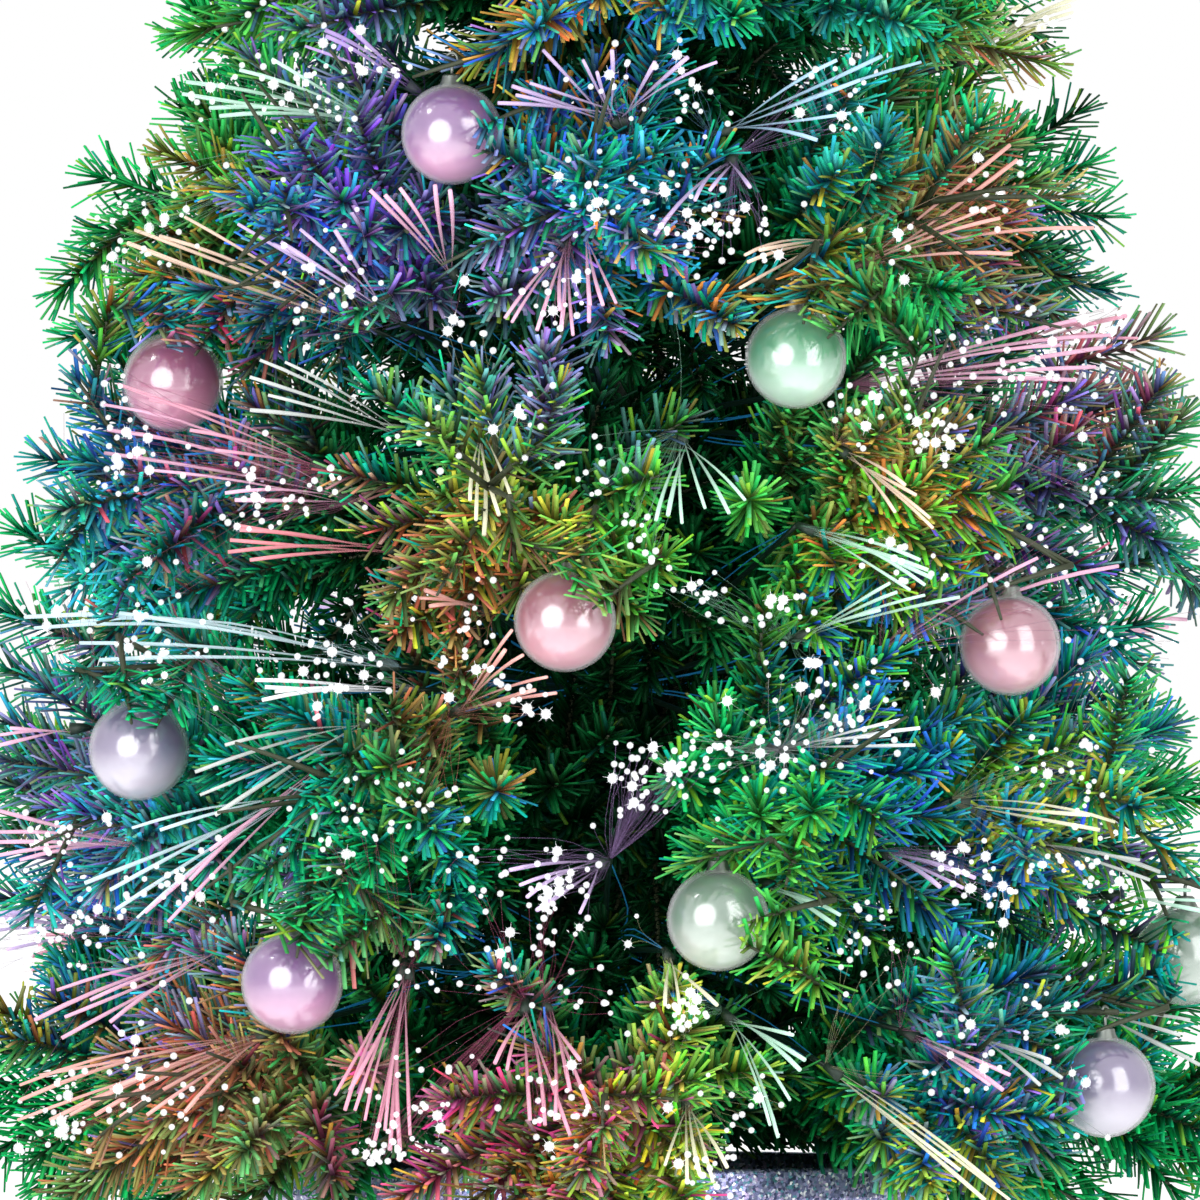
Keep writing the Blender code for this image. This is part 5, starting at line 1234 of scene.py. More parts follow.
def hanging_balls(radius):
    """Each ball's pivot, outward heading, colour, middle and the side that needles may cover."""
    pivots = {joint["name"]: joint["pos_m"] for joint in frame["joints"] if "pos_m" in joint}
    drop = radius - CAP_SINK + CAP_HEIGHT + HOOK_SHANK
    balls = []
    for index, look in enumerate(BALLS):
        pivot = np.array(pivots[f"bauble_{index + 1:02d}_swing"])
        outward = unit(pivot * (1.0, 1.0, 0.0))
        balls.append(Ball(pivot, outward, pivot - (0.0, 0.0, drop), radius, *look))
    return balls


def swept(points, balls, room):
    """True for each point in the space that a ball, its cap or its hook sweeps."""
    hit = np.zeros(points.shape[:-1], bool)
    swing = math.radians(BALL_SWING_DEG)
    for ball in balls:
        drop = ball.pivot[2] - ball.middle[2]
        aside = np.array((-ball.outward[1], ball.outward[0], 0.0))
        offset = points - ball.middle
        run = math.sin(swing) * drop
        slide = np.clip(offset @ aside, -run, run)
        lift = (drop - np.sqrt(drop**2 - slide**2))[..., None] * UP
        from_swung = offset - slide[..., None] * aside
        hit |= np.linalg.norm(from_swung, axis=-1) < ball.radius + room
        hit |= np.linalg.norm(from_swung - lift, axis=-1) < ball.radius + room
        below = ball.pivot[2] - points[..., 2]
        near = CAP_RADIUS + room
        beside = np.abs(offset @ aside) < near + math.tan(swing) * np.maximum(below, 0.0)
        ahead = np.abs(offset @ ball.outward) < near
        hit |= beside & ahead & (below > -near / 2) & (below < drop)
    return hit


def before_ball(points, balls):
    """True for each point in the clear air before a ball, needles on its covered side apart."""
    hit = np.zeros(points.shape[:-1], bool)
    for index, ball in enumerate(balls):
        offset = points - ball.middle
        if index >= BALLS_IN_FRONT:
            ahead = offset @ ball.outward
            side = np.linalg.norm(offset - ahead[..., None] * ball.outward, axis=-1)
            hit |= (ahead > 0) & (side < ball.radius * BACK_LANE)
            continue
        side = np.hypot(offset[..., 0], offset[..., 2])
        turn = np.degrees(np.arctan2(offset[..., 2], offset[..., 0])) - ball.cover_deg
        turn = np.abs((turn + 180) % 360 - 180)
        covered = ball.lane + LANE_FLARE * (turn / ball.half_deg) ** 2
        lane = np.where(turn < ball.half_deg, covered, BARE_LANE)
        hit |= (offset[..., 1] < 0) & (side < lane * ball.radius)
    return hit


def ball_lanes(points, balls, room):
    return swept(points, balls, room) | before_ball(points, balls)


def on_pot(points):
    """True for each point in the pot, its rim or its lid, or too low beside it."""
    reach = reach_of(points)
    z = points[..., 2]
    at_rim = (z < POT_TOP_Z + RIM_ROOM[1]) & (reach < POT_RIM_RADIUS + RIM_ROOM[0])
    return (z < HANG_Z) | at_rim


def trimmed(start, along, length, balls):
    """The length of a sprig that stays in the outline, off the pot and clear of the balls."""
    shares = np.linspace(0.0, 1.0, SPRIG_TRIALS)[1:]
    points = start + along * length * shares[:, None]
    reach = reach_of(points)
    slack = OUTLINE_SLACK + OUTLINE_MORE_SLACK * ramp(points[:, 2], *MORE_SLACK_Z)
    bad = reach > outline_radius(points[:, 2]) + slack
    bad |= on_pot(points + (0, 0, -SPRIG_ROOM))
    bad |= ball_lanes(points, balls, SPRIG_ROOM)
    stop = np.argmax(bad) if bad.any() else len(shares)
    return length * (shares[stop - 1] if stop else 0.0)


def sprouted(start, along, longest, shade, balls):
    """The sprig that has room there, in a list that is empty if none has."""
    room = trimmed(start, along, longest, balls)
    return [Sprig(start, along, room, shade)] if room > LEAST_SPRIG else []


def whorl_reach(index):
    """How far a whorl's branches reach before they meet the outline."""
    rise = math.tan(math.radians(WHORL_RISE_DEG[index]))
    reach = FOLIAGE_RADIUS
    for _ in range(OUTLINE_ROUNDS):
        tip_z = FIRST_WHORL_Z + WHORL_PITCH * index + rise * reach
        reach = (reach + float(outline_radius(tip_z))) / 2
    return max(reach, TOP_WHORL_REACH)


def level_place(level):
    """The height of the collar that feeds a level's fans, and the slope of the air they lie in."""
    z = FIRST_WHORL_Z + WHORL_PITCH * (level + 0.5)
    rises = (math.tan(math.radians(WHORL_RISE_DEG[level + k])) for k in (0, 1))
    return z, sum(rises) / 2


def level_of(root):
    """Which fan collar a fan is fed from."""
    run = math.hypot(root[0], root[1])
    off = [abs(z + rise * run - root[2]) for z, rise in map(level_place, range(len(FANS_ON_LEVEL)))]
    return int(np.argmin(off))


def whorl_sprigs(index, turns, shortenings, balls, draw):
    """The sprigs of one whorl: each main branch, the twigs on it and its short inner twigs, darkened as
    painted shade.
    """
    reach = whorl_reach(index)
    rise = math.radians(WHORL_RISE_DEG[index])
    foot_z = FIRST_WHORL_Z + WHORL_PITCH * index
    sprigs = []
    for turn, shortening in zip(turns, shortenings):
        main = heading(turn, rise)
        start = heading(turn, 0.0) * STEM_ROOT_REACH + np.array((0, 0, foot_z))
        length = (reach * (1 - shortening) - STEM_ROOT_REACH) / math.cos(rise)
        whole = trimmed(start, main, length, balls)
        sprigs.append(Sprig(start, main, whole, 1.0))
        low_front = index == 0 and math.sin(turn) < STRAIGHT_AHEAD
        for share, yaw, pitch, longest, shade in TWIGS + (DROOPS if low_front else ()):
            spot = start + main * length * share
            jitter = [
                math.radians(draw.uniform(-TWIG_JITTER_DEG, TWIG_JITTER_DEG)) for _ in range(2)
            ]
            steep = 1.0 + STEEPER_SHARE * index / len(WHORL_BRANCHES) * (pitch > 0)
            along = heading(
                turn + math.radians(yaw) + jitter[0],
                rise + math.radians(pitch) * steep + jitter[1],
            )
            scale = draw.uniform(*TWIG_LENGTH_SHARES)
            limit = max(longest, (longest / LONG_TWIG) * LONG_TWIG_SHARE * reach) * scale
            longest = min(limit, longest * scale)
            sprigs += sprouted(spot, along, longest, shade, balls)
        for kind in LOOSE_TWIGS:
            for _ in range(kind.count):
                spot = start + main * length * draw.uniform(*kind.along)
                yaw = math.radians(draw.uniform(-kind.turn_deg, kind.turn_deg))
                pitch = math.radians(draw.uniform(-kind.rise_deg, kind.rise_deg))
                along = heading(turn + yaw, rise + pitch)
                longest = (kind.least + kind.share * reach) * draw.uniform(*LOOSE_LENGTH_SHARES)
                sprigs += sprouted(spot, along, longest, kind.shade, balls)
    return sprigs


def cover_sprigs(balls, whorls):
    """Small twigs that lean over each front ball's covered side and before its cap."""
    found = []
    for index, ball in enumerate(balls):
        spans = []
        if index < BALLS_IN_FRONT:
            swerves = COVER_SWERVES_DEG if ball.half_deg < 90 else WIDE_COVER_SWERVES_DEG
            for swerve in swerves:
                turn = math.radians(ball.cover_deg + swerve)
                side = np.array((math.cos(turn), 0.0, math.sin(turn)))
                (run, back), (close, ahead) = COVER_START_SHARES, COVER_END_SHARES
                start = ball.middle + side * ball.radius * run + (0.0, back * ball.radius, 0.0)
                end = ball.middle + side * ball.radius * close + (0.0, ahead * ball.radius, 0.0)
                spans.append((start, end))
        front = unit(ball.outward + (0.0, -1.0, 0.0)) if index < BALLS_IN_FRONT else ball.outward
        aside = np.array((-front[1], front[0], 0.0)) * (1 if index % 2 else -1)
        ahead, beside, above = CAP_TWIG_START
        start = ball.pivot + front * ahead - aside * beside + above * UP
        ahead, beside, below = CAP_TWIG_END
        spans.append((start, ball.pivot + front * ahead + aside * beside - below * UP))
        for start, end in spans:
            whorl, spot = nearest_spot(start, whorls, balls)
            length = np.linalg.norm(end - start)
            found.append((whorl, spot, Sprig(start, (end - start) / length, length, COVER_PAINTED_SHADE)))
    return found


def side_sprigs(balls, whorls):
    """The brushes at the picture's sides, each on a wire from the nearest twig."""
    found = []
    for brush in SIDE_BRUSHES:
        ends = np.full((2, 3), SIDE_BRUSH_Y)
        ends[:, 0] = (np.array(brush[::2]) - PICTURE_AXIS_X) * PICTURE_SCALE
        ends[:, 2] = EYE_Z - (np.array(brush[1::2]) - PICTURE_EYE_Y) * PICTURE_SCALE
        way = unit(ends[1] - ends[0])
        room = trimmed(ends[0], way, np.linalg.norm(ends[1] - ends[0]), balls)
        if room > LEAST_SPRIG:
            whorl, spot = nearest_spot(ends[0], whorls, balls)
            found.append((whorl, spot, Sprig(ends[0], way, room, 1.0)))
    return found


def nearest_spot(place, whorls, balls, drop=0.0):
    """The nearest spot on a twig from which a straight wire clears the balls, after its whorl."""
    found = []
    for index, sprigs in enumerate(whorls):
        for sprig in sprigs:
            if sprig.shade == INNER_PAINTED_SHADE:
                continue
            for share in SPOT_SHARES:
                spot = sprig.start + sprig.heading * sprig.length * share
                cost = np.linalg.norm(spot - place) + max(0.0, place[2] - spot[2]) * drop
                found.append((cost, index, spot))
    found.sort(key=lambda entry: entry[0])
    shares = shares_of(WIRE_TRIALS)
    for _, index, spot in found[:SPOT_TRIALS]:
        wire = place + (spot - place) * shares
        over = any(
            (
                (wire[:, 1] < ball.middle[1])
                & (np.hypot(*(wire - ball.middle)[:, ::2].T) < ball.radius)
            ).any()
            for ball in balls[:BALLS_IN_FRONT]
        )
        if not over and not swept(wire, balls, WIRE_ROOM).any():
            return index, spot
    return found[0][1:]


def all_sprigs(balls):
    """Every whorl's sprigs, the branches turned and shortened as in the solids."""
    solids_draw = random.Random(11)
    draw = random.Random(5)
    found = []
    for index, count in enumerate(WHORL_BRANCHES):
        pitch = math.tau / count
        wobble = [solids_draw.uniform(-1.0, 1.0) * BRANCH_WOBBLE_SHARE for _ in range(count)]
        shortening = [solids_draw.uniform(0.0, BRANCH_SHORTENING_SHARE) for _ in range(count)]
        if index == 0:
            wobble = [0.0] * count
            shortening = [0.0] * count
        base = math.radians(WHORL_TURN_DEG) * index
        turns = [base + pitch * (k + wobble[k]) for k in range(count)]
        found.append(whorl_sprigs(index, turns, shortening, balls, draw))
    return found


def leader_sprigs():
    """The top brush and the four that stand round it."""
    top = Sprig(UP * (TRUNK_TOP_Z + FIT_GAP), UP, TREE_TOP_Z - TRUNK_TOP_Z - LEADER_SHORT, 1.0)
    turns = [math.tau * (k + 0.5) / 4 for k in range(4)]
    ways = [heading(turn, math.radians(LEADER_RISE_DEG)) for turn in turns]
    return [top, *(Sprig(UP * LEADER_SIDES_Z, way, LEADER_SIDE, 1.0) for way in ways)]


# Coloured light on the needles


def glow_sources(fans):
    """Places, reaches, colours and strengths of the light that falls on the needles."""
    sources = []
    for glow, (px, py), reach, strength in FRONT_GLOWS:
        place = picture_point(px, py, GLOW_DEPTH_SHARE)
        sources.append((place, reach * PICTURE_SCALE, linear(GLOWS[glow]), strength))
    for fan in fans:
        place = fan.tips.mean(axis=0) * FAN_GLOW_SHARES
        colour = linear(GLOWS[GLOW_OF_FAN[fan.light]])
        sources.append((place, FAN_GLOW_REACH, colour, FAN_GLOW_STRENGTH))
    return [np.array(column) for column in zip(*sources)]


def lit(points, sources, draw):
    """How much of the fans' light lies on each point, and the colour of one light near it."""
    places, reaches, colours, strengths = sources
    apart = np.sum(points**2, axis=1)[:, None] + np.sum(places**2, axis=1) - 2 * points @ places.T
    near = np.exp(-apart / reaches**2) * strengths
    total = near.sum(axis=1)
    picked = (np.cumsum(near, axis=1) < (draw.random(len(points)) * total)[:, None]).sum(axis=1)
    return 1 - np.exp(-GLOW_FILL * total), colours[np.minimum(picked, len(colours) - 1)]


def seen_at(points):
    """Where points show in the picture, as lengths across and up from the eye's line."""
    near = 1 + points[..., 1] / EYE_AWAY
    return points[..., 0] / near, (points[..., 2] - EYE_Z) / near


def lane_cells(points):
    across, up = seen_at(points)
    cells = [np.floor((along + LANE_HALF) / LANE_CELL).astype(int) for along in (across, up)]
    return [np.clip(cell, 1, LANE_COUNT - 2) for cell in cells]


def front_lanes(fans, spots):
    """For each cell of the picture, how far forward needles may come so that the fans show."""
    limit = np.full((LANE_COUNT, LANE_COUNT), -np.inf)
    shares = shares_of(LANE_TRIALS, LANE_FROM_SHARE)
    for fan, found in list(zip(fans, spots))[: len(FRONT_FANS)]:
        strands = [fan.root + (tip - fan.root) * shares for tip in fan.tips]
        points = np.concatenate([*strands, found])
        across, up = lane_cells(points)
        for aside in (-1, 0, 1):
            for above in (-1, 0, 1):
                np.maximum.at(limit, (across + aside, up + above), points[:, 1])
    return limit


def fibre_plan(settings, balls):
    """The fans and the light points of each, the same for the needles as for the fibres."""
    fans = front_fans() + round_fans(balls, np.random.default_rng(17))
    return fans, point_places(fans, settings, balls, np.random.default_rng(23))


def needles(sprigs, settings, balls, light, draw):
    """Foot, tip, width and colours of every needle on the sprigs."""
    feet, tips, inner = [], [], []
    for sprig in sprigs:
        dense = settings.needles_per_metre * (0.5 + 0.5 * sprig.shade)
        count = max(LEAST_NEEDLES, int(sprig.length * dense))
        share = (np.arange(count) + draw.random(count)) / count
        angle = np.arange(count) * NEEDLE_TURN + draw.uniform(0, 0.9, count)
        along = sprig.heading
        helper = UP if abs(along[2]) < 0.9 else np.array((1.0, 0.0, 0.0))
        across = unit(np.cross(along, helper))
        over = np.cross(along, across)
        near_tip = ramp(share, *TIP_ZONE)
        closed = TIP_SWEEP_CUT * near_tip * draw.uniform(0.4, 1.0, count)
        sweep = settings.needle_sweep * (1 - closed) + draw.normal(0, SWEEP_SPREAD, count)
        foot = sprig.start + along * (sprig.length * share)[:, None]
        foot[:, 2] -= STEM_SAG * sprig.length * share**2
        round_it = np.cos(angle)[:, None] * across + np.sin(angle)[:, None] * over
        direction = np.cos(sweep)[:, None] * along + np.sin(sweep)[:, None] * round_it
        size = settings.needle_length * draw.uniform(*NEEDLE_LENGTH_SHARES, count)
        size *= FOOT_LENGTH_SHARE + (1 - FOOT_LENGTH_SHARE) * ramp(share, *FOOT_ZONE)
        size *= 1 - TIP_LENGTH_CUT * near_tip
        feet.append(foot)
        tips.append(foot + direction * size[:, None])
        inner.append(np.full(count, sprig.shade))
    grown = (np.concatenate(feet), np.concatenate(tips), np.concatenate(inner))
    return coloured(*grown, settings, balls, light, draw)


def coloured(feet, tips, shade, settings, balls, light, draw):
    """The needles that clear the balls, fans and pot, with their colours at foot and tip, painted shade
    and painted light in them.
    """
    sources, limit = light
    middles = (feet + tips) / 2
    bad = on_pot(tips) | on_pot(middles)
    for part in (feet, (feet + middles) / 2, middles, (middles + tips) / 2, tips):
        bad |= ball_lanes(part, balls, NEEDLE_ROOM)
        in_lane = part[:, 1] < limit[tuple(lane_cells(part))]
        bad |= in_lane & (draw.random(len(part)) > LANE_SHOWS)
    bad |= reach_of(tips) > MOST_REACH
    keep = ~bad
    feet, tips, shade = feet[keep], tips[keep], shade[keep]
    count = len(feet)
    greens = np.array((settings.needle_green, *OTHER_GREENS))
    pick = draw.choice(len(greens), count, p=GREEN_SHARES)
    tint = greens[pick] * draw.uniform(*TINT_SHARES, count)[:, None]
    # Painted shade: darker deeper inside the outline and at each needle's foot, lighter at the very top
    outline = np.maximum(outline_radius(tips[:, 2]), LEAST_OUTLINE)
    reach = reach_of(tips) / outline
    depth = DARKEST_PAINTED_SHADE + PAINTED_SHADE_GAIN * ramp(reach, *PAINTED_SHADE_ZONE)
    depth = np.maximum(depth, ramp(tips[:, 2], *UNSHADED_TOP_Z)) * shade
    # Painted light: the fans' coloured light, mixed into the colour and given as glow
    amount, glow = lit(tips, sources, draw)
    amount = amount * draw.uniform(*GLOW_SHARES, count)
    glow = glow * draw.uniform(*GLOW_HUE_SHARES, (count, 3))
    glow = glow * draw.uniform(*GLOW_GAIN_SHARES, count)[:, None]
    tint = tint * (1 - amount[:, None]) + glow * amount[:, None]
    shaded_tip_tint = tint * depth[:, None]
    shaded_foot_tint = tint * (FOOT_PAINTED_SHADE_SHARE * depth)[:, None]
    # Painted light: a glow of each needle's own colour
    painted_own_glow = tint * (PAINTED_OWN_GLOW_SHARE * depth)[:, None]
    tip_glow = painted_own_glow + glow * (amount * depth * TIP_GLOW_SHARE)[:, None]
    foot_glow = glow * (amount * depth * FOOT_GLOW_SHARE)[:, None]
    return feet, tips, np.stack([shaded_foot_tint, shaded_tip_tint], 1), np.stack([foot_glow, tip_glow], 1)


def needle_piece(name, made, width, paint):
    feet, tips, tints, glows = made
    lines = np.stack([feet, tips], axis=1)
    radii = np.tile(np.array(NEEDLE_RADII_SHARES) * width * THICKER, (len(feet), 1))
    shape = tubes(lines, radii, NEEDLE_SIDES, flat=NEEDLE_FLATNESS)
    colours = {"tint": spread(tints, NEEDLE_SIDES), "glow": spread(glows, NEEDLE_SIDES)}
    return mesh_piece(name, shape, paint, colours=colours)


def stem_piece(name, sprigs, balls, paint, extra=()):
    """The wire stem of each sprig, cut short before a ball's front, and any bare twigs."""
    lines = []
    for sprig in sprigs:
        steps = np.linspace(0.0, 1.0, SPRIG_TRIALS)
        path = sprig.start + sprig.heading * sprig.length * steps[:, None]
        over = before_ball(path, balls)
        end = steps[max(2, int(np.argmax(over)) - 1)] if over.any() else 1.0
        shares = np.linspace(0.0, end, len(STEM_RADII))
        line = sprig.start + sprig.heading * sprig.length * STEM_LENGTH_SHARE * shares[:, None]
        line[:, 2] -= STEM_SAG * sprig.length * shares**2
        lines.append(line)
    radii = np.tile(STEM_RADII, (len(lines), 1))
    parts = [tubes(lines, radii, 5)]
    for line, thick in extra:
        parts.append(tubes(line[None], np.full((1, len(line)), thick), 8))
    return mesh_piece(name, joined(parts), paint, smooth=True)


def smooth_line(points, count):
    """A soft curve through a few points."""
    points = np.asarray(points, float)
    padded = np.concatenate([[2 * points[0] - points[1]], points, [2 * points[-1] - points[-2]]])
    where = np.linspace(0, len(points) - 1, count)
    span = np.minimum(where.astype(int), len(points) - 2)
    t = (where - span)[:, None]
    a, b, c, d = (padded[span + k] for k in range(4))
    curve = 2 * b + (c - a) * t + (2 * a - 5 * b + 4 * c - d) * t**2
    return 0.5 * (curve + (3 * b - a - 3 * c + d) * t**3)


def ball_twigs(balls, whorls):
    """A twig from the nearest branch to each ball's hook, ending bare, level and outward."""
    twigs = [[] for _ in whorls]
    for ball in balls:
        elbow = ball.pivot - ball.outward * TWIG_RUN
        index, spot = nearest_spot(elbow, whorls, balls, drop=1.0)
        end = ball.pivot + ball.outward * TWIG_END
        length = np.linalg.norm(elbow - spot)
        if length > LEAST_SPRIG:
            # A light painted shade on this twig's needles
            whorls[index].append(Sprig(spot, (elbow - spot) / length, length, 0.9))
        bend = smooth_line([spot, (spot + elbow) / 2 + UP * TWIG_ARCH, elbow], 8)
        twigs[index].append((np.concatenate([bend, [(elbow + end) / 2, end]]), TWIG_RADIUS))
    return twigs


def trunk_sprigs(balls):
    """Short twigs all the way up the trunk, between the whorls, darkened as painted shade."""
    draw = random.Random(41)
    sprigs = []
    for k in range(TRUNK_TWIGS):
        low, high = TRUNK_TWIGS_Z
        z = low + (high - low) * (k + draw.random()) / TRUNK_TWIGS
        turn = draw.uniform(0, math.tau)
        along = heading(turn, math.radians(draw.uniform(*TRUNK_TWIG_RISE_DEG)))
        start = heading(turn, 0.0) * TRUNK_RADIUS + np.array((0, 0, z))
        least, share = TRUNK_TWIG_LENGTHS
        longest = (least + share * float(outline_radius(z))) * draw.uniform(0.45, 1.0)
        sprigs += sprouted(start, along, longest, TRUNK_PAINTED_SHADE, balls)
    return sprigs


# Fibres


def front_fans():
    """The fans that show in the picture, their roots deeper in the tree than their tips."""
    fans = []
    for light, root, tips in FRONT_FANS:
        place = picture_point(*root, FAN_ROOT_SHARE)
        ends = picture_point([t[0] for t in tips], [t[1] for t in tips], FAN_TIP_SHARE)
        fans.append(Fan(light, place, ends, np.array((0.0, -1.0, 0.0))))
    return fans


def round_fans(balls, draw):
    """Fans for the back, the sides and the top: those of the solids, and one between each two."""
    lights = ("mint", "pink", "pale", "rose", "lilac", "cream", "sky", "salmon", "white", "violet")
    fans = []
    for level, count in enumerate(FANS_ON_LEVEL):
        foot_z, slope = level_place(level)
        reach = (whorl_reach(level) + whorl_reach(level + 1)) / 2
        rise = math.atan(slope)
        length = min(FAN_MOST_LENGTH, max(FAN_LEAST_LENGTH, reach * FAN_LENGTH_SHARE))
        for k in range(2 * count):
            turn = math.tau * (k + 1.0) / (2 * count) + math.radians(FAN_TURN_DEG) * level
            if level < LEVELS_IN_PICTURE and math.sin(turn) < 0:
                continue
            lean = math.radians(FAN_LEANS_DEG[(k // 2 + level) % len(FAN_LEANS_DEG)])
            tilt = 0.0
            if k % 2:
                lean, tilt = -lean, math.radians(draw.uniform(-FAN_TILT_DEG, FAN_TILT_DEG))
            root = heading(turn, 0.0) * reach * FAN_ROOT_SHARE
            root[2] = foot_z + slope * reach * FAN_ROOT_SHARE
            aside = heading(turn + math.pi / 2, 0.0)
            ahead = heading(turn + lean, rise + tilt) * KNOT_LENGTH
            for shift in KNOT_SHIFTS:
                knot = root + aside * shift + ahead * np.array([[0.0], [0.5], [1.0]])
                if not swept(knot, balls, KNOT_RADIUS + KNOT_ROOM).any():
                    break
            root = root + aside * shift
            sides_deg = np.linspace(-FAN_SPREAD_DEG, FAN_SPREAD_DEG, FAN_TIPS)
            sides_deg = sides_deg + draw.uniform(-2, 2, FAN_TIPS)
            tips = []
            for side in sides_deg:
                pitch = rise + tilt + draw.uniform(-TIP_PITCH, TIP_PITCH)
                way = heading(turn + lean + math.radians(side), pitch)
                tip = root + way * length * draw.uniform(*STRAND_LENGTH_SHARES)
                want = float(outline_radius(tip[2])) * draw.uniform(*TIP_REACH_SHARES)
                tip[:2] *= max(1.0, want / math.hypot(tip[0], tip[1]))
                tips.append(tip)
            light = lights[(level * 3 + k) % len(lights)]
            fans.append(Fan(light, root, np.array(tips), heading(turn, 0.0)))
    return fans


def filled(line):
    """The line's points, with three more on each of its runs."""
    shares = np.linspace(0.0, 1.0, 5)[:-1, None, None]
    between = line[:-1] + (line[1:] - line[:-1]) * shares
    return np.concatenate([between.reshape(-1, 3), line[-1:]])


def bowed_clear(line, way, balls, room, reach=0.62):
    """The line bowed outward as far as it must be to clear the balls, or None if it can't be."""
    rise = np.sin(np.linspace(0.0, 1.0, len(line)) * math.pi * reach)[:, None]
    for push in BOWS:
        bowed = line + rise * push * way
        if not swept(filled(bowed), balls, room).any():
            return bowed
    return None


def strand_lines(fan, balls, draw):
    """Each lit strand as a line that bows a little on its way from the knot to its tip."""
    lines = []
    shares = shares_of(STRAND_RINGS)
    knot_end = fan.root + unit(fan.tips.mean(axis=0) - fan.root) * KNOT_LENGTH
    for tip in fan.tips:
        root = knot_end + draw.uniform(-STRAND_JITTER, STRAND_JITTER, 3)
        span = tip - root
        size = np.linalg.norm(span)
        bow = UP * size * draw.uniform(*BOW_UP_SHARES)
        bow += unit(np.cross(span, UP)) * size * draw.uniform(-BOW_ASIDE_SHARE, BOW_ASIDE_SHARE)
        line = root + span * shares + bow * (4 * shares * (1 - shares))
        line = bowed_clear(line, fan.way, balls, STRAND_ROOM)
        if line is not None:
            lines.append(line)
    return lines


def point_places(fans, settings, balls, draw):
    """The light points of each fan: the picture's clusters in front, loose ones elsewhere."""
    places = [[] for _ in fans]
    roots = np.array([fan.root for fan in fans])
    front = len(FRONT_FANS)
    for (px, py), reach, points in LIGHT_CLUSTERS:
        count = round(points * POINTS_MORE)
        spots = draw.normal((px, py), reach * CLUSTER_SPREAD_SHARE, (count, 2))
        depths = draw.uniform(*CLUSTER_DEPTH_SHARES, count)
        found = picture_point(spots[:, 0], spots[:, 1], depths)
        for spot in found:
            nearest = int(np.argmin(np.linalg.norm(roots[:front] - spot, axis=1)))
            places[nearest].append(spot)
    for index, fan in enumerate(fans):
        if index >= front:
            places[index].extend(light_points(fan, settings.points_on_fan, draw))
    clear = []
    for found in places:
        found = np.array(found).reshape(-1, 3)
        bad = ball_lanes(found, balls, POINT_ROOM) | on_pot(found - UP * POINT_DROP)
        clear.append(found[~bad])
    return clear


def light_points(fan, count, draw):
    """Places of the light points round a fan, most of them near its outer half."""
    picks = draw.integers(0, len(fan.tips), count)
    shares = np.clip(draw.normal(*POINT_SHARE_SPREAD, count), *POINT_SHARE_ENDS)[:, None]
    places = fan.root + (fan.tips[picks] - fan.root) * shares
    places += draw.normal(0, POINT_SPREAD, (count, 3))
    reach = reach_of(places)
    want = outline_radius(places[:, 2]) * draw.uniform(*POINT_DEPTH_SHARES, count)
    places[:, :2] *= np.clip(want / np.maximum(reach, 1e-6), *POINT_SHIFT_SHARES)[:, None]
    return places


def painted_glint_rays(places, radii, draw):
    """Painted glint rays round the brighter light points, flat to the tree's surface."""
    lines, widths = [], []
    for place, radius in zip(places, radii):
        out = unit(np.array((place[0], place[1], 0.0)))
        aside = np.array((-out[1], out[0], 0.0))
        start = draw.uniform(0, math.tau)
        for k in range(RAYS):
            turn = start + math.tau * k / RAYS
            way = aside * math.cos(turn) + UP * math.sin(turn)
            size = radius * RAY_LENGTH_SHARES[k % 2]
            lines.append(np.stack([place, place + way * size]))
            widths.append([radius * share for share in RAY_WIDTH_SHARES])
    return tubes(lines, widths, 3)


# Operators


class FIBRETREE_OT_foliage(bpy.types.Operator):
    """Grow the needles, wire stems and ball twigs"""

    bl_idname = "fibretree.foliage"
    bl_label = "Foliage"

    def execute(self, context):
        settings = context.scene.fibre_tree_foliage
        balls = hanging_balls(context.scene.fibre_tree_balls.radius)
        whorls = all_sprigs(balls)
        wires = ball_twigs(balls, whorls)
        added = cover_sprigs(balls, whorls)
        added += side_sprigs(balls, whorls)
        for index, spot, sprig in added:
            whorls[index].append(sprig)
            wires[index].append((np.linspace(spot, sprig.start, 4), COVER_WIRE_RADIUS))
            length = np.linalg.norm(sprig.start - spot)
            if length > LEAST_SPRIG:
                way = (sprig.start - spot) / length
                # A light painted shade on the needles along the wire
                whorls[index].append(Sprig(spot, way, length, 0.8))
        draw = np.random.default_rng(3)
        fans, spots = fibre_plan(context.scene.fibre_tree_fibres, balls)
        light = (glow_sources(fans), front_lanes(fans, spots))
        film = needle_paint()
        wire = plain_paint("twisted_wire", settings.wire_brown, 0.6, mottle=0.8, scale=300.0)
        for index, sprigs in enumerate(whorls):
            made = needles(sprigs, settings, balls, light, draw)
            piece = needle_piece(f"needles_{index + 1}", made, settings.needle_width, film)
            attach(piece, "tree")
            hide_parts(f"foliage_{index + 1}")
            stems = stem_piece(f"stems_{index + 1}", sprigs, balls, wire, wires[index])
            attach(stems, "tree")
        sprigs = trunk_sprigs(balls)
        made = needles(sprigs, settings, balls, light, draw)
        piece = needle_piece("trunk_needles", made, settings.needle_width, film)
        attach(piece, "tree")
        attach(stem_piece("trunk_twigs", sprigs, balls, wire), "tree")
        top = leader_sprigs()
        made = needles(top, settings, balls, light, draw)
        piece = needle_piece("needles_top", made, settings.needle_width, film)
        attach(piece, "tree")
        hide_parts("leader")
        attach(stem_piece("stems_top", top, balls, wire), "tree")
        return {"FINISHED"}


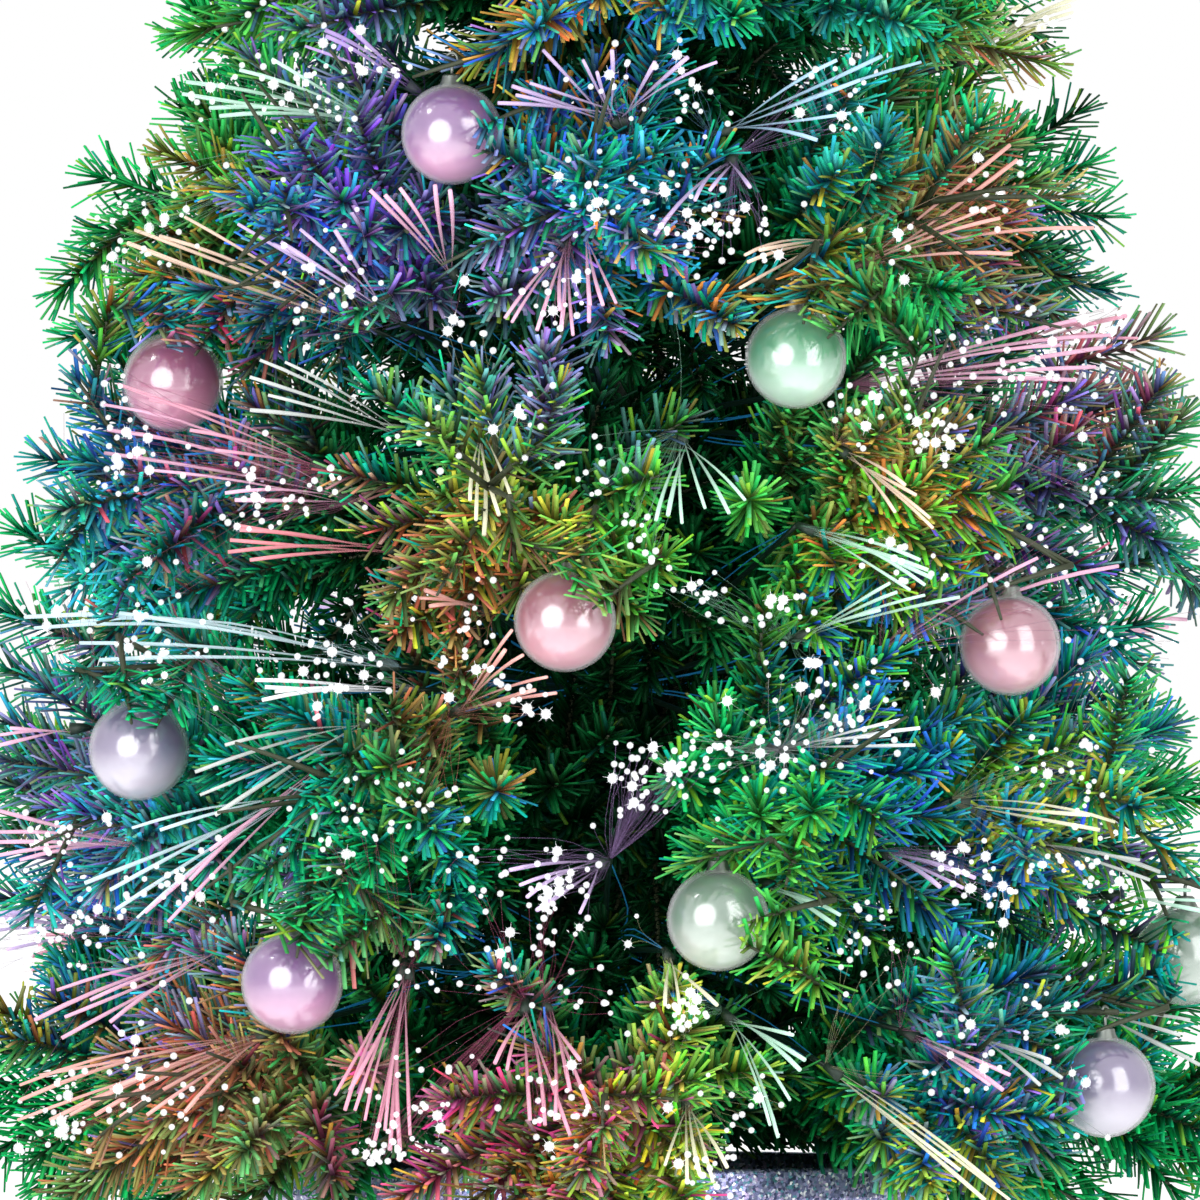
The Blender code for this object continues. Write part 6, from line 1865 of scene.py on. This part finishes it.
class FIBRETREE_OT_trunk(bpy.types.Operator):
    """Make the painted trunk tube"""

    bl_idname = "fibretree.trunk"
    bl_label = "Trunk"

    def execute(self, context):
        paint = plain_paint("trunk_enamel", (0.020, 0.060, 0.028), 0.4, mottle=0.6, scale=60.0)
        inner = TRUNK_RADIUS - TRUNK_WALL
        low = TRUNK_Z + TRUNK_FOOT_RISE
        profile = [
            (TRUNK_RADIUS - 0.0004, TRUNK_TOP_Z),
            (TRUNK_RADIUS, TRUNK_TOP_Z - 0.0004),
            (TRUNK_RADIUS, low + 0.0004),
            (TRUNK_RADIUS - 0.0004, low),
            (inner, low),
            (inner, TRUNK_TOP_Z),
        ]
        tube = piece_from(revolved(profile, 48, True), "trunk_pole", paint)
        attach(tube, "tree")
        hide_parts("trunk_tube")
        return {"FINISHED"}


class FIBRETREE_OT_fibres(bpy.types.Operator):
    """Spread the fibre fans and their light points"""

    bl_idname = "fibretree.fibres"
    bl_label = "Fibres"

    def execute(self, context):
        settings = context.scene.fibre_tree_fibres
        balls = hanging_balls(context.scene.fibre_tree_balls.radius)
        draw = np.random.default_rng(23)
        fans, spots = fibre_plan(settings, balls)
        paints = (
            strand_paint(),
            point_paint(settings.point_strength),
            plain_paint("fibre_sleeve", (0.010, 0.026, 0.016), 0.55),
        )
        for level in range(len(FANS_ON_LEVEL)):
            mine = [pair for pair in zip(fans, spots) if level_of(pair[0].root) == level]
            self.level(level, mine, settings, balls, paints, draw)
        return {"FINISHED"}

    def level(self, level, fans, settings, balls, paints, draw):
        """One level's strands, fine threads, light points, collar and knots."""
        strand, point, holder = paints
        name = str(level + 1)
        strands = self.strands(name, fans, settings, balls, strand, draw)
        threads, spots = self.threads(name, level, fans, settings, balls, strand, draw)
        beads = self.beads(name, spots, settings, point, draw)
        collar_z, _ = level_place(level)
        bore = TRUNK_RADIUS + FIT_GAP
        ring = [
            (bore + COLLAR_WALL, collar_z + COLLAR_HALF),
            (bore + COLLAR_WALL, collar_z - COLLAR_HALF),
            (bore, collar_z - COLLAR_HALF),
            (bore, collar_z + COLLAR_HALF),
        ]
        band = piece_from(revolved(ring, 32, True), f"fibre_collar_{name}", holder)
        knots = []
        for fan, _ in fans:
            way = unit(fan.tips.mean(axis=0) - fan.root)
            knots.append([fan.root, fan.root + way * KNOT_LENGTH])
        wide = np.tile((KNOT_ROOT_RADIUS, KNOT_RADIUS), (len(knots), 1))
        sleeves = mesh_piece(f"fibre_sleeves_{name}", tubes(knots, wide, 8), holder, True)
        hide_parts(f"fibres_{name}")
        for piece in (strands, threads, beads, band, sleeves):
            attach(piece, "tree")

    def strands(self, name, fans, settings, balls, paint, draw):
        """The lit strands: faint where they leave the knot, wide and opaque at the tip."""
        lines, tints, glows, wide = [], [], [], []
        shape = np.array(STRAND_RADII_SHARES)
        rise = shares_of(STRAND_RINGS, 0.45)
        clear = shares_of(STRAND_RINGS, 0.25, 0.85)
        for fan, _ in fans:
            light = linear(LIGHTS[fan.light]) * 0.75 + 0.25
            for line in strand_lines(fan, balls, draw):
                lines.append(line)
                tints.append(np.concatenate([light * rise, clear], axis=1))
                glows.append(light * rise * draw.uniform(0.30, 0.55))
                wide.append(shape * settings.strand_radius * draw.uniform(0.75, 1.1))
        colours = {"tint": spread(tints, 6), "glow": spread(glows, 6)}
        return mesh_piece(f"strands_{name}", tubes(lines, wide, 6), paint, True, colours)

    def threads(self, name, level, fans, settings, balls, paint, draw):
        """A fine thread to each light point, and the fibres from the collar to each knot."""
        collar_z, _ = level_place(level)
        threads, tints, arms, sheaths, spots = [], [], [], [], []
        for fan, found in fans:
            tint = np.append(linear(LIGHTS[fan.light]) * 0.4, 0.22)
            for spot in found:
                bend = (fan.root + spot) / 2 + draw.uniform(-THREAD_SLACK, THREAD_SLACK, 3)
                line = smooth_line([fan.root, bend, spot], THREAD_RINGS)
                line = bowed_clear(line, fan.way, balls, THREAD_ROOM, reach=1.0)
                if line is not None:
                    threads.append(line)
                    tints.append(np.tile(tint, (THREAD_RINGS, 1)))
                    spots.append(spot)
            collar = unit(fan.root * (1.0, 1.0, 0.0)) * COLLAR_REACH + (0.0, 0.0, collar_z)
            for loose in (SHEATH_SLACK, *FIBRE_SLACKS):
                middle = collar * 0.45 + fan.root * 0.55 + draw.uniform(-loose, loose, 3)
                line = smooth_line([collar, middle, fan.root], ARM_RINGS)
                if not swept(filled(line), balls, ARM_ROOM).any():
                    (sheaths if loose == SHEATH_SLACK else arms).append(line)
        threads, arms, sheaths = np.array(threads), np.array(arms), np.array(sheaths)
        parts = [
            tubes(threads, np.full(threads.shape[:2], settings.thread_radius), 4),
            tubes(arms, np.full(arms.shape[:2], ARM_FIBRE_RADIUS), 4),
            tubes(sheaths, np.full(sheaths.shape[:2], SHEATH_RADIUS), 5),
        ]
        blue = np.append(linear(LOOSE_FIBRE_LIGHT) * 0.7, 0.75)
        tint = np.concatenate(
            [
                spread(tints, 4),
                np.tile(blue, (len(parts[1][0]), 1)),
                np.tile(SHEATH_TONE, (len(parts[2][0]), 1)),
            ]
        )
        # The dark sheaths glow faintly too, a painted light
        colours = {"tint": tint, "glow": tint[:, :3] * 0.3}
        piece = mesh_piece(f"threads_{name}", joined(parts), paint, True, colours)
        return piece, np.array(spots)

    def beads(self, name, spots, settings, paint, draw):
        """Each light point: a bright core in a faint painted halo, a few with fine painted glint rays."""
        count = len(spots)
        big = draw.random(count)
        size = settings.point_radius * (0.80 + 0.50 * big + 0.45 * (big > 0.9))
        # A painted halo round each core, and painted glint rays on the brightest
        parts = [spheres(spots, size, 2), spheres(spots, size * PAINTED_HALO_SHARE, 2)]
        alphas = [np.full(len(parts[0][0]), 1.0), np.full(len(parts[1][0]), 0.14)]
        glinting = big > 0.88
        if glinting.any():
            parts.append(painted_glint_rays(spots[glinting], size[glinting], draw))
            alphas.append(np.full(len(parts[2][0]), 0.4))
        alphas = np.concatenate(alphas)
        white = np.tile(np.append(linear(POINT_LIGHT), 1.0), (len(alphas), 1))
        white[:, 3] = alphas
        return mesh_piece(f"light_points_{name}", joined(parts), paint, True, {"tint": white})


class FIBRETREE_OT_balls(bpy.types.Operator):
    """Hang the pearly balls by their hooks"""

    bl_idname = "fibretree.balls"
    bl_label = "Balls"

    def execute(self, context):
        settings = context.scene.fibre_tree_balls
        clear = shell_paint()
        # Each ball's darker upper tone and paler foot tone, the paler foot a painted light
        colours = {
            "lilac": ((0.17, 0.060, 0.25), (0.78, 0.42, 0.64)),
            "rose": ((0.27, 0.055, 0.15), (0.80, 0.33, 0.50)),
            "pink": ((0.30, 0.090, 0.14), (0.86, 0.46, 0.56)),
            "mint": ((0.05, 0.300, 0.14), (0.60, 0.80, 0.68)),
            "sage": ((0.10, 0.190, 0.13), (0.65, 0.74, 0.66)),
            "silver": ((0.13, 0.090, 0.22), (0.74, 0.69, 0.82)),
        }
        pearls = {name: pearl_paint(f"pearl_{name}", *tones) for name, tones in colours.items()}
        slots = {
            "mint": "pearl_mint",
            "sage": "pearl_mint",
            "rose": "pearl_rose",
            "pink": "pearl_rose",
        }
        foil = brushed_paint("cap_foil", (0.22, 0.24, 0.22), 0.42)
        for index, ball in enumerate(hanging_balls(settings.radius)):
            slot = slots.get(ball.colour, "pearl_silver")
            self.ball(index, ball, settings, (clear, pearls[ball.colour], foil), slot)
        return {"FINISHED"}

    def ball(self, index, ball, settings, paints, slot):
        """A clear shell round a pearl, with its cap and the open hook round the twig."""
        clear, pearl, foil = paints
        pivot, outward = ball.pivot, ball.outward
        name = f"bauble_{index + 1:02d}"
        middle = Vector(ball.middle)
        segments = {"u_segments": 48, "v_segments": 24}
        bm = bmesh.new()
        bmesh.ops.create_uvsphere(bm, radius=settings.radius, **segments)
        bore = settings.radius - settings.shell
        inner = bmesh.ops.create_uvsphere(bm, radius=bore, **segments)["verts"]
        hollow = {face for vert in inner for face in vert.link_faces}
        bmesh.ops.reverse_faces(bm, faces=list(hollow))
        shell = piece_from(bm, f"{name}_shell", clear, middle, sharp_deg=180)
        bm = bmesh.new()
        bmesh.ops.create_uvsphere(bm, radius=settings.radius * settings.pearl_share, **segments)
        shift = Vector(PEARL_SHIFT) * settings.radius
        core = piece_from(bm, f"{name}_pearl", pearl, middle + shift, sharp_deg=180)
        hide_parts(name)
        top = -HOOK_SHANK
        skirt = top - CAP_HEIGHT
        cap_profile = [
            (0.0, top),
            (CAP_RADIUS * 0.55, top),
            (CAP_RADIUS * 0.72, top - 0.0006),
            (CAP_RADIUS * 0.80, skirt + SKIRT_HEIGHT),
            (CAP_RADIUS, skirt),
            (CAP_RADIUS - 0.0004, skirt),
            (CAP_RADIUS * 0.72, skirt + 0.0022),
            (0.0, skirt + 0.0030),
        ]
        bm = revolved(cap_profile, 32, False)
        for vert in bm.verts:
            edge = max(0.0, 1 - (vert.co.z - skirt) / SKIRT_HEIGHT)
            turn = math.atan2(vert.co.y, vert.co.x)
            flare = 1 + SKIRT_FLARE * edge * math.cos(SKIRT_WAVES * turn)
            vert.co.x *= flare
            vert.co.y *= flare
        cap = piece_from(bm, f"{name}_cap", foil, pivot)
        aside = np.array((-outward[1], outward[0], 0.0))
        ring = TWIG_RADIUS + FIT_GAP + HOOK_WIRE_RADIUS
        turns = np.radians(HOOK_TURN_DEG) * np.linspace(0, 1, 22)
        down = np.array((0.0, 0.0, -1.0))
        arc = [down * math.cos(t) * ring + aside * math.sin(t) * ring for t in turns]
        line = np.array([down * (HOOK_SHANK + 0.002), down * (HOOK_SHANK * 0.6), *arc]) + pivot
        wire = tubes(line[None], np.full((1, len(line)), HOOK_WIRE_RADIUS), 10)
        hook = mesh_piece(f"{name}_hook", wire, foil, True)
        for piece in (shell, core, cap, hook):
            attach(piece, name)


class FIBRETREE_OT_pot(bpy.types.Operator):
    """Make the glitter pot with its rear panel"""

    bl_idname = "fibretree.pot"
    bl_label = "Pot"

    def execute(self, context):
        settings = context.scene.fibre_tree_pot
        glitter = glitter_paint(settings)
        neck = POT_RIM_RADIUS - RIM_STEP
        bend = LEDGE_Z - RIM_STEP_RISE
        lip_x, lip_z = POT_RIM_RADIUS - LIP_RADIUS, POT_TOP_Z - LIP_RADIUS
        outside = [
            (lip_x + LIP_RADIUS * math.sin(turn), lip_z + LIP_RADIUS * math.cos(turn))
            for turn in np.linspace(-0.7, math.pi / 2, 7)
        ]
        profile = [
            *outside,
            (POT_RIM_RADIUS, LEDGE_Z + 0.001),
            (POT_RIM_RADIUS - 0.0006, LEDGE_Z),
            (neck + 0.0008, bend + 0.0004),
            (neck, bend),
            (POT_FOOT_RADIUS + 0.0006, FOOT_HEIGHT + 0.004),
            (POT_FOOT_RADIUS - 0.0006, FOOT_HEIGHT),
            (POT_FOOT_RADIUS - POT_WALL, FOOT_HEIGHT),
            (neck - POT_WALL, bend),
            (neck - POT_WALL, LEDGE_Z),
            (POT_RIM_RADIUS - POT_WALL, LEDGE_Z),
            (POT_RIM_RADIUS - POT_WALL, POT_TOP_Z - 0.0016),
        ]
        pot = piece_from(revolved(profile, 128, True), "pot_body", glitter)
        self.panel(pot)
        pot.data.materials.clear()
        pot.data.materials.append(glitter)
        pot.data.shade_smooth()
        pot.data.set_sharp_from_angle(angle=math.radians(30))
        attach(pot, "base")
        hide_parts("pot_shell")
        return {"FINISHED"}

    def panel(self, pot):
        """The flat rear panel, hollow behind, with the openings for the switch and the inlet."""
        width, height = PANEL_SIZE

        def wall_radius(z):
            rise = (z - FOOT_HEIGHT) / (LEDGE_Z - RIM_STEP_RISE - FOOT_HEIGHT)
            return POT_FOOT_RADIUS + (POT_RIM_RADIUS - RIM_STEP - POT_FOOT_RADIUS) * rise

        face = wall_radius(PANEL_Z + height / 2) + PANEL_PROUD
        back = math.sqrt(wall_radius(PANEL_Z - height / 2) ** 2 - (width / 2) ** 2) - POT_WALL
        depth = face - back
        body = block_bm((width, depth, height), (0, back + depth / 2, PANEL_Z))
        bmesh.ops.bevel(
            body, geom=body.edges[:], offset=0.0008, segments=3, profile=0.5, affect="EDGES"
        )
        combine(pot, body, "UNION")
        deep = depth + width / 2
        pocket = block_bm(
            (width - 2 * POT_WALL, deep, height - 2 * POT_WALL),
            (0, face - POT_WALL - deep / 2, PANEL_Z),
        )
        combine(pot, pocket, "DIFFERENCE")
        hole = block_bm(
            (SWITCH_OPENING[0], POT_WALL * 3, SWITCH_OPENING[1]), (SWITCH_X, face, PANEL_Z)
        )
        combine(pot, hole, "DIFFERENCE")
        lying = Matrix.Rotation(math.pi / 2, 4, "X")
        hole = bmesh.new()
        bmesh.ops.create_cone(
            hole,
            cap_ends=True,
            segments=40,
            radius1=INLET_OPENING_RADIUS,
            radius2=INLET_OPENING_RADIUS,
            depth=POT_WALL * 3,
            matrix=Matrix.Translation((INLET_X, face, PANEL_Z)) @ lying,
        )
        combine(pot, hole, "DIFFERENCE")


class FIBRETREE_OT_works(bpy.types.Operator):
    """Finish the lamp, colour wheel, wiring, lid and feet"""

    bl_idname = "fibretree.works"
    bl_label = "Works"

    def execute(self, context):
        black = plain_paint("moulded_black", (0.018, 0.018, 0.020), 0.5, mottle=0.5, grain=0.5)
        rubber = plain_paint("foot_rubber", (0.022, 0.021, 0.020), 0.85, mottle=0.6, grain=0.8)
        ceramic = plain_paint("fired_ceramic", (0.78, 0.75, 0.69), 0.55, mottle=0.12, grain=0.4)
        white = plain_paint("wheel_white", (0.80, 0.80, 0.77), 0.42, mottle=0.08)
        sheath = plain_paint("lead_sheath", (0.030, 0.030, 0.034), 0.45, mottle=0.4)
        mirror = brushed_paint("lamp_mirror", (0.86, 0.87, 0.90), 0.10)
        steel = brushed_paint("plated_steel", (0.60, 0.60, 0.58), 0.32)
        strip = brushed_paint("rolled_strip", (0.62, 0.62, 0.60), 0.36, turned_about_z=False)
        brass = brushed_paint("turned_brass", (0.72, 0.52, 0.22), 0.26)
        fibre = plain_paint("bundled_fibre", (0.70, 0.68, 0.80), 0.2, mottle=0.5, scale=900.0)
        films = {
            "filter_red": (0.75, 0.03, 0.06),
            "filter_blue": (0.04, 0.10, 0.80),
            "filter_green": (0.02, 0.52, 0.16),
            "filter_amber": (0.90, 0.48, 0.04),
        }
        rocker = plain_paint("rocker_black", (0.030, 0.030, 0.032), 0.3, grain=0.2)
        finishes = [
            (black, ("pot_deck", "base_plate", "power_inlet", "switch_housing")),
            (rocker, ("switch_rocker",)),
            (ceramic, ("lamp_holder", "terminal_block")),
            (mirror, ("lamp",)),
            (white, ("wheel_frame",)),
            (steel, ("wheel_shaft", "wheel_motor")),
            (strip, ("motor_bracket",)),
            (sheath, ("inlet_lead", "lamp_lead", "motor_lead")),
            (brass, ("fibre_ferrule",)),
            (fibre, ("fibre_bundle",)),
            (rubber, [f"foot_{k}" for k in range(1, 5)]),
            *((film_paint(name, tone), (name,)) for name, tone in films.items()),
        ]
        for paint, names in finishes:
            for name in names:
                mesh = frame["nodes"][name].data
                mesh.materials.clear()
                mesh.materials.append(paint)
        self.screws(steel)
        return {"FINISHED"}

    def screws(self, steel):
        """Pan-head screws under the base plate and on the lid."""
        places = [
            ("plate_screws", PLATE_SCREWS_REACH, FOOT_HEIGHT, -1, 4, 0.0),
            ("lid_screws", LID_SCREWS_REACH, LID_TOP_Z, 1, 4, math.pi / 4),
        ]
        for name, reach, z, way, count, start in places:
            bm = bmesh.new()
            for k in range(count):
                turn = start + math.tau * k / count
                head = revolved(SCREW_HEAD, 20, False)
                place = Matrix.Translation((math.cos(turn) * reach, math.sin(turn) * reach, z))
                head.transform(place @ Matrix.Diagonal((1, 1, way, 1)))
                mesh = bpy.data.meshes.new("head")
                head.to_mesh(mesh)
                head.free()
                bm.from_mesh(mesh)
                bpy.data.meshes.remove(mesh)
            bmesh.ops.recalc_face_normals(bm, faces=bm.faces)
            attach(piece_from(bm, name, steel), "base")


class FIBRETREE_OT_stage(bpy.types.Operator):
    """Set the white floor, the lights and the camera"""

    bl_idname = "fibretree.stage"
    bl_label = "Stage"

    def execute(self, context):
        settings = context.scene.fibre_tree_stage
        scene = context.scene
        scene.view_settings.view_transform = "Standard"
        self.world(scene, settings)
        self.floor()
        for name, shape, width, height, power, way, away in LAMPS:
            light = bpy.data.lights.new(name, "AREA")
            light.shape = shape
            light.size = width
            if shape == "RECTANGLE":
                light.size_y = height
            light.energy = getattr(settings, power)
            lamp = put_in(name, light)
            way = Vector(way).normalized()
            lamp.location = Vector((0, 0, EYE_Z)) + way * away
            lamp.rotation_euler = way.to_track_quat("Z", "Y").to_euler()
            lamp.visible_camera = False
        lens = bpy.data.cameras.new("camera")
        lens.sensor_width = SENSOR_WIDTH
        lens.lens = SENSOR_WIDTH * EYE_AWAY / (PICTURE_WIDTH * PICTURE_SCALE)
        lens.clip_end = FLOOR_HALF * 2
        lens.shift_x = (PICTURE_WIDTH / 2 - PICTURE_AXIS_X) / PICTURE_WIDTH
        camera = put_in("camera", lens)
        camera.location = (0.0, -EYE_AWAY, EYE_Z)
        camera.rotation_euler = (math.pi / 2, 0.0, 0.0)
        scene.camera = camera
        return {"FINISHED"}

    def world(self, scene, settings):
        world = bpy.data.worlds.new("white_room")
        scene.world = world
        world.use_nodes = True
        tree = world.node_tree
        tree.nodes.clear()
        path = node(tree, "LightPath").outputs
        seen = math_of(tree, "MAXIMUM", path["Is Camera Ray"], path["Is Transmission Ray"])
        seen = math_of(tree, "MAXIMUM", seen, path["Is Glossy Ray"])
        plain, white = (
            node(tree, "Background", {"Color": WHITE, "Strength": strength}).outputs[0]
            for strength in (settings.world_light, 1.0)
        )
        mixed = node(tree, "MixShader", {0: seen, 1: plain, 2: white}).outputs[0]
        node(tree, "OutputWorld", {"Surface": mixed})

    def floor(self):
        paint, tree, shader = blank_paint("white_floor")
        path = node(tree, "LightPath").outputs
        seen = math_of(tree, "MAXIMUM", path["Is Camera Ray"], path["Is Glossy Ray"])
        sockets = {
            "Base Color": FLOOR_TONE,
            "Roughness": 0.8,
            "Emission Color": seen,
            "Emission Strength": FLOOR_GLOW,
        }
        fed(tree, shader, sockets)
        bm = bmesh.new()
        bmesh.ops.create_grid(bm, x_segments=8, y_segments=8, size=FLOOR_HALF)
        floor = piece_from(bm, "floor", paint, (0, 0, -0.0002), smooth=False)


class FIBRETREE_PT_panel(bpy.types.Panel):
    """Pieces of the fibre optic tree"""

    bl_label = "Fibre optic tree"
    bl_idname = "FIBRETREE_PT_panel"
    bl_space_type = "VIEW_3D"
    bl_region_type = "UI"
    bl_category = "Fibre Tree"

    def draw(self, context):
        for operator in OPERATORS:
            self.layout.operator(operator.bl_idname)
        for name, settings_type in SETTINGS.items():
            box = self.layout.box()
            for field in settings_type.__annotations__:
                box.prop(getattr(context.scene, name), field)


SETTINGS = {
    "fibre_tree_foliage": FoliageSettings,
    "fibre_tree_fibres": FibreSettings,
    "fibre_tree_balls": BallSettings,
    "fibre_tree_pot": PotSettings,
    "fibre_tree_stage": StageSettings,
}
OPERATORS = (
    FIBRETREE_OT_foliage,
    FIBRETREE_OT_trunk,
    FIBRETREE_OT_fibres,
    FIBRETREE_OT_balls,
    FIBRETREE_OT_pot,
    FIBRETREE_OT_works,
    FIBRETREE_OT_stage,
)


def register():
    for settings_type in SETTINGS.values():
        bpy.utils.register_class(settings_type)
    for operator in (*OPERATORS, FIBRETREE_PT_panel):
        bpy.utils.register_class(operator)
    for name, settings_type in SETTINGS.items():
        setattr(bpy.types.Scene, name, PointerProperty(type=settings_type))


def unregister():
    for name in SETTINGS:
        delattr(bpy.types.Scene, name)
    for kept in (FIBRETREE_PT_panel, *reversed(OPERATORS), *reversed(SETTINGS.values())):
        bpy.utils.unregister_class(kept)


def main():
    register()
    make_groups()
    for operator in OPERATORS:
        area, name = operator.bl_idname.split(".")
        result = getattr(getattr(bpy.ops, area), name)()
        if result != {"FINISHED"}:
            raise RuntimeError(f"{operator.bl_idname} did not finish")
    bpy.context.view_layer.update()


if __name__ == "__main__":
    main()
